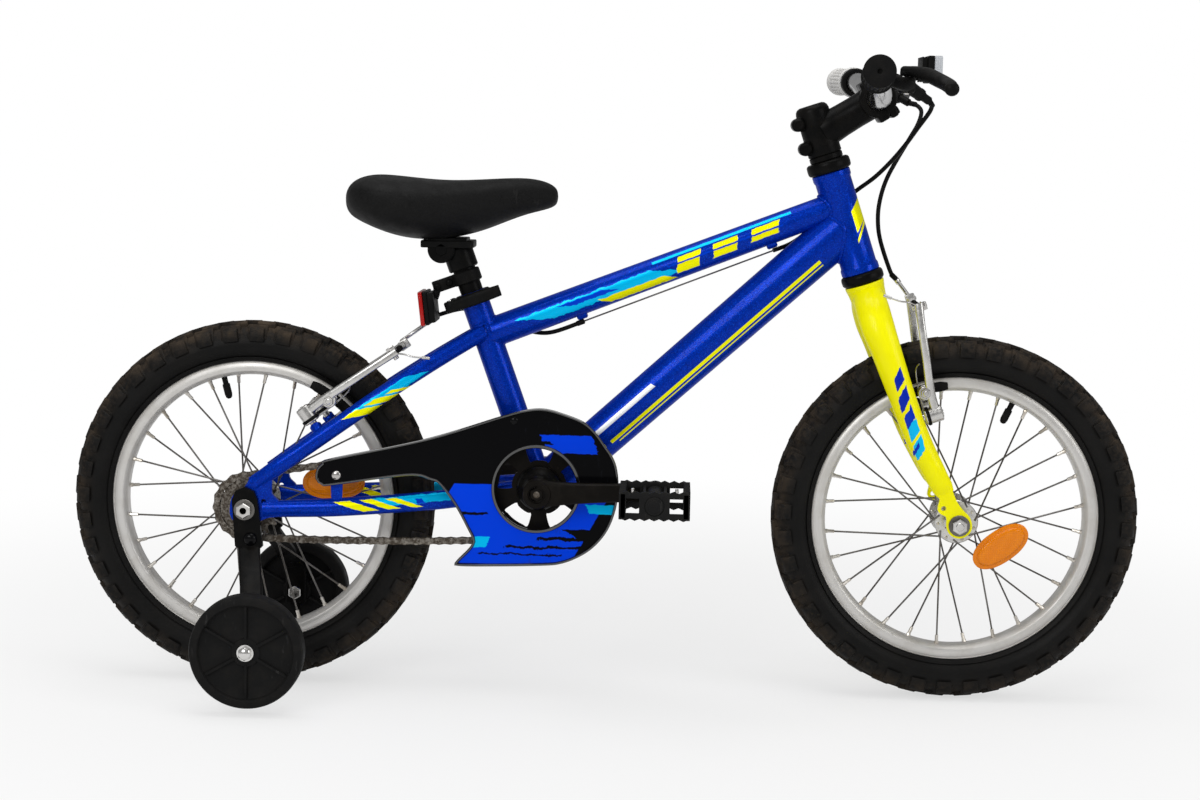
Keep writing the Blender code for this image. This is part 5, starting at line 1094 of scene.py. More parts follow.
def tyre(end, axle):
    """The casing with its bead and fine sidewall ribs, then three rows of tread blocks."""
    body = f"{end}_wheel"
    look = f"{end} tyre rubber"
    casing = Piece(f"{end}_tyre_casing")
    half = TYRE_HALF_WIDTH - 3.6
    middle = WHEEL_RADIUS - 25.0
    profile = [
        (RIM_OUTER_RADIUS - 1.5, RIM_HALF_WIDTH - 2.0), (RIM_OUTER_RADIUS + 1.2, RIM_HALF_WIDTH - 0.4),
    ]
    profile += [
        (RIM_OUTER_RADIUS + 3.2, RIM_HALF_WIDTH + 2.4), (RIM_OUTER_RADIUS + 4.2, RIM_HALF_WIDTH + 2.6),
    ]
    profile += [(RIM_OUTER_RADIUS + 5.0, RIM_HALF_WIDTH + 4.0)]
    for i in range(21):
        angle = math.radians(-50.0 + 140.0 * i / 20)
        swell = 0.45 if i in (4, 7) else 0.0
        profile.append((middle + 20.0 * math.sin(angle) + swell, (half + swell) * math.cos(angle)))
    profile = profile + [(radius, -y) for radius, y in reversed(profile[:-1])]
    profile += [
        (RIM_OUTER_RADIUS + 3.0, -RIM_HALF_WIDTH + 5.0), (RIM_OUTER_RADIUS + 3.0, RIM_HALF_WIDTH - 5.0),
    ]
    casing.turned(profile, axle, Y, look, 144, looped=True)
    place(casing.made(60.0), body, f"{end}_tyre")

    pitch = 2 * math.pi / KNOBS_ROUND
    rows = Piece(f"{end}_tyre_tread")
    crown = WHEEL_RADIUS
    for side in (-1, 1):
        for shift, y_in, y_out, wide, deep in (
            (0.0, 11.6, 21.4, 0.82, 0.8), (0.25 if side > 0 else 0.75, 1.2, 9.6, 0.66, 0.0),
        ):
            knob_rings = []
            for y, top in ((y_in, crown - deep), (y_out, None)):
                outer = top if top else tyre_radius(y, 4.2) - deep
                if top is not None and y_in > 11.0:
                    outer = min(outer, tyre_radius(y, 4.6))
                inner = tyre_radius(y) - 3.0
                ring = []
                for radius, part in ((inner, -0.5), (outer, -0.42), (outer, 0.42), (inner, 0.5)):
                    angle = (shift + wide * part * (1.0 if y_in > 11.0 else 1.1)) * pitch
                    ring.append(Vector((radius * math.cos(angle), side * y, radius * math.sin(angle))))
                knob_rings.append(ring)
            rows.loft(knob_rings, look)
        lug = []
        for y, low, high in ((18.6, -12.0, -1.0), (23.0, -14.5, -4.5), (25.0, -17.0, -9.0)):
            ring = []
            for drop, part in ((low, -0.30), (high, -0.26), (high, 0.26), (low, 0.30)):
                radius = WHEEL_RADIUS - 5.0 + drop
                ring.append(
                    Vector((radius * math.cos(part * pitch), side * y, radius * math.sin(part * pitch)))
                )
            lug.append(ring)
        rows.loft(lug, look)
    tread = copies_round(rows, KNOBS_ROUND, axle, look, 0.03, bevel=0.9)
    place(tread, body)


def rim(end, axle, valve_angle):
    """The rim channel with its brake track groove, and the valve with its cap."""
    made = Piece(f"{end}_rim_channel")
    half = RIM_HALF_WIDTH
    look = f"{end} rim alloy"
    side = [
        (RIM_INNER_RADIUS, 6.0), (RIM_INNER_RADIUS + 1.0, 8.4), (RIM_INNER_RADIUS + 4.0, half - 0.5),
        (RIM_INNER_RADIUS + 5.0, half), (RIM_OUTER_RADIUS - 2.2, half - 0.2),
        (RIM_OUTER_RADIUS - 1.6, half - 0.9),
        (RIM_OUTER_RADIUS - 0.8, half), (RIM_OUTER_RADIUS, half - 0.8), (RIM_OUTER_RADIUS, half - 1.8),
        (RIM_OUTER_RADIUS - 4.0, half - 3.4),
    ]
    profile = side + [(radius, -y) for radius, y in reversed(side)]
    made.turned(profile, axle, Y, look, 128, looped=True)
    out = Vector((math.cos(valve_angle), 0.0, math.sin(valve_angle)))
    top = axle + out * (RIM_INNER_RADIUS + 1.0)
    made.turned(
        [(0.0, 0.0), (3.6, 0.0), (3.2, 2.0), (3.0, 10.0), (0.0, 10.0)], top, -out, "black rubber", 20,
    )
    cap = [
        (0.0, 9.0), (3.9, 9.0), (4.2, 10.0), (4.2, VALVE_LENGTH - 5.0), (3.4, VALVE_LENGTH - 1.6),
        (1.6, VALVE_LENGTH), (0.0, VALVE_LENGTH),
    ]
    made.turned(cap, top, -out, "black rubber", 20)
    joint = axle - out * (RIM_INNER_RADIUS + 8.0)
    made.block(joint, (0.4, half * 2 + 0.1, 14.0), look, X if abs(out.z) > 0.5 else Z, out, 0.0)
    place(made.made(50.0), f"{end}_wheel", f"{end}_rim")


def hub(end, axle, shell_from, shell_radius, end_radius, phase):
    """The drawn hub shell with its flanges, and the crossed spokes with their nipples."""
    edge = FLANGE_THICKNESS / 2
    shell = Piece(f"{end}_hub_shell")
    bore = AXLE_RADIUS + 0.5
    half = [
        (shell_radius, 0.0), (shell_radius, FLANGE_Y - edge - 7.0),
        (shell_radius + 2.5, FLANGE_Y - edge - 3.0),
        (FLANGE_RADIUS - 6.0, FLANGE_Y - edge), (FLANGE_RADIUS - 0.8, FLANGE_Y - edge),
        (FLANGE_RADIUS, FLANGE_Y - edge + 0.8),
        (FLANGE_RADIUS, FLANGE_Y + edge - 0.8), (FLANGE_RADIUS - 0.8, FLANGE_Y + edge),
        (end_radius + 3.0, FLANGE_Y + edge),
        (end_radius, FLANGE_Y + edge + 3.0), (end_radius, shell_from - 1.0), (end_radius - 1.0, shell_from),
        (bore, shell_from),
    ]
    profile = half + [(radius, -y) for radius, y in reversed(half[1:])]
    shell.turned(profile, axle, Y, "bright alloy", 64, looped=True)
    place(shell.made(), f"{end}_wheel", f"{end}_hub")

    pitch = 2 * math.pi / SPOKES_PER_SIDE
    spokes = Piece(f"{end}_spokes")
    holes = Piece(f"{end}_spoke_heads")
    for side in (-1, 1):
        for lead in (1, -1):
            turn = phase + (0.0 if lead > 0 else pitch) + (pitch / 2 if side > 0 else 0.0)
            aim = turn + lead * 2 * pitch
            inner = FLANGE_RADIUS - 3.5
            hole = side * (FLANGE_Y + lead * (edge + 1.1))
            start = Vector((inner * math.cos(turn), hole, inner * math.sin(turn)))
            reach = RIM_INNER_RADIUS + 0.8
            end_at = Vector((reach * math.cos(aim), side * (3.4 + lead * 1.1), reach * math.sin(aim)))
            heading = (end_at - start).normalized()
            collar = end_at - heading * NIPPLE_LENGTH
            spokes.tube([start - heading * 1.0, start, collar], SPOKE_RADIUS, "spoke steel", 8)
            nipple = [
                (0.0, 0.0), (1.5, 0.0), (1.9, 0.8), (1.9, 7.0), (2.4, 8.0), (2.4, NIPPLE_LENGTH),
                (0.0, NIPPLE_LENGTH),
            ]
            holes.turned(nipple, collar, heading, "nipple brass", 8)
            head_at = Vector((start.x, side * FLANGE_Y, start.z))
            away = Y * side * lead
            head = [(0.0, edge), (2.0, edge), (1.7, edge + 0.9), (0.0, edge + 1.2)]
            holes.turned(head, head_at, -away, "nipple brass", 8)
            bend = [head_at - away * edge, head_at + away * (edge + 0.2), start]
            spokes.tube(bend, SPOKE_RADIUS, "spoke steel", 8, across=X)
    repeats = SPOKES_PER_SIDE // 2
    place(copies_round(spokes, repeats, axle, "spoke steel"), f"{end}_wheel")
    place(copies_round(holes, repeats, axle, "nipple brass"), f"{end}_wheel")


def axle_hardware(end, axle, body, nut_from, half_length, look):
    """The threaded axle with cones inside the dropouts and washers and hexagon nuts outside."""
    made = Piece(f"{end}_axle_hardware")
    made.rod(axle - Y * half_length, axle + Y * half_length, AXLE_RADIUS, look, 24, 1.0)
    inside = (FRONT_DROPOUT_Y if end == "front" else REAR_DROPOUT_Y) - DROPOUT_THICKNESS / 2
    for _, side in SIDES:
        out = Y * side
        made.collar(axle, out, 11.6, AXLE_RADIUS - 0.3, nut_from, nut_from + 1.6, "spoke steel", 40, 0.4)
        made.hexagon(axle, out, 15.0, nut_from + 1.5, nut_from + 8.4, look)
        made.collar(axle, out, 8.0, AXLE_RADIUS - 0.3, inside - 0.8, inside, look, 24, 0.2)
        for i in range(5):
            at = nut_from + 8.6 + i * 1.0
            if at < half_length - 0.6:
                made.collar(axle, out, AXLE_RADIUS + 0.25, AXLE_RADIUS - 0.5, at, at + 0.5, look, 24, 0.2)
    place(made.made(), body, f"{end}_axle")


def spoke_reflector(end, axle, angle, radius, tilt):
    """An oval amber reflector clipped to the spokes, with its thinner rim and its two clips."""
    out = Vector((math.cos(angle), 0.0, math.sin(angle)))
    slope = (FLANGE_Y - 3.4) / (RIM_INNER_RADIUS - FLANGE_RADIUS + 3.5)
    skin = FLANGE_Y - (radius - FLANGE_RADIUS + 3.5) * slope + 0.6
    centre = axle + out * radius - Y * (skin + SPOKE_RADIUS - 0.2)
    inward = (out + Y * slope).normalized()
    normal = (Y - inward * inward.y).normalized()
    sideways = normal.cross(inward)
    long_axis = inward * math.cos(tilt) + sideways * math.sin(tilt)
    short_axis = normal.cross(long_axis)
    made = Piece(f"{end}_wheel_reflector")
    rings = []
    for depth, grow in (
        (0.0, -1.4), (-0.3, -0.3), (-1.0, 0.0), (-2.0, 0.0), (-2.4, -0.5), (-2.5, -4.4), (-4.6, -5.6),
        (-5.2, -6.6), (-5.4, -9.0),
    ):
        rings.append(
            oval(centre + normal * depth, long_axis, short_axis, 34.5 + grow, 19.0 + grow, 64, 0.9)
        )
    made.loft(rings, "amber lens")
    panel = [
        oval(centre - normal * -5.5, long_axis, short_axis, 21.0, 9.0, 48, 0.8),
        oval(centre - normal * -5.0, long_axis, short_axis, 21.0, 9.0, 48, 0.8),
    ]
    made.loft(panel, "deep amber lens")
    for along in (-28.5, 28.5):
        at = centre + long_axis * along - normal * 2.2
        made.turned([(0.0, 0.0), (2.4, 0.0), (2.0, 0.8), (0.0, 1.0)], at, -normal, "amber lens", 16)
    place(made.made(50.0), f"{end}_wheel", f"{end}_spoke_reflector")


# Frame


def weld(piece, point, heading, radius, host, host_way, host_radius, look, ripple=26, half_across=None):
    """A rippled bead where a tube meets a host tube."""
    heading = heading.normalized()
    host_way = host_way.normalized()
    across = heading.cross(host_way).normalized()
    up = heading.cross(across)
    steps = 72
    bead = []
    for i in range(steps):
        angle = 2 * math.pi * i / steps
        wide = half_across or radius
        start = point + across * (wide * math.cos(angle)) + up * (radius * math.sin(angle))
        away = start - host
        flat = away - host_way * away.dot(host_way)
        way = heading - host_way * heading.dot(host_way)
        a = way.dot(way)
        b = 2 * flat.dot(way)
        c = flat.dot(flat) - host_radius * host_radius
        reach = b * b - 4 * a * c
        t = (-b - math.sqrt(reach)) / (2 * a) if reach > 0 else -b / (2 * a)
        bead.append(start + heading * t)
    rings = []
    for i, spot in enumerate(bead):
        tangent = (bead[(i + 1) % steps] - bead[i - 1]).normalized()
        away = spot - host
        normal = (away - host_way * away.dot(host_way)).normalized()
        side = tangent.cross(normal).normalized()
        size = 2.3 + 0.35 * math.sin(2 * math.pi * ripple * i / steps)
        rings.append(oval(spot, side, tangent.cross(side), size, size * 0.85, 8))
    piece.loft(rings, look, looped=True)


def seat_stay_points(side):
    return [
        mirrored(point, side)
        for point in (
            (-383.0, -55.5, 231.0), (-353.0, -55.0, 252.5), (-325.0, -52.0, 272.7), (-269.5, -48.0, 312.6),
            (-238.0, -44.0, 335.0), (-195.0, -31.0, 363.5), (-160.0, -20.0, 385.5), (-134.0, -12.0, 401.0),
        )
    ]


def chain_stay_points(side):
    return [
        mirrored(point, side)
        for point in (
            (-372.0, -54.5, 203.0), (-286.5, -51.0, 207.0), (-199.0, -41.0, 213.5), (-165.0, -34.0, 217.0),
            (-128.0, -27.0, 222.0), (-78.0, -20.0, 229.0),
        )
    ]


def eased_tube(piece, points, radii, look, sides=28, power=1.0, step=7.0, across=Y):
    """A tube on a smooth path, its radii read off between the given ones."""
    points = [Vector(point) for point in points]
    path = smooth_path(points, step)
    marks = [0.0]
    for a, b in zip(points, points[1:]):
        marks.append(marks[-1] + (b - a).length)
    pairs = [radius if isinstance(radius, tuple) else (radius, radius) for radius in radii]
    sizes = []
    for i in range(len(path)):
        at = marks[-1] * i / (len(path) - 1)
        j = 0
        while j < len(marks) - 2 and marks[j + 1] < at:
            j += 1
        t = (at - marks[j]) / (marks[j + 1] - marks[j])
        t = t * t * (3 - 2 * t)
        sizes.append(tuple(pairs[j][k] + (pairs[j + 1][k] - pairs[j][k]) * t for k in (0, 1)))
    piece.tube(path, sizes, look, sides, across, power)


def frame_tubes():
    """The welded frame, tube by tube, with its beads, dropouts, bosses and cable guides."""
    made = Piece("frame_tubes")
    wide = HEAD_TUBE_RADIUS + 1.2
    head = [
        (15.0, HEAD_TUBE_FROM), (wide - 0.8, HEAD_TUBE_FROM), (wide, HEAD_TUBE_FROM + 0.8),
        (wide, HEAD_TUBE_FROM + 6.4),
        (wide - 0.4, HEAD_TUBE_FROM + 7.6), (HEAD_TUBE_RADIUS, HEAD_TUBE_FROM + 9.0),
        (HEAD_TUBE_RADIUS, HEAD_TUBE_TO - 9.0),
        (wide - 0.4, HEAD_TUBE_TO - 7.6), (wide, HEAD_TUBE_TO - 6.4), (wide, HEAD_TUBE_TO - 0.8),
        (wide - 0.8, HEAD_TUBE_TO),
        (15.0, HEAD_TUBE_TO),
    ]
    made.turned(head, HEAD_FOOT, STEER_UP, "head tube paint", 72, looped=True)
    made.tube(TOP_TUBE_ENDS, list(TOP_TUBE_RADII), "top tube paint", 56)
    made.tube(DOWN_TUBE_ENDS, list(DOWN_TUBE_RADII), "down tube paint", 56)
    seat_profile = [
        (0.0, 0.0), (SEAT_TUBE_RADIUS, 0.0), (SEAT_TUBE_RADIUS, SEAT_TUBE_TOP - 0.8),
        (SEAT_TUBE_RADIUS - 0.8, SEAT_TUBE_TOP), (POST_RADIUS + 0.4, SEAT_TUBE_TOP),
        (POST_RADIUS + 0.4, SEAT_TUBE_TOP - 20.0),
        (0.0, SEAT_TUBE_TOP - 20.0),
    ]
    made.turned(seat_profile, SEAT_TUBE_FOOT, SEAT_UP, "seat tube paint", 56)
    shell = [
        (9.0, -SHELL_HALF_WIDTH), (SHELL_RADIUS - 0.8, -SHELL_HALF_WIDTH),
        (SHELL_RADIUS, -SHELL_HALF_WIDTH + 0.8),
        (SHELL_RADIUS, SHELL_HALF_WIDTH - 0.8), (SHELL_RADIUS - 0.8, SHELL_HALF_WIDTH),
        (9.0, SHELL_HALF_WIDTH),
    ]
    made.turned(shell, CRANK_CENTRE, Y, "blue paint", 56, looped=True)

    top_way = (TOP_TUBE_ENDS[1] - TOP_TUBE_ENDS[0]).normalized()
    down_way = (DOWN_TUBE_ENDS[1] - DOWN_TUBE_ENDS[0]).normalized()
    weld(
        made, TOP_TUBE_ENDS[1] - top_way * 60.0, top_way, TOP_TUBE_RADII[1] + 0.3, HEAD_FOOT, STEER_UP,
        HEAD_TUBE_RADIUS, "head tube paint",
    )
    weld(
        made, DOWN_TUBE_ENDS[1] - down_way * 60.0, down_way, DOWN_TUBE_RADII[1][1] - 0.4, HEAD_FOOT,
        STEER_UP, HEAD_TUBE_RADIUS, "head tube paint", 34, DOWN_TUBE_RADII[1][0] - 0.4,
    )
    weld(
        made, TOP_TUBE_ENDS[0] + top_way * 60.0, -top_way, min(TOP_TUBE_RADII[0], SEAT_TUBE_RADIUS - 0.4),
        SEAT_TUBE_FOOT, SEAT_UP, SEAT_TUBE_RADIUS, "seat tube paint",
    )
    weld(made, on_seat_tube(80.0), -SEAT_UP, SEAT_TUBE_RADIUS, CRANK_CENTRE, Y, SHELL_RADIUS, "blue paint")
    weld(
        made, DOWN_TUBE_ENDS[0] + down_way * 60.0, -down_way, SHELL_RADIUS - 1.0, CRANK_CENTRE, Y,
        SHELL_RADIUS, "blue paint",
    )

    for _, side in SIDES:
        stay = SEAT_STAY_RADIUS
        points = seat_stay_points(side)
        eased_tube(
            made, points, [(4.2, stay - 0.8), (7.2, stay)] + [(stay - 1.2, stay)] * 6, "seat stay paint",
        )
        thick = CHAIN_STAY_RADIUS
        points = chain_stay_points(side)
        radii = [
            (thick - 3.0, thick - 1.0), (thick - 0.6, thick), (thick - 1.2, thick),
            (thick - 2.2, thick + 0.5),
        ]
        radii += [(thick - 2.2, thick + 0.5), (thick, thick)]
        eased_tube(made, points, radii, "chain stay paint")
        weld(
            made, mirrored((-195.0, -31.0, 363.5), side), Vector((35.0, side * -11.0, 22.0)), stay - 1.0,
            SEAT_TUBE_FOOT, SEAT_UP, SEAT_TUBE_RADIUS, "seat tube paint",
        )
        inner = side * (REAR_DROPOUT_Y - DROPOUT_THICKNESS / 2)
        outer = side * (REAR_DROPOUT_Y + DROPOUT_THICKNESS / 2)
        outline = [
            (-408.0, 196.0), (-402.0, 188.0), (-391.0, 185.5), (-379.0, 188.5), (-366.0, 194.0),
            (-354.0, 197.0),
            (-354.0, 212.0), (-362.0, 222.0), (-362.0, 242.0), (-370.0, 247.0), (-384.0, 240.0),
            (-392.0, 228.0),
            (-401.0, 222.0), (-407.0, 213.0),
        ]
        holes = [
            round_hole((REAR_AXLE.x, REAR_AXLE.z), AXLE_RADIUS + 0.3), round_hole((-371.0, 212.0), 2.8, 20),
        ]
        made.plate(arc_outline(outline, 3.0), inner, outer, "blue paint", holes)
        boss = REAR_PIVOT + Y * side * ARM_Y
        root = REAR_PIVOT + Y * side * 48.0
        made.rod(root + STAY_OUT * 2.0, boss + STAY_OUT * 14.5, 6.6, "blue paint", 28, 1.0)
        made.rod(boss + STAY_OUT * 13.0, boss + STAY_OUT * 38.5, 4.0, "polished steel", 24)
    bridge = Vector((-181.0, 0.0, 372.0))
    made.rod(bridge - Y * 24.0, bridge + Y * 24.0, 5.5, "blue paint", 28)
    tab = [
        (-296.5, 206.0), (-285.0, 206.0), (-284.0, 245.5), (-287.5, 251.0), (-293.5, 251.0),
        (-297.5, 245.5),
    ]
    made.plate(tab, -53.4, -55.8, "blue paint", [round_hole((-290.7, 243.5), 2.4, 16)])
    start, end = TOP_TUBE_ENDS
    down = Vector((top_way.z, 0.0, -top_way.x))
    for x in GUIDES_X:
        part = (x - start.x) / (end.x - start.x)
        radius = TOP_TUBE_RADII[0] + (TOP_TUBE_RADII[1] - TOP_TUBE_RADII[0]) * part
        at = start.lerp(end, part) + down * (radius - 1.6)
        made.rod(at - top_way * 6.0, at + top_way * 6.0, 6.0, "blue paint", 28, 1.4)
    under = Vector((63.0, 0.0, 320.5))
    made.rod(under - down_way * 7.0, under + down_way * 7.0, 5.0, "blue paint", 28, 1.4)
    place(made.made(32.0), "frame", "frame")


def fork():
    """The fork: curved legs from a crown, flattened at the dropouts, with brake bosses."""
    made = Piece("fork_legs")
    look = "fluorescent yellow paint"
    made.rod(steered(-14.0), steered(STEM_TOP - 7.0), 14.1, "satin black steel", 40)
    crown = [
        (0.0, -33.6), (12.0, -33.2), (16.6, -31.0), (19.3, -26.0), (20.4, -16.0), (21.4, -11.0),
        (21.8, -9.4), (21.8, -6.8),
        (0.0, -6.6),
    ]
    made.turned(crown, HEAD_FOOT, STEER_UP, look, 56)
    for _, side in SIDES:
        path = (
            (-19.0, 0.0, 4.0), (-26.0, -0.5, 18.0), (-37.0, -1.5, 31.0), (-55.0, -2.0, 40.0),
            (-80.0, -1.0, 44.8),
            (-124.0, 0.6, FORK_LEG_Y), (-180.0, 4.0, FORK_LEG_Y), (FORK_RAKE_FROM, 10.4, FORK_LEG_Y + 1.0),
            (-243.0, 14.6, FORK_LEG_Y + 2.0), (-250.0, 16.4, FORK_LEG_Y + 3.0),
        )
        points = [steered(s, ahead, side * y) for s, ahead, y in path]
        radii = (
            (15.0, 17.0), (15.0, 18.0), (15.0, 18.5), (14.4, 18.2), (13.6, 16.4), (13.2, 14.6),
            (12.6, 13.6), (11.6, 12.6),
            (7.5, 11.6), (3.0, 9.0),
        )
        marks = [0.0]
        for a, b in zip(points, points[1:]):
            marks.append(marks[-1] + (b - a).length)
        fine = smooth_path(points, 4.5)
        rings = []
        for i, point in enumerate(fine):
            at = marks[-1] * i / (len(fine) - 1)
            j = 0
            while j < len(marks) - 2 and marks[j + 1] < at:
                j += 1
            t = (at - marks[j]) / (marks[j + 1] - marks[j])
            wide = radii[j][0] + (radii[j + 1][0] - radii[j][0]) * t
            deep = radii[j][1] + (radii[j + 1][1] - radii[j][1]) * t
            heading = (fine[min(i + 1, len(fine) - 1)] - fine[max(i - 1, 0)]).normalized()
            front = (STEER_AHEAD - heading * STEER_AHEAD.dot(heading)).normalized()
            rings.append(oval(point, heading.cross(front), front, wide, deep, 36))
        made.loft(rings, look)
        inner = side * (FRONT_DROPOUT_Y - DROPOUT_THICKNESS / 2)
        outer = side * (FRONT_DROPOUT_Y + DROPOUT_THICKNESS / 2)
        outline = [
            (360.0, 251.5), (377.0, 252.5), (382.5, 241.5), (388.0, 229.5), (395.0, 220.5), (402.0, 213.5),
            (405.0, 204.5),
            (403.5, 196.5), (397.0, 190.7), (389.0, 189.5), (381.0, 193.5), (377.2, 201.5), (376.5, 212.5),
            (371.0, 215.5),
            (367.0, 220.0), (367.6, 226.0), (368.5, 233.5), (363.0, 241.5),
        ]
        holes = [
            round_hole((FRONT_AXLE.x, FRONT_AXLE.z), AXLE_RADIUS + 0.3),
            round_hole((373.5, 222.0), 2.9, 20),
        ]
        made.plate(arc_outline(outline, 3.0), inner, outer, look, holes)
        boss = steered(FRONT_PIVOT_S, 0.0, side * ARM_Y)
        made.rod(boss + STEER_AHEAD * 4.0, boss + STEER_AHEAD * 14.8, 7.8, look, 28, 1.0)
        made.rod(boss + STEER_AHEAD * 13.0, boss + STEER_AHEAD * 38.5, 4.0, "polished steel", 24)
    place(made.made(40.0), "steering", "fork")


# Cockpit


def bar_points():
    half = [
        (290.0, 28.0, 663.4), (290.0, 47.0, 663.5), (289.5, 60.0, 664.6), (288.0, 75.0, 668.0),
        (285.0, 92.0, 673.8),
        (281.8, 107.0, 679.6), (280.0, 116.0, 682.2), (278.6, 126.0, 683.3), (268.9, 258.0, 686.8),
    ]
    right = [Vector((x, -y, z)) for x, y, z in reversed(half)]
    left = [Vector(point) for point in half]
    return right, left


def on_bar(y):
    """The middle of the bar at a distance across, with its heading outward."""
    _, left = bar_points()
    for a, b in zip(left, left[1:]):
        if a.y <= abs(y) <= b.y or b is left[-1]:
            point = a.lerp(b, (abs(y) - a.y) / (b.y - a.y))
            heading = (b - a).normalized()
            if y < 0:
                point = Vector((point.x, -point.y, point.z))
                heading = Vector((heading.x, -heading.y, heading.z))
            return point, heading


def headset():
    """Rounded cups at both ends of the head tube, and the spacer under the stem."""
    for node_name, low, high, radius in (
        ("headset_cup_lower", -6.0, 5.7, 23.6), ("headset_cup_upper", 121.3, 134.4, 24.2),
    ):
        made = Piece(f"{node_name}_race")
        middle = (low + high) / 2
        profile = [
            (14.9, low), (radius - 3.0, low), (radius - 1.2, low + 0.9), (radius - 0.2, low + 2.6),
            (radius, middle - 1.0),
            (radius, middle + 1.0), (radius - 0.2, high - 2.6), (radius - 1.2, high - 0.9),
            (radius - 3.0, high), (14.9, high),
        ]
        made.turned(profile, HEAD_FOOT, STEER_UP, "satin black steel", 72, looped=True)
        place(made.made(50.0), "frame", node_name)
    made = Piece("headset_spacer_rings")
    made.collar(HEAD_FOOT, STEER_UP, 18.4, 14.9, 134.8, SPACER_TO, "satin black steel", 64, 0.8)
    place(made.made(), "steering", "headset_spacer")


def stem():
    """The stem: a clamp on the steerer with two pinch bolts, the arm, and the bar clamp with its cap."""
    made = Piece("stem_forging")
    look = "satin black steel"
    sleeve = [
        (0.0, SPACER_TO + 0.3), (STEM_RADIUS - 0.8, SPACER_TO + 0.3), (STEM_RADIUS, SPACER_TO + 1.1),
        (STEM_RADIUS, STEM_TOP - 7.0),
        (STEM_RADIUS - 1.0, STEM_TOP - 3.6), (STEM_RADIUS - 3.0, STEM_TOP - 1.2),
        (STEM_RADIUS - 6.0, STEM_TOP), (0.0, STEM_TOP),
    ]
    made.turned(sleeve, HEAD_FOOT, STEER_UP, look, 64)
    root = steered(165.5, 4.0)
    reach = BAR_CENTRE - root
    arm = [root, root + reach * 0.2, root + reach * 0.35, root + reach * 0.6, root + reach * 0.86]
    made.tube(
        arm, [(19.4, 19.4), (18.2, 18.4), (17.6, 17.6), (18.6, 17.2), (20.5, 17.5)], look, 48, power=0.92,
    )
    along = reach.normalized()
    lift = Vector((-along.z, 0.0, along.x))
    for s in (153.0, 180.5):
        made.rod(steered(s, -15.0, -12.4), steered(s, -15.0, 12.4), 8.4, look, 32, 1.6)
        made.block(steered(s, -9.0), (16.0, 24.0, 14.0), look, STEER_AHEAD, STEER_UP, 2.0)
        centre = steered(s, -19.6)
        made.rod(centre - Y * 17.6, centre + Y * 14.6, 7.2, look, 32, 1.8)
        made.collar(centre, -Y, 5.4, 3.0, 17.0, 18.0, look, 32, 0.4)
        made.turned([(0.0, 16.6), (3.4, 16.6), (3.4, 17.4), (0.0, 17.2)], centre, -Y, "oiled chain", 6)
    half = C_profile(BAR_CENTRE, -along, lift, 97.0, BAR_CLAMP_RADIUS + 0.2, 20.5)
    made.loft(half, look)
    for up in (-1.0, 1.0):
        middle = BAR_CENTRE + lift * up * 19.6 - along * 5.0
        made.block(middle, (12.0, 49.0, 9.0), look, along, lift, 2.6)
    place(made.made(40.0, 0.9), "steering", "stem")
    cap = Piece("stem_cap")
    cap.loft(C_profile(BAR_CENTRE, along, lift, 84.0, BAR_CLAMP_RADIUS + 0.2, 20.0), look)
    for up in (-1.0, 1.0):
        middle = BAR_CENTRE + lift * up * 20.4 + along * 6.6
        cap.block(middle, (9.4, 48.0, 11.4), look, along, lift, 3.0)
        for y in (-15.0, 15.0):
            at = middle + Y * y
            cap.rod(at + along * 2.0, at + along * 7.0, 4.6, look, 24, 1.0)
    place(cap.made(40.0, 0.9), "steering", "stem_faceplate")


def C_profile(centre, ahead, lift, reach, inner, outer):
    """Two ends of a half shell that opens backward, across the bike."""
    rings = []
    for y, shrink in ((-25.0, 1.2), (-23.6, 0.0), (23.6, 0.0), (25.0, 1.2)):
        ring = []
        for i in range(25):
            angle = math.radians(reach * (i / 12 - 1.0))
            ring.append(
                centre + Y * y + (ahead * math.cos(angle) + lift * math.sin(angle)) * (outer - shrink)
            )
        for i in range(25):
            angle = math.radians(reach * (1.0 - i / 12))
            ring.append(centre + Y * y + (ahead * math.cos(angle) + lift * math.sin(angle)) * inner)
        rings.append(ring)
    return rings


def handlebar():
    made = Piece("handlebar_tube")
    right, left = bar_points()
    thick = [Vector((BAR_CENTRE.x, y, BAR_CENTRE.z)) for y in (-30.0, -27.0, 27.0, 30.0)]
    points = smooth_path(right, 6.0)[:-1]
    sizes = [BAR_RADIUS] * len(points)
    points += thick
    sizes += [BAR_RADIUS, BAR_CLAMP_RADIUS, BAR_CLAMP_RADIUS, BAR_RADIUS]
    far = smooth_path(left, 6.0)[1:]
    points += far
    sizes += [BAR_RADIUS] * len(far)
    kept = [
        (point, size) for i,
        (point, size) in enumerate(zip(points, sizes)) if i == 0 or point.y > points[i - 1].y
    ]
    made.tube([point for point, _ in kept], [size for _, size in kept], "bar chrome", 40, X)
    place(made.made(50.0), "steering", "handlebar")


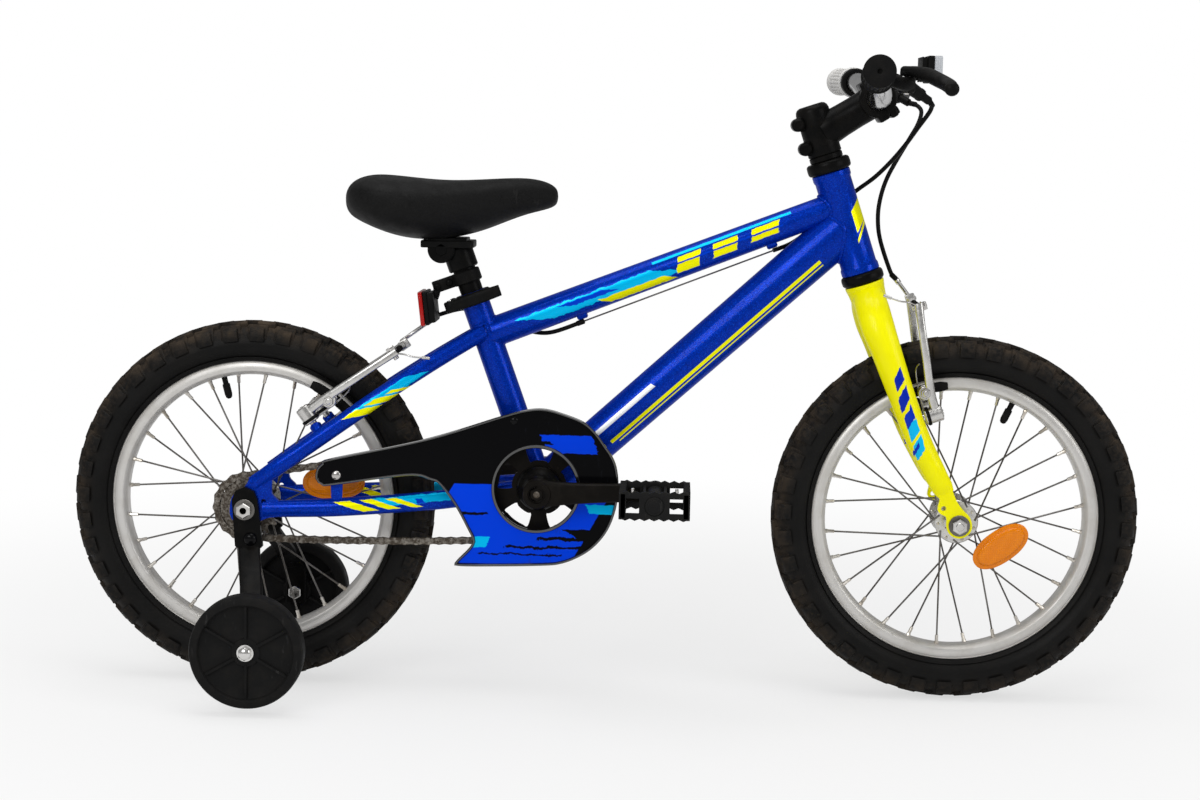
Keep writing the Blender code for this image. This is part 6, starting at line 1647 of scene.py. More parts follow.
def grip(label, side, look):
    """A rubber grip: an inner flange, raised ribs along it and a capped end with its vent hole."""
    made = Piece(f"grip_{label}_sleeve")
    start, heading = on_bar(side * GRIP_FROM)
    end, _ = on_bar(side * (GRIP_TO - 4.1))
    length = (end - start).length
    radius = GRIP_RADIUS
    inner = BAR_RADIUS + 0.2
    profile = [
        (inner, 0.0), (GRIP_FLANGE_RADIUS - 1.0, 0.0), (GRIP_FLANGE_RADIUS, 1.0), (GRIP_FLANGE_RADIUS, 3.0),
        (GRIP_FLANGE_RADIUS - 0.8, 4.2), (radius, 6.4), (radius - 0.9, 8.0),
    ]
    profile += [(radius - 0.9, length - 8.0), (radius + 0.4, length - 6.4), (radius + 0.8, length - 5.0)]
    profile += [(radius + 0.8, length + 3.0), (radius + 0.2, length + 4.4), (radius - 1.2, length + 5.0)]
    profile += [(3.4, length + 5.0), (2.6, length + 4.6), (2.4, length + 1.6), (0.0, length + 1.2)]
    made.turned(
        profile + [(0.0, length - 2.0), (inner, length - 2.0)], start, heading, look, 64, looped=True,
    )
    count = 22
    front = heading.cross(Z).normalized()
    lift = front.cross(heading)
    for i in range(count):
        angle = 2 * math.pi * i / count
        out = front * math.cos(angle) + lift * math.sin(angle)
        for low, high in ((0.12, 0.36), (0.39, 0.63), (0.66, 0.90)):
            a = start + heading * (length * low) + out * (radius - 0.5)
            b = start + heading * (length * high) + out * (radius - 0.5)
            made.tube([a, b], [(1.5, 0.62), (1.5, 0.62)], look, 8, heading.cross(out), 0.8)
    place(made.made(45.0), "steering", f"grip_{label}")


def brake_lever(label, side):
    """The perch with its clamp, screw and cable barrel, and the long blade on its pivot."""
    hold, heading = on_bar(side * 142.0)
    pivot = mirrored(LEVER_PIVOT, side)
    black = "black plastic"
    perch = Piece(f"brake_lever_perch_{label}_body")
    perch.collar(hold, heading, 16.4, BAR_RADIUS + 0.2, -7.0, 7.0, black, 48, 1.6)
    out = (pivot - hold).normalized()
    face = (out - heading * out.dot(heading)).normalized()
    knee = hold + face * 25.0 - heading * 5.0
    perch.tube(
        [hold + face * 14.5, hold + face * 18.0, knee, pivot],
        [(6.8, 6.0), (7.2, 6.4), (8.0, 7.0), (9.8, 8.0)], black, 32, power=0.85,
    )
    perch.rod(pivot - Z * 8.0, pivot + Z * 8.6, 9.2, black, 32, 1.6)
    barrel_end = mirrored((335.4, -100.0, 661.3), side)
    way = (barrel_end - pivot).normalized()
    perch.tube(
        [pivot, pivot.lerp(barrel_end, 0.3), pivot.lerp(barrel_end, 0.55)], [7.8, 7.0, 6.4], black, 32, Z,
    )
    perch.rod(pivot.lerp(barrel_end, 0.5), pivot.lerp(barrel_end, 0.66), 6.4, black, 24, 0.8)
    for i in range(16):
        angle = 2 * math.pi * i / 16
        front = way.cross(Z).normalized()
        lift = front.cross(way)
        away = front * math.cos(angle) + lift * math.sin(angle)
        a = pivot.lerp(barrel_end, 0.52) + away * 6.2
        perch.rod(a, a + way * 5.0, 0.7, black, 6, 0.2)
    perch.rod(pivot.lerp(barrel_end, 0.64), barrel_end, 4.5, black, 24, 0.6)
    screw = hold - out * 12.0
    perch.rod(screw - Z * 8.0, screw + Z * 8.0, 3.0, "polished steel", 16, 0.6)
    perch.block(screw, (9.0, 11.0, 9.0), black, out, Z, 1.2)
    place(perch.made(40.0), "steering", f"brake_lever_perch_{label}")

    blade = Piece(f"brake_lever_{label}_blade")
    points = [
        mirrored(point, side)
        for point in (
            (307.0, -121.0, 691.4), (319.0, -136.0, 690.0), (328.0, -156.0, 686.4), (335.0, -180.0, 681.4),
            (340.0, -205.0, 677.0), (342.2, -226.0, 673.4), tuple(LEVER_TIP),
        )
    ]
    eased_tube(
        blade, points, [(7.0, 5.0), (7.0, 5.8), (6.8, 7.2), (6.4, 7.4), (6.2, 7.2), (6.4, 7.4), (6.0, 7.0)],
        black, 28, 0.8, 5.0, X,
    )
    blade.turned(
        [
            (0.0, -6.6), (4.4, -6.2), (6.6, -4.4), (7.2, -1.6), (7.2, 1.6), (6.6, 4.4), (4.4, 6.2),
            (0.0, 6.6),
        ],
        mirrored(LEVER_TIP, side), Y, black, 32,
    )
    blade.rod(pivot + Z * 9.4, pivot + Z * 14.6, 7.2, black, 32, 1.2)
    blade.rod(pivot - Z * 9.6, pivot + Z * 15.4, 2.9, "polished steel", 20, 0.6)
    blade.turned(
        [(0.0, 14.4), (4.6, 14.4), (4.6, 15.6), (3.2, 16.6), (0.0, 16.8)], pivot, Z, "polished steel", 24,
    )
    place(blade.made(45.0), f"{label}_lever", f"brake_lever_{label}")


def front_reflector():
    """A clear reflector in a ribbed black back, on an arm from a clamp round the bar."""
    at, heading = on_bar(38.0)
    black = "black plastic"
    made = Piece("front_reflector_mount")
    made.collar(at, heading, 15.4, BAR_RADIUS + 0.2, -6.0, 6.0, black, 48, 1.2)
    arm = [at + Vector((11.0, 0.0, 6.0)), at + Vector((30.0, 0.0, 18.0)), (346.0, 29.0, 693.5)]
    eased_tube(made, arm, [(5.0, 3.4), (5.0, 3.2), (5.0, 4.0)], black, 24, 0.8, 5.0)
    made.block((346.4, 10.0, 696.5), (7.0, 52.0, 29.0), black, ease=1.2)
    made.block((340.6, 10.0, 696.5), (7.0, 46.0, 24.0), black, ease=1.2)
    for x in (337.4, 340.6, 343.8):
        made.block((x, 10.0, 696.5), (1.4, 48.0, 26.5), black, ease=0.4)
    made.rod(at - X * 4.0 - Z * 15.0, at - X * 4.0 + Z * 14.0, 2.6, "polished steel", 16)
    place(made.made(40.0), "steering", "front_reflector_bracket")
    lens = Piece("front_reflector_lens")
    lens.block((354.1, 10.0, 697.0), (9.0, 50.0, 28.0), "clear lens", ease=1.6)
    place(lens.made(40.0), "steering", "front_reflector")


# Brakes


def arm_frame(end):
    if end == "front":
        return steered(FRONT_PIVOT_S), STEER_UP, STEER_AHEAD, FRONT_AXLE
    return REAR_PIVOT, STAY_UP, STAY_OUT, REAR_AXLE


def brake_side(end, label, side):
    """One arm with its pivot, spring, pad stud and cable wire, and the curved rubber pad."""
    base, up, out, axle = arm_frame(end)
    silver = "bright alloy"

    def at(s, n, y):
        return base + up * s + out * n + Y * (side * y)

    lean = 15.0 if end == "front" else -2.0
    made = Piece(f"{end}_brake_arm_{label}_lever")
    made.collar(at(0.0, 0.0, ARM_Y), out, 9.0, 4.1, 18.4, 38.0, silver, 40, 1.0)
    made.collar(at(0.0, 0.0, ARM_Y), out, 10.4, 8.6, 20.4, 24.0, "black plastic", 40, 0.6)
    made.turned(
        [(0.0, 37.6), (5.6, 37.6), (5.6, 38.8), (3.4, 38.8), (3.0, 39.4), (0.0, 39.4)], at(0.0, 0.0, ARM_Y),
        out, "polished steel", 24,
    )
    spine = [
        at(2.0, ARM_NORMAL - 1.0, ARM_Y + 1.0), at(26.0, ARM_NORMAL, ARM_Y + 3.0),
        at(60.0, ARM_NORMAL + lean * 0.35, ARM_Y + 6.5),
        at(95.0, ARM_NORMAL + lean * 0.7, ARM_Y + 6.0), at(ARM_LENGTH, ARM_NORMAL + lean, ARM_Y + 2.0),
    ]
    eased_tube(
        made, spine, [(5.6, 5.2), (5.0, 5.0), (3.8, 4.6), (3.4, 4.2), (4.4, 4.8)], silver, 24, 0.74, 5.0,
    )
    band = RIM_OUTER_RADIUS - PAD_DEPTH
    pad_at = axle + (at(PAD_HEIGHT, 0.0, 0.0) + out * (ARM_NORMAL - 6.0) - axle).normalized() * band
    inner = RIM_HALF_WIDTH + PAD_GAP
    stud = [
        Vector((pad_at.x, side * y, pad_at.z)) for y in (
            inner + 6.0, ARM_Y - 5.0, ARM_Y + 9.0, ARM_Y + 12.0,
        )
    ]
    made.rod(stud[0], stud[3], 3.0, "polished steel", 20, 0.6)
    out_way = Y * side
    foot = Vector((pad_at.x, 0.0, pad_at.z))
    for start, stop, radius, look in (
        (ARM_Y - 8.0, ARM_Y - 4.4, 7.6, "polished steel"), (ARM_Y - 4.4, ARM_Y - 1.6, 6.4, "black plastic"),
        (ARM_Y + 3.0, ARM_Y + 5.4, 6.4, "black plastic"), (ARM_Y + 5.4, ARM_Y + 6.6, 7.6, "polished steel"),
    ):
        made.turned(
            [
                (0.0, start), (radius - 0.6, start), (radius, start + 0.6), (radius, stop - 0.6),
                (radius - 0.6, stop), (0.0, stop),
            ],
            foot, out_way, look, 28,
        )
    made.hexagon(foot, out_way, 10.0, ARM_Y + 6.4, ARM_Y + 10.2, "polished steel")
    spring = [
        at(6.0, 20.0, ARM_Y - 8.5), at(30.0, 21.0, ARM_Y - 9.5), at(52.0, 24.0, ARM_Y - 4.0),
        at(58.0, 29.0, ARM_Y + 3.0),
    ]
    made.tube(smooth_path(spring, 4.0), 1.0, "polished steel", 10)
    end_at = at(ARM_LENGTH - 4.0, ARM_NORMAL + lean, ARM_Y)
    if side < 0:
        made.rod(end_at, Vector((end_at.x, 26.0, end_at.z)), 0.9, "polished steel", 12, 0.2)
        made.hexagon(end_at, out, 9.0, 3.0, 8.0, "polished steel")
        made.rod(end_at - out * 7.6, end_at + out * 4.0, 3.0, "polished steel", 20, 0.5)
        made.collar(end_at, out, 5.6, 2.4, 1.6, 3.2, "polished steel", 28, 0.3)
        boot = Vector((end_at.x, 0.0, end_at.z))
        for i in range(7):
            y = -16.0 + i * 5.2
            made.turned(
                [
                    (0.0, y - 2.7), (2.2, y - 2.7), (3.4, y - 1.0), (3.4, y + 1.0), (2.2, y + 2.7),
                    (0.0, y + 2.7),
                ],
                boot, Y, "black rubber", 20,
            )
        tail = {"front": (308.6, 450.3), "rear": (-199.1, 374.2)}[end]
        tip = Vector((tail[0], end_at.y - 9.0, tail[1]))
        drop = [end_at, end_at.lerp(tip, 0.35) - Y * 5.0 + up * 2.0, end_at.lerp(tip, 0.7) - Y * 4.0, tip]
        path = smooth_path(drop, 3.0)
        made.tube(path, 0.9, "polished steel", 10)
        made.rod(
            path[-1], path[-1] + (path[-1] - path[-2]).normalized() * 9.0, 1.7, "polished steel", 16, 0.5,
        )
    else:
        cradle = at(ARM_LENGTH - 2.0, ARM_NORMAL + lean, ARM_Y + 3.0)
        made.block(cradle, (12.0, 6.0, 11.0), silver, up, out, 1.6)
    place(made.made(42.0), f"{end}_{label}_brake", f"{end}_brake_arm_{label}")

    round_rim = Vector((-(pad_at.z - axle.z), 0.0, pad_at.x - axle.x)).normalized()
    rings = []
    for i in range(25):
        part = i / 24
        sweep = (part - 0.5) * 56.0 / band
        middle = axle + (pad_at - axle) * math.cos(sweep) + round_rim * band * math.sin(sweep)
        middle.y = side * (inner + 4.0)
        down = (axle - Vector((middle.x, 0.0, middle.z))).normalized()
        tall = 5.2 * min(1.0, 0.72 + 2.2 * min(part, 1.0 - part))
        deep = 4.0 if i % 5 else 3.5
        ring = [
            middle + down * a * tall + Y * side * b * deep
            for a, b in (
                (-0.94, -1), (0.94, -1), (1, -0.8), (1, 0.5), (0.86, 0.8), (0.55, 1), (-0.55, 1),
                (-0.86, 0.8), (-1, 0.5), (-1, -0.8),
            )
        ]
        rings.append(ring)
    pad = Piece(f"{end}_brake_pad_{label}_block")
    pad.loft(rings, "black rubber")
    pad.rod(
        Vector((pad_at.x, side * (inner + 3.0), pad_at.z)),
        Vector((pad_at.x, side * (inner + 11.0), pad_at.z)), 5.2, "black rubber", 24, 0.8,
    )
    place(pad.made(40.0), f"{end}_{label}_brake", f"{end}_brake_pad_{label}")


def noodle(end, body):
    """The bent pipe that brings a housing round into the left arm; returns its open end and heading."""
    base, up, out, _ = arm_frame(end)
    lean = 15.0 if end == "front" else -2.0
    route = (
        (160.0, 0.62, 51.0), (148.0, 0.72, 57.0), (134.0, 0.86, 60.5), (124.0, 0.96, 58.5),
        (ARM_LENGTH - 2.5, 1.0, 53.5),
        (ARM_LENGTH - 3.0, 1.0, ARM_Y + 8.2),
    )
    points = [
        base + up * s + out * (ARM_NORMAL + 4.0 + (lean + 1.0) * part) + Y * y for s, part, y in route
    ]
    if end == "front":
        points[:3] = [
            Vector((321.5, 38.0, 465.5)), Vector((331.0, 45.0, 454.0)), Vector((340.0, 51.0, 443.5)),
        ]
        del points[3]
    path = smooth_path(points, 2.5)
    way = (path[0] - path[1]).normalized()
    made = Piece(f"{end}_brake_noodle_pipe")
    made.tube(path, 2.3, "bright alloy", 20)
    made.rod(path[0] - way * 7.0, path[0], 3.2, "bright alloy", 24, 0.6)
    place(made.made(45.0), body, f"{end}_brake_noodle")
    return path[0], way


def housing(name, points, wire=()):
    """A cable housing on a smooth path, with any stretch of bare wire beyond it."""
    made = Piece(f"{name}_housing")
    path = smooth_path([Vector(point) for point in points], 3.5)
    made.tube(path, 2.4, "cable housing", 20)
    for tip, inner in ((path[0], path[2]), (path[-1], path[-3])):
        made.rod(tip, tip + (inner - tip).normalized() * 9.0, 3.0, "black plastic", 20, 0.5)
    if wire:
        made.rod(wire[0], wire[1], 0.9, "spoke steel", 12, 0.1)
    return made


def under_top_tube(x, below):
    """A point below the underside of the top tube."""
    start, end = TOP_TUBE_ENDS
    part = (x - start.x) / (end.x - start.x)
    slope = (end - start).normalized()
    radius = TOP_TUBE_RADII[0] + (TOP_TUBE_RADII[1] - TOP_TUBE_RADII[0]) * part
    return start.lerp(end, part) + Vector((slope.z, 0.0, -slope.x)) * (radius + below)


def brake_cables():
    """Both brake cables: the front one to the fork, the rear one under the top tube to the stays."""
    front_end, front_way = noodle("front", "steering")
    rear_end, rear_way = noodle("rear", "frame")
    front = [
        (336.0, 99.5, 661.0), (343.0, 94.0, 659.0), (348.0, 84.0, 652.0), (343.0, 66.0, 638.0),
        (331.0, 44.0, 620.0),
        (317.0, 28.0, 598.0), (306.0, 22.0, 577.0), (299.6, 20.0, 556.0), (297.6, 21.0, 534.0),
        (301.5, 26.0, 509.0),
        front_end + front_way * 12.0, front_end,
    ]
    place(housing("front_brake_cable", front).made(45.0), "steering", "front_brake_cable")
    loop = [
        (336.0, -99.5, 661.0), (339.0, -95.0, 657.5), (338.0, -86.0, 650.0), (329.0, -64.0, 633.5),
        (319.0, -38.0, 615.0),
        (307.0, -14.0, 597.0), (292.0, 10.0, 579.0), (276.0, 28.0, 565.0), (262.0, 32.0, 553.5),
    ]
    name = "rear_brake_cable_loop"
    made = housing(name, loop).made(45.0)
    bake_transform(made)
    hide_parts(name)
    below = GUIDE_DEPTH + 2.4
    low = under_top_tube(GUIDES_X[0], below)
    high = under_top_tube(GUIDES_X[1], below)
    rear = [
        low, (-62.0, 8.0, 399.5), (-90.0, 22.5, 400.0), (-115.0, 27.0, 409.0), (-138.0, 26.5, 417.5),
        (-160.0, 26.0, 422.5),
    ]
    rear += [rear_end + rear_way * 12.0, rear_end]
    made = housing("rear_brake_cable", rear, (low, high))
    upper = smooth_path(
        [
            Vector(p) for p in (
                (261.7, 32.1, 553.2), (246.0, 33.0, 540.0), (226.0, 30.0, 521.0), (204.0, 18.0, 504.5),
                high,
            )
        ],
        3.5,
    )
    made.tube(upper, 2.4, "cable housing", 20)
    place(made.made(45.0), "frame", "rear_brake_cable")


# Drive


def chain_line():
    """The chain's pitch line all the way round, as points in its own plane."""
    cog_radius = CHAIN_PITCH / (2 * math.sin(math.pi / COG_TEETH))
    ring_radius = CHAIN_PITCH / (2 * math.sin(math.pi / RING_TEETH))
    cog = Vector((REAR_AXLE.x, REAR_AXLE.z))
    wheel = Vector((CRANK_CENTRE.x, CRANK_CENTRE.z))
    between = wheel - cog
    slope = math.atan2(between.y, between.x)
    wrap = math.asin((ring_radius - cog_radius) / between.length)
    upper = slope + math.pi / 2 + wrap
    lower = slope - math.pi / 2 - wrap

    def spot(centre, radius, angle):
        return centre + Vector((math.cos(angle), math.sin(angle))) * radius

    points = []
    for i in range(121):
        points.append(spot(wheel, ring_radius, upper + (lower - upper) * i / 120))
    start = points[-1]
    stop = spot(cog, cog_radius, lower)
    for i in range(1, 60):
        t = i / 60
        point = start.lerp(stop, t)
        point.y -= CHAIN_SAG * 4 * t * (1 - t)
        points.append(point)
    for i in range(91):
        points.append(spot(cog, cog_radius, lower + (upper - 2 * math.pi - lower) * i / 90))
    start = points[-1]
    stop = points[0]
    for i in range(1, 60):
        points.append(start.lerp(stop, i / 60))
    return [Vector((point.x, CHAIN_Y, point.y)) for point in points]


def chain_link(name, outer):
    """One link at the origin, laid along x: a pair of waisted plates with a roller and pin at each end."""
    made = Piece(name)
    half = CHAIN_PITCH / 2
    outline = []
    for i in range(28):
        angle = 2 * math.pi * i / 28
        c = math.cos(angle)
        s = math.sin(angle)
        x = math.copysign(half, c) + 4.1 * c if abs(c) > 0.25 else c / 0.25 * (half + 1.0)
        z = 4.1 * s if abs(c) > 0.25 else math.copysign(3.1 + 1.0 * abs(c) / 0.25, s)
        outline.append((x, z))
    low = 2.5 if outer else 1.6
    thick = 0.9
    for side in (-1, 1):
        made.plate(outline, side * low, side * (low + thick), "oiled chain")
    reach, radius, steps = (3.7, 1.7, 8) if outer else (1.7, 3.5, 10)
    for x in (-half, half):
        made.rod(Vector((x, -reach, 0.0)), Vector((x, reach, 0.0)), radius, "oiled chain", steps, 0.2)
    return made.made()


def chain():
    """The roller chain: inner and outer links in turn along its pitch line."""
    line = bpy.data.curves.new("chain_line", "CURVE")
    line.dimensions = "3D"
    points = chain_line()
    length = sum((b - a).length for a, b in zip(points, points[1:] + points[:1]))
    count = 2 * round(length / CHAIN_PITCH / 2)
    spline = line.splines.new("POLY")
    spline.use_cyclic_u = True
    spline.points.add(len(points) - 1)
    for slot, point in zip(spline.points, points):
        slot.co = (*(point * MM), 1.0)
    carrier = bpy.data.objects.new("chain_links", line)
    bpy.context.scene.collection.objects.link(carrier)
    inner = chain_link("inner_link", False)
    outer = chain_link("outer_link", True)
    values = {"First Link": inner, "Second Link": outer, "Count": count, "Finish": LOOKS["oiled chain"]}
    links = worked(carrier, PATH_COPIES, values)
    bpy.data.objects.remove(inner, do_unlink=True)
    bpy.data.objects.remove(outer, do_unlink=True)
    place(links, "frame", "chain")


def sprocket(made, centre, teeth, look, holes):
    """A toothed disc with rounded roots for the rollers."""
    radius = CHAIN_PITCH / (2 * math.sin(math.pi / teeth))
    outline = []
    for i in range(teeth):
        for part, out in (
            (-0.5, 2.3), (-0.42, 2.3), (-0.30, -1.4), (-0.17, -3.4), (0.0, -4.1), (0.17, -3.4),
            (0.30, -1.4), (0.42, 2.3),
        ):
            angle = 2 * math.pi * (i + part) / teeth
            outline.append(
                (centre.x + (radius + out) * math.cos(angle), centre.z + (radius + out) * math.sin(angle))
            )
    half = SPROCKET_THICKNESS / 2
    made.plate(outline, CHAIN_Y - half, CHAIN_Y + half, look, holes)


def curved_slot(centre, angle, sweep, inner, outer):
    """A rounded opening that follows a circle, as (x, z) points."""
    turns = [angle + sweep * (i / 6 - 0.5) for i in range(7)]
    corners = [(centre.x + outer * math.cos(turn), centre.z + outer * math.sin(turn)) for turn in turns]
    corners += [
        (centre.x + inner * math.cos(turn), centre.z + inner * math.sin(turn)) for turn in reversed(turns)
    ]
    return arc_outline(corners, 2.0)


def drive():
    """The cog, the chainring with its dome and bolt, the spindle, the cranks and the pedals."""
    cog = Piece("rear_cog_teeth")
    at = (REAR_AXLE.x, REAR_AXLE.z)
    sprocket(cog, REAR_AXLE, COG_TEETH, "oiled chain", [round_hole(at, 17.3, 48)])
    for outer, inner, start, end in ((24.0, 17.3, 36.0, 40.6), (22.0, 17.3, 43.2, 45.4)):
        cog.collar(REAR_AXLE, -Y, outer, inner, start, end, "oiled chain", 48, 0.6)
    place(cog.made(), "freewheel", "rear_cog")

    ring = Piece("chainring_teeth")
    holes = [round_hole((CRANK_CENTRE.x, CRANK_CENTRE.z), 9.0, 40)]
    for i in range(5):
        angle = math.radians(18.0 + 72.0 * i)
        holes.append(curved_slot(CRANK_CENTRE, angle, math.radians(40.0), 30.5, 45.0))
    sprocket(ring, CRANK_CENTRE, RING_TEETH, "worn black steel", holes)
    dome = [
        (8.7, 40.6), (24.0, 40.6), (24.8, 42.0), (25.0, 45.0), (24.2, 50.0), (22.0, 54.4), (19.4, 57.6),
        (17.2, 60.6),
        (16.0, 64.0), (15.2, 68.0), (8.7, 68.0),
    ]
    ring.turned(dome, CRANK_CENTRE, -Y, "satin black steel", 64, looped=True)
    place(ring.made(40.0), "crank", "chainring")

    spindle = Piece("crank_spindle_rod")
    spindle.rod(CRANK_CENTRE - Y * 79.0, CRANK_CENTRE + Y * 79.0, 8.0, "polished steel", 40, 1.0)
    place(spindle.made(), "crank", "crank_spindle")
    for label, side in SIDES:
        crank_arm(label, side)
        pedal(label, side)


def crank_arm(label, side):
    """A forged arm, squared and slightly hollow along its face, with its bolt and pedal pin."""
    look = "worn black steel"
    made = Piece(f"crank_arm_{label}_forging")
    ahead = 1 if side < 0 else -1
    angle = math.radians(2.2)
    heading = Vector((math.cos(angle), 0.0, math.sin(angle))) * ahead
    lift = Vector((-heading.z, 0.0, heading.x))
    start = CRANK_CENTRE + Y * side * CRANK_Y
    eye = start + heading * CRANK_LENGTH
    half = 6.5
    out = Y * side
    stations = (
        (0.0, 14.2, half), (8.0, 14.0, half), (20.0, 12.8, half), (40.0, 11.2, half - 0.4),
        (60.0, 10.4, half - 0.6),
        (85.0, 9.9, half - 0.6), (102.0, 10.0, half - 0.5), (118.0, 11.4, half), (128.0, 11.6, half),
    )
    rings = []
    for at, wide, thick in stations:
        flat = []
        for a, b in (
            (-1.0, -0.62), (-0.86, -0.9), (-0.6, -1.0), (0.6, -1.0), (0.86, -0.9), (1.0, -0.62),
            (1.0, 0.62), (0.86, 0.9),
            (0.5, 1.0), (0.2, 0.86), (-0.2, 0.86), (-0.5, 1.0), (-0.86, 0.9), (-1.0, 0.62),
        ):
            flat.append(start + heading * at + lift * (wide * a) + out * (thick * b))
        rings.append(flat)
    made.loft(rings, look)
    boss = [
        (8.1, 69.0), (14.6, 69.0), (15.4, 70.0), (15.5, CRANK_Y + half - 0.6), (14.6, CRANK_Y + half + 0.9),
        (10.6, CRANK_Y + half + 1.0), (9.8, CRANK_Y + half - 1.6), (8.1, CRANK_Y + half - 1.6),
    ]
    made.turned(boss, CRANK_CENTRE, out, look, 56, looped=True)
    made.hexagon(CRANK_CENTRE, out, 13.6, 78.6, CRANK_Y + half + 0.6, "worn black steel")
    made.turned([(0.0, 88.6), (4.4, 88.6), (3.6, 89.6), (0.0, 89.9)], CRANK_CENTRE, out, "oiled chain", 24)
    lip = CRANK_Y + half
    made.turned(
        [(9.9, lip - 1.0), (11.6, lip - 1.0), (11.6, lip + 1.4), (9.9, lip + 1.4)], CRANK_CENTRE, out,
        "worn black steel", 48, looped=True,
    )
    made.turned(
        [(0.0, -half), (11.2, -half), (12.0, -half + 0.8), (12.0, half - 0.8), (11.2, half), (0.0, half)],
        eye, out, look, 48,
    )
    made.turned(
        [(0.0, half), (8.0, half), (8.0, half + 3.2), (7.2, half + 3.6), (0.0, half + 3.6)], eye, out,
        "polished steel", 36,
    )
    made.rod(eye, eye + out * (PEDAL_TO_Y - CRANK_Y - 8.0), 4.7, "polished steel", 24)
    place(made.made(38.0), "crank", f"crank_arm_{label}")


def pedal(label, side):
    """A platform pedal: two toothed cage plates, end bars and the barrel round the pin."""
    look = "pedal plastic"
    eye = PEDAL_EYES[label]
    made = Piece(f"pedal_{label}_cage")
    near = PEDAL_FROM_Y
    far = PEDAL_TO_Y
    middle = (near + far) / 2
    wide = far - near
    for end in (-1, 1):
        outline = []
        x = eye.x + end * (PEDAL_LENGTH / 2 - 3.2)
        teeth = 7
        length = wide - 2.0
        for i in range(teeth * 2 + 1):
            y = -length / 2 + length * i / (teeth * 2)
            outline.append((y, 15.4 if i % 2 else 12.8))
        outline += [(y, -z) for y, z in reversed(outline)]
        rings = []
        for thick in (-3.4, 3.4):
            rings.append([Vector((x + thick, side * (middle + y), eye.z + z)) for y, z in outline])
        made.loft(rings, look)
    reach = PEDAL_LENGTH / 2 - 1.5
    teeth = [(-reach + 2 * reach * i / 14, 15.6 if i % 2 else 13.4) for i in range(15)]
    for y in (near + 1.0, far - 6.0):
        outline = [(eye.x + x, eye.z + z) for x, z in teeth] + [
            (eye.x + x, eye.z - z) for x, z in reversed(teeth)
        ]
        holes = [round_hole((eye.x, eye.z), 10.4, 40)]
        for x in (-23.0, 23.0):
            corners = [(x - 7.0, -8.0), (x + 7.0, -8.0), (x + 7.0, 8.0), (x - 7.0, 8.0)]
            holes.append([(eye.x + a, eye.z + b) for a, b in corners])
        made.plate(outline, side * y, side * (y + 5.0), look, holes)
    made.collar(Vector((eye.x, 0.0, eye.z)), Y * side, 10.6, 5.0, near + 0.4, far - 0.6, look, 40, 1.4)
    for x in (-11.0, 11.0):
        made.block((eye.x + x, side * middle, eye.z), (3.2, wide - 10.0, 21.0), look, ease=0.8)
    for x in (-23.0, 23.0):
        made.rod(
            (eye.x + x, side * (far - 4.0), eye.z + 13.0), (eye.x + x, side * (far - 4.0), eye.z + 18.6),
            1.8, "polished steel", 16, 0.4,
        )
    for end in (-1, 1):
        face = eye.x + end * (PEDAL_LENGTH / 2 - 0.6)
        made.block((face, side * middle, eye.z), (1.6, 44.0, 14.0), "amber lens", ease=0.5)
    made.turned(
        [(0.0, far - 1.2), (7.6, far - 1.2), (7.0, far - 0.2), (0.0, far)], Vector((eye.x, 0.0, eye.z)),
        Y * side, look, 32,
    )
    place(made.made(38.0, 0.5), f"{label}_pedal", f"pedal_{label}")


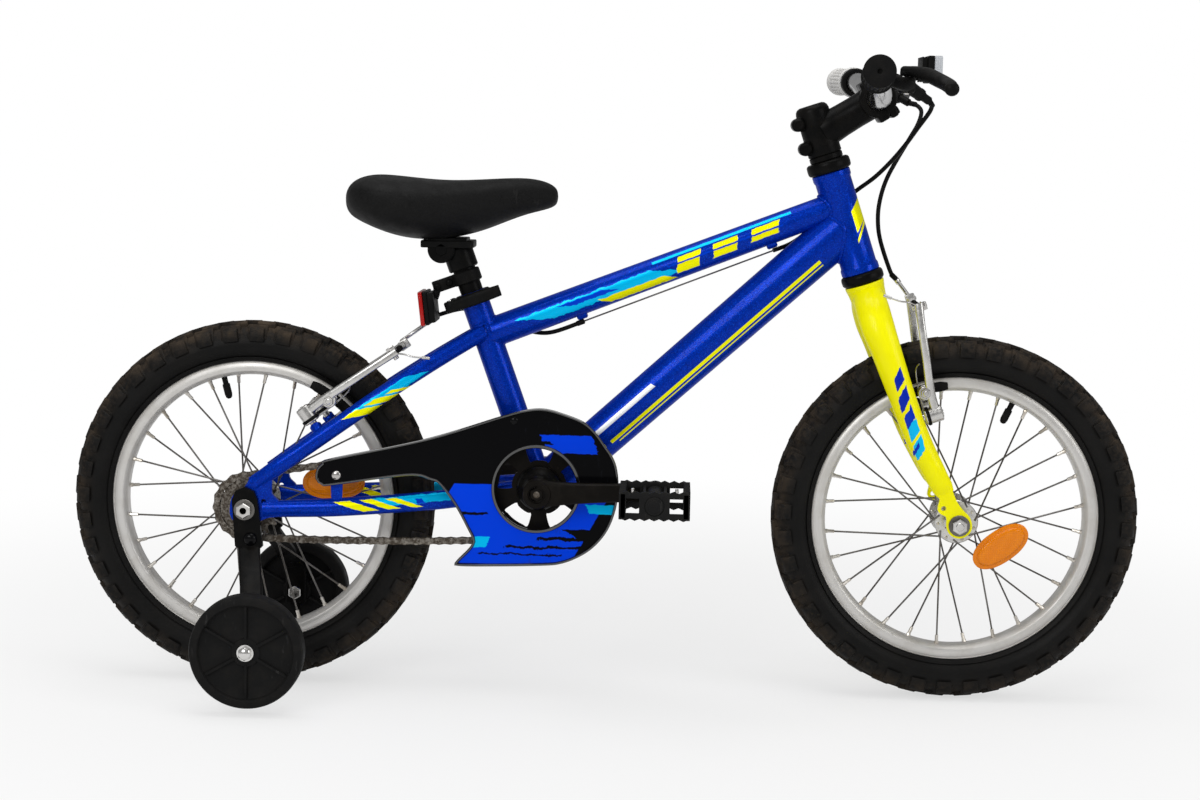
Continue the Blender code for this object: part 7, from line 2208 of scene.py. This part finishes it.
def chain_guard():
    """A flat moulded guard with a raised rim, the lip round its opening, and its two fixings."""
    outline = [
        (-313.1, 238.5), (-312.1, 249.9), (-305.0, 257.5), (-296.7, 262.1), (-191.6, 286.7),
        (-108.0, 314.1),
        (-81.2, 321.3), (-62.2, 322.3), (-41.2, 317.0), (-20.3, 308.9), (-7.0, 297.5), (3.2, 283.8),
        (11.0, 272.5),
        (16.1, 260.4), (18.6, 243.2), (18.0, 224.5), (14.9, 208.4), (8.5, 191.5), (-0.9, 177.5),
        (-13.0, 166.0),
        (-27.9, 157.1), (-43.0, 151.5), (-59.2, 149.2), (-110.0, 147.0), (-156.2, 146.3), (-158.4, 151.0),
        (-143.8, 166.8), (-140.1, 175.5), (-146.2, 188.5), (-159.1, 212.1), (-176.4, 235.6),
        (-186.8, 240.6),
        (-212.2, 245.0), (-296.5, 232.1), (-307.0, 233.0),
    ]
    made = Piece("chain_guard_panel")
    smooth = arc_outline(outline, 4.0)
    centre = (GUARD_OPENING.x, GUARD_OPENING.z)
    near = GUARD_Y - GUARD_THICKNESS
    made.plate(smooth, near, GUARD_Y, "printed guard", [round_hole(centre, 46.5, 96)])
    count = len(smooth)
    rings = []
    for i, (x, z) in enumerate(smooth):
        before = Vector(smooth[i - 1])
        after = Vector(smooth[(i + 1) % count])
        way = (after - before).normalized()
        inward = Vector((way.y, -way.x))
        if i == 0:
            turn = sum(a[0] * b[1] - b[0] * a[1] for a, b in zip(smooth, smooth[1:] + smooth[:1]))
        inward = inward if turn < 0 else -inward
        at = Vector((x, z)) + inward * 1.5
        rings.append(
            [
                Vector((at.x + inward.x * a, y, at.y + inward.y * a)) for a,
                y in (
                    (-1.5, GUARD_Y), (-1.5, near - 0.8), (-0.8, near - 1.6), (0.6, near - 1.6),
                    (1.6, near - 0.4), (1.8, GUARD_Y),
                )
            ]
        )
    made.loft(rings, "guard rim", looped=True)
    hole = Vector((centre[0], 0.0, centre[1]))
    lip = [
        (45.2, -GUARD_Y), (45.0, -near + 0.6), (45.8, -near + 1.5), (48.2, -near + 1.5),
        (49.0, -near + 0.6), (49.4, -GUARD_Y),
    ]
    made.turned(lip, hole, -Y, "guard rim", 96, looped=True)
    made.rod((-96.5, GUARD_Y - 1.0, 308.5), (-96.5, -16.0, 305.5), 4.0, "black plastic", 24)
    made.rod((-290.7, GUARD_Y - 1.0, 243.5), (-290.7, -56.4, 243.5), 5.0, "black plastic", 24)
    screw = Vector((-290.7, 0.0, 243.5))
    made.rod(screw - Y * 62.0, screw - Y * 52.4, 2.2, "polished steel", 20)
    made.turned(
        [(0.0, 59.0), (5.6, 59.0), (5.4, 60.6), (4.0, 62.0), (1.6, 62.5), (0.0, 62.6)], screw, -Y,
        "polished steel", 32,
    )
    made.turned(
        [(0.0, 59.0), (4.4, 59.0), (4.2, 60.6), (3.0, 61.6), (0.0, 62.0)], Vector((-96.5, 0.0, 308.5)), -Y,
        "gloss black", 28,
    )
    place(made.made(40.0), "frame", "chain_guard")


# Seat


def saddle():
    """The padded saddle: a crowned body drawn in at the sides, on its hard base."""
    stations = (
        (-288.0, 22.0, 549.5, 534.5), (-284.0, 42.0, 559.5, 526.5), (-276.0, 56.0, 566.5, 521.0),
        (-262.0, 67.0, 571.0, 514.5),
        (-244.0, 73.0, 571.0, 507.5), (-222.0, 75.0, 569.0, 502.0), (-200.0, 71.0, 567.1, 500.5),
        (-178.0, 61.0, 566.1, 501.5),
        (-156.0, 48.0, 566.7, 506.0), (-134.0, 36.5, 568.1, 512.5), (-112.0, 29.0, 569.7, 522.0),
        (-90.0, 25.5, 570.3, 530.5),
        (-74.0, 23.0, 568.0, 534.5), (-62.0, 18.5, 563.5, 538.0), (-55.5, 12.0, 557.0, 543.0),
    )
    made = Piece("saddle_pad")
    rings = []
    sides = 40
    for x, wide, top, bottom in stations:
        ring = []
        crown = bottom + (top - bottom) * 0.58
        for i in range(sides):
            angle = 2 * math.pi * (i + 0.5) / sides
            c = math.cos(angle)
            s = math.sin(angle)
            reach = wide * math.copysign(abs(c) ** 0.78, c)
            if s >= 0:
                z = crown + (top - crown) * abs(s) ** 0.72
            else:
                reach *= 1.0 - 0.26 * abs(s) ** 1.2
                z = crown - (crown - bottom) * abs(s) ** 0.62
            ring.append(Vector((x, reach, z)))
        rings.append(ring)
    made.loft(rings, "saddle cover")
    pad = made.made(60.0, smooth=2)
    place(pad, "seat", "saddle")

    trim = Piece("saddle_trim")
    base = Vector((-178.0, 0.0, 496.5))
    trim.block(base + X * 2.0, (58.0, 44.0, 8.0), "black plastic", ease=1.6)
    place(trim.made(60.0), "seat")


def seat_post():
    """The post, the clamp under the saddle, the collar with its bolt, and the quick-release lever."""
    post = Piece("seat_post_tube")
    post.rod(
        on_seat_tube(POST_FROM), on_seat_tube(POST_TO - 6.0), POST_RADIUS, "satin black steel", 48, 0.8,
    )
    place(post.made(), "seat", "seat_post")

    clamp = Piece("saddle_clamp_body")
    head = Vector((-182.4, 0.0, 490.5))
    look = "satin black steel"
    clamp.rod(head - Y * 16.0, head + Y * 16.0, 14.0, look, 40, 1.6)
    for _, side in SIDES:
        clamp.turned(
            [
                (0.0, 15.6), (13.6, 15.6), (15.0, 16.8), (15.0, 19.4), (13.8, 20.6), (0.0, 20.6),
            ], head, Y * side, look, 40
        )
        clamp.hexagon(head, Y * side, 12.6, 20.4, 22.0, "satin black steel")
    clamp.block((-176.0, 0.0, 498.5), (44.0, 42.0, 10.0), look, ease=1.8)
    clamp.collar(
        SEAT_TUBE_FOOT, SEAT_UP, POST_RADIUS + 4.0, POST_RADIUS, POST_TO - 26.0, POST_TO - 2.0, look, 48,
        1.4,
    )
    place(clamp.made(40.0), "seat", "saddle_clamp")

    collar_at = SEAT_TUBE_TOP - 8.0
    collar = Piece("seat_collar_band")
    black = "black plastic"
    collar.collar(on_seat_tube(collar_at), SEAT_UP, 20.0, SEAT_TUBE_RADIUS + 0.2, -6.5, 8.0, black, 64, 1.6)
    for side in (-1, 1):
        collar.block(
            on_seat_tube(collar_at + 0.7, -24.0, side * 5.6), (15.0, 8.0, 11.6), black, SEAT_AHEAD, SEAT_UP,
            2.0,
        )
    pin = on_seat_tube(collar_at + 0.7, -25.0)
    collar.rod(pin - Y * 8.0, pin + Y * 20.0, 3.2, "polished steel", 24)
    collar.turned(
        [(0.0, 11.0), (6.6, 11.0), (7.0, 12.0), (7.0, 17.0), (6.0, 18.2), (0.0, 18.4)], pin, Y, black, 32,
    )
    place(collar.made(40.0), "frame", "seat_collar")

    cam_at = joint_at("seat_clamp_open")
    lever = Piece("seat_clamp_lever_handle")
    lever.rod(cam_at - SEAT_UP * 6.4, cam_at + SEAT_UP * 6.4, 7.2, black, 36, 1.2)
    lever.turned([(0.0, 6.2), (3.6, 6.2), (3.0, 7.2), (0.0, 7.4)], cam_at, SEAT_UP, "polished steel", 24)
    points = [
        cam_at + SEAT_AHEAD * 1.0 - Y * 3.0, on_seat_tube(collar_at + 1.0, 0.0, -25.5),
        on_seat_tube(collar_at + 1.0, 20.0, -24.5),
        on_seat_tube(collar_at + 1.0, 32.0, -22.0),
    ]
    eased_tube(lever, points, [(2.6, 5.6), (2.8, 6.6), (3.0, 6.6), (3.2, 6.2)], black, 32, 0.8, 4.0)
    place(lever.made(45.0), "seat_clamp", "seat_clamp_lever")


def rear_reflector():
    """The red reflector on its strap behind the post, held by two bolts."""
    height = 245.0
    black = "black plastic"
    made = Piece("rear_reflector_mount")
    made.collar(on_seat_tube(height), SEAT_UP, 16.0, POST_RADIUS, -7.0, 7.0, black, 56, 1.2)
    for side in (-1, 1):
        made.block(
            on_seat_tube(height, -26.0, side * 3.0), (26.0, 3.6, 13.4), black, SEAT_AHEAD, SEAT_UP, 1.0,
        )
    for ahead in (-20.0, -34.0):
        centre = on_seat_tube(height, ahead)
        made.rod(centre - Y * 6.0, centre + Y * 7.6, 2.0, "polished steel", 16)
        made.turned(
            [(0.0, 4.6), (4.2, 4.6), (4.0, 6.4), (2.6, 7.6), (0.0, 7.8)], centre, -Y, "satin black steel",
            24,
        )
        made.hexagon(centre, Y, 6.6, 4.6, 7.4, "polished steel")
    eased_tube(
        made, [on_seat_tube(height, -35.0), on_seat_tube(height - 6.0, -37.5), (-191.0, 0.0, 436.0)],
        [(5.0, 4.2), (5.0, 4.0), (6.0, 4.4)], black, 24, 0.8, 5.0,
    )
    lean = Vector((-0.12, 0.0, 1.0)).normalized()
    ahead = Vector((lean.z, 0.0, -lean.x))
    centre = Vector((-194.0, 0.0, 426.0))
    made.block(centre + ahead * 1.0, (8.0, 48.0, 33.0), black, ahead, lean, 2.0)
    made.block(centre - ahead * 4.0, (4.4, 52.0, 37.0), black, ahead, lean, 1.4)
    place(made.made(40.0), "seat", "rear_reflector_bracket")
    lens = Piece("rear_reflector_lens")
    lens.block(centre - ahead * 9.3, (5.0, 50.0, 38.0), "red lens", ahead, lean, 1.6)
    place(lens.made(40.0), "seat", "rear_reflector")


# Stabilisers


def stabiliser(label, side):
    """The bent flat bracket on the axle with its wheel: an outer tread ring, ribs and a sunk bolt."""
    base = REAR_DROPOUT_Y + DROPOUT_THICKNESS / 2 + 0.3
    thick = 6.0
    look = "satin black steel"
    made = Piece(f"stabiliser_bracket_{label}_bar")
    outline = [
        (-10.5, -40.5), (-8.5, -42.5), (18.0, -42.5), (20.0, -40.5), (14.0, 10.5), (10.0, 20.5),
        (0.0, 25.0), (-10.0, 20.5), (-14.0, 10.5),
    ]
    at = [(REAR_AXLE.x + x, REAR_AXLE.z + z) for x, z in outline]
    made.plate(
        at, side * base, side * (base + thick), look,
        [round_hole((REAR_AXLE.x, REAR_AXLE.z), AXLE_RADIUS + 0.3)],
    )
    hub_at = Vector((STABILISER_HUB.x, 0.0, STABILISER_HUB.z))
    path = [
        Vector((x, side * y, z))
        for x, y, z in (
            (REAR_AXLE.x + 5.0, base + thick / 2, 172.0),
            (REAR_AXLE.x + 5.0, base + thick / 2 + 1.0, 160.0),
            (REAR_AXLE.x + 14.0, 100.0, 131.0), (REAR_AXLE.x + 21.0, 136.0, 104.0), (hub_at.x, 143.0, 95.0),
            (hub_at.x, 143.5, hub_at.z - 13.0),
        )
    ]
    fine = smooth_path(path, 5.0)
    rings = []
    for i, point in enumerate(fine):
        heading = (fine[min(i + 1, len(fine) - 1)] - fine[max(i - 1, 0)]).normalized()
        thin = heading.cross(X).normalized()
        half = 12.0
        ring = []
        for a, b in (
            (-1, -0.6), (-0.94, -0.88), (-0.84, -1), (0.84, -1), (0.94, -0.88), (1, -0.6), (1, 0.6),
            (0.94, 0.88), (0.84, 1), (-0.84, 1), (-0.94, 0.88), (-1, 0.6),
        ):
            ring.append(point + X * a * half + thin * b * thick / 2)
        rings.append(ring)
    made.loft(rings, look)
    out = Y * side
    outer = STABILISER_FAR_Y
    inner = STABILISER_NEAR_Y
    bolt = [
        (0.0, 141.0), (5.0, 141.0), (5.0, outer - 3.0), (9.0, outer - 3.0), (9.0, outer - 1.4),
        (6.4, outer - 1.4), (6.2, outer + 3.6),
        (4.4, outer + 5.2), (0.0, outer + 5.4),
    ]
    made.turned(bolt, hub_at, out, "polished steel", 32)
    made.hexagon(hub_at, out, 12.6, outer - 1.5, outer + 3.2, "polished steel")
    made.turned([(0.0, 140.6), (8.5, 140.6), (8.5, inner - 0.5), (0.0, inner - 0.5)], hub_at, out, look, 32)
    made.hexagon(hub_at, out, 14.0, 132.8, 140.6, "polished steel")
    dome_at = Vector((REAR_AXLE.x + 6.5, 0.0, 171.0))
    made.turned(
        [
            (0.0, base + thick), (7.5, base + thick), (7.4, base + thick + 1.6), (6.0, base + thick + 3.8),
            (3.4, base + thick + 5.0), (0.0, base + thick + 5.4),
        ],
        dome_at, out, "gloss black", 32,
    )
    place(made.made(40.0), "frame", f"stabiliser_bracket_{label}")

    radius = STABILISER_RADIUS
    wheel = Piece(f"stabiliser_wheel_{label}_rim")
    plastic = "wheel plastic"
    profile = [
        (5.5, inner), (15.0, inner), (16.0, inner + 1.0), (18.0, inner + 9.0), (radius - 15.0, inner + 9.0),
        (radius - 13.0, inner + 1.0),
        (radius - 12.0, inner), (radius - 4.0, inner), (radius - 1.4, inner + 1.4),
        (radius - 0.3, inner + 4.0), (radius, inner + 7.0),
        (radius, outer - 7.0), (radius - 0.3, outer - 4.0), (radius - 1.6, outer - 1.2),
        (radius - 4.0, outer), (radius - 9.0, outer),
        (radius - 10.0, outer - 0.8), (radius - 11.0, outer - 5.0), (radius - 13.0, outer - 6.4),
        (17.0, outer - 6.4), (15.4, outer - 5.4),
        (14.8, outer - 3.9), (5.5, outer - 3.9),
    ]
    wheel.turned(profile, hub_at, out, plastic, 96, looped=True)
    for i in range(6):
        angle = math.radians(30.0 + 60.0 * i)
        away = Vector((math.cos(angle), 0.0, math.sin(angle)))
        middle = hub_at + away * 33.0 + Y * side * (outer - 4.4)
        wheel.block(middle, (39.0, 3.0, 2.6), plastic, away, Y, 0.8)
        inside = hub_at + away * 33.0 + Y * side * (inner + 5.4)
        wheel.block(inside, (32.0, 2.6, 8.6), plastic, away, Y, 0.6)
    ridge = radius - 0.1
    for y in (-6.0, 0.0, 6.0):
        middle = (inner + outer) / 2 + y
        half = [(ridge - 2.0, 1.2), (ridge - 0.6, 1.2), (ridge, 0.8)]
        profile = [(across, middle - along) for across, along in half]
        profile += [(across, middle + along) for across, along in reversed(half)]
        wheel.turned(profile, hub_at, out, plastic, 96, looped=True)
    place(wheel.made(38.0), f"{label}_stabiliser_wheel", f"stabiliser_wheel_{label}")


# Stage


def new_light(name, at, size, power, towards):
    lamp = bpy.data.lights.new(name, "AREA")
    lamp.shape = "RECTANGLE"
    lamp.size = size[0]
    lamp.size_y = size[1]
    lamp.energy = power
    made = bpy.data.objects.new(name, lamp)
    made.location = at
    made.rotation_euler = (Vector(towards) - Vector(at)).to_track_quat("-Z", "Y").to_euler()
    bpy.context.scene.collection.objects.link(made)


def studio():
    """A pale floor that runs out of sight, a white surround, soft lamps and the photograph's camera."""
    scene = bpy.context.scene
    floor_mesh = bpy.data.meshes.new("studio_floor")
    reach = 30.0
    floor_mesh.from_pydata(
        [
            (-reach, -reach, -0.001), (reach, -reach, -0.001), (reach, reach, -0.001),
            (-reach, reach, -0.001),
        ],
        [], [(0, 1, 2, 3)],
    )
    floor = bpy.data.objects.new("studio_floor", floor_mesh)
    scene.collection.objects.link(floor)
    pale = bpy.data.materials.new("pale studio floor")
    pale.use_nodes = True
    tree = pale.node_tree
    shader = tree.nodes["Principled BSDF"]
    shader.inputs["Base Color"].default_value = (0.80, 0.80, 0.80, 1.0)
    shader.inputs["Roughness"].default_value = 0.9
    shader.inputs["Specular IOR Level"].default_value = 0.0
    path = tree.nodes.new("ShaderNodeLightPath").outputs
    at = tree.nodes.new("ShaderNodeTexCoord").outputs["Object"]
    away = node(tree, "ShaderNodeVectorMath", {0: at, 1: (0.0, 0.1, 0.0)}, operation="SUBTRACT").outputs[0]
    far = node(tree, "ShaderNodeVectorMath", {0: away}, operation="LENGTH").outputs["Value"]
    fade = ranged(tree, far, 0.25, 1.5, 0.62, 1.0)
    seen = calc(tree, "MAXIMUM", path["Is Camera Ray"], calc(tree, "MULTIPLY", path["Is Glossy Ray"], 0.3))
    white = node(tree, "ShaderNodeEmission", {"Color": (1.0, 1.0, 1.0, 1.0), "Strength": 1.0}).outputs[0]
    mixed = node(
        tree, "ShaderNodeMixShader",
        {0: calc(tree, "MULTIPLY", seen, fade), 1: shader.outputs[0], 2: white},
    ).outputs[0]
    tree.links.new(mixed, tree.nodes["Material Output"].inputs[0])
    floor_mesh.materials.append(pale)

    world = bpy.data.worlds.new("studio_surround")
    scene.world = world
    world.use_nodes = True
    tree = world.node_tree
    surround = tree.nodes["Background"]
    surround.inputs["Color"].default_value = (1.0, 1.0, 1.0, 1.0)
    path = tree.nodes.new("ShaderNodeLightPath").outputs
    seen = calc(tree, "MULTIPLY", path["Is Camera Ray"], 0.6)
    mirrored = calc(tree, "MULTIPLY", path["Is Glossy Ray"], -0.1)
    strength = calc(tree, "ADD", calc(tree, "ADD", seen, 0.4), mirrored)
    tree.links.new(strength, surround.inputs["Strength"])

    new_light("overhead_softbox", (-0.1, -0.2, 2.6), (2.4, 1.6), 30.0, (0.0, 0.0, 0.3))
    new_light("front_softbox", (-1.1, -2.4, 1.7), (1.4, 1.2), 26.0, (0.0, 0.0, 0.35))
    new_light("side_softbox", (2.3, -1.3, 1.3), (1.2, 1.2), 14.0, (0.1, 0.0, 0.35))

    lens = bpy.data.cameras.new("photo_camera")
    lens.lens = CAMERA_LENS
    lens.sensor_width = 36.0
    camera = bpy.data.objects.new("photo_camera", lens)
    turn = Matrix.Rotation(math.radians(CAMERA_YAW), 3, "Z")
    turn = turn @ Matrix.Rotation(math.radians(CAMERA_PITCH), 3, "X")
    turn = turn @ Matrix.Rotation(math.radians(CAMERA_ROLL), 3, "Y")
    right, ahead, up = (turn @ way for way in (X, Y, Z))
    place_at = Matrix((right, up, -ahead)).transposed().to_4x4()
    place_at.translation = CAMERA_AT * MM
    camera.matrix_world = place_at
    scene.collection.objects.link(camera)
    scene.camera = camera
    scene.view_settings.view_transform = "Standard"


def main():
    make_finishes()
    for end, axle, valve in (("front", FRONT_AXLE, 65.2), ("rear", REAR_AXLE, 104.2)):
        tyre(end, axle)
        rim(end, axle, math.radians(valve))
    hub("front", FRONT_AXLE, 46.6, 13.0, 11.0, math.radians(7.35))
    hub("rear", REAR_AXLE, 52.4, 14.0, 16.6, math.radians(7.77))
    axle_hardware(
        "front", FRONT_AXLE, "steering", FRONT_DROPOUT_Y + DROPOUT_THICKNESS / 2 + 0.3, 62.0,
        "polished steel",
    )
    axle_hardware(
        "rear", REAR_AXLE, "frame", REAR_DROPOUT_Y + DROPOUT_THICKNESS / 2 + 6.6, 73.0, "polished steel",
    )
    spoke_reflector("front", FRONT_AXLE, math.radians(-28.5), 57.0, -1.107)
    spoke_reflector("rear", REAR_AXLE, math.radians(15.2), 94.0, 0.265)
    frame_tubes()
    fork()
    headset()
    stem()
    handlebar()
    for label, side in SIDES:
        grip(label, side, "black rubber" if side < 0 else "pale grip")
        brake_lever(label, side)
    front_reflector()
    for end in ("front", "rear"):
        for label, side in SIDES:
            brake_side(end, label, side)
    chain()
    drive()
    chain_guard()
    saddle()
    seat_post()
    rear_reflector()
    for label, side in SIDES:
        stabiliser(label, side)
    brake_cables()
    studio()


main()
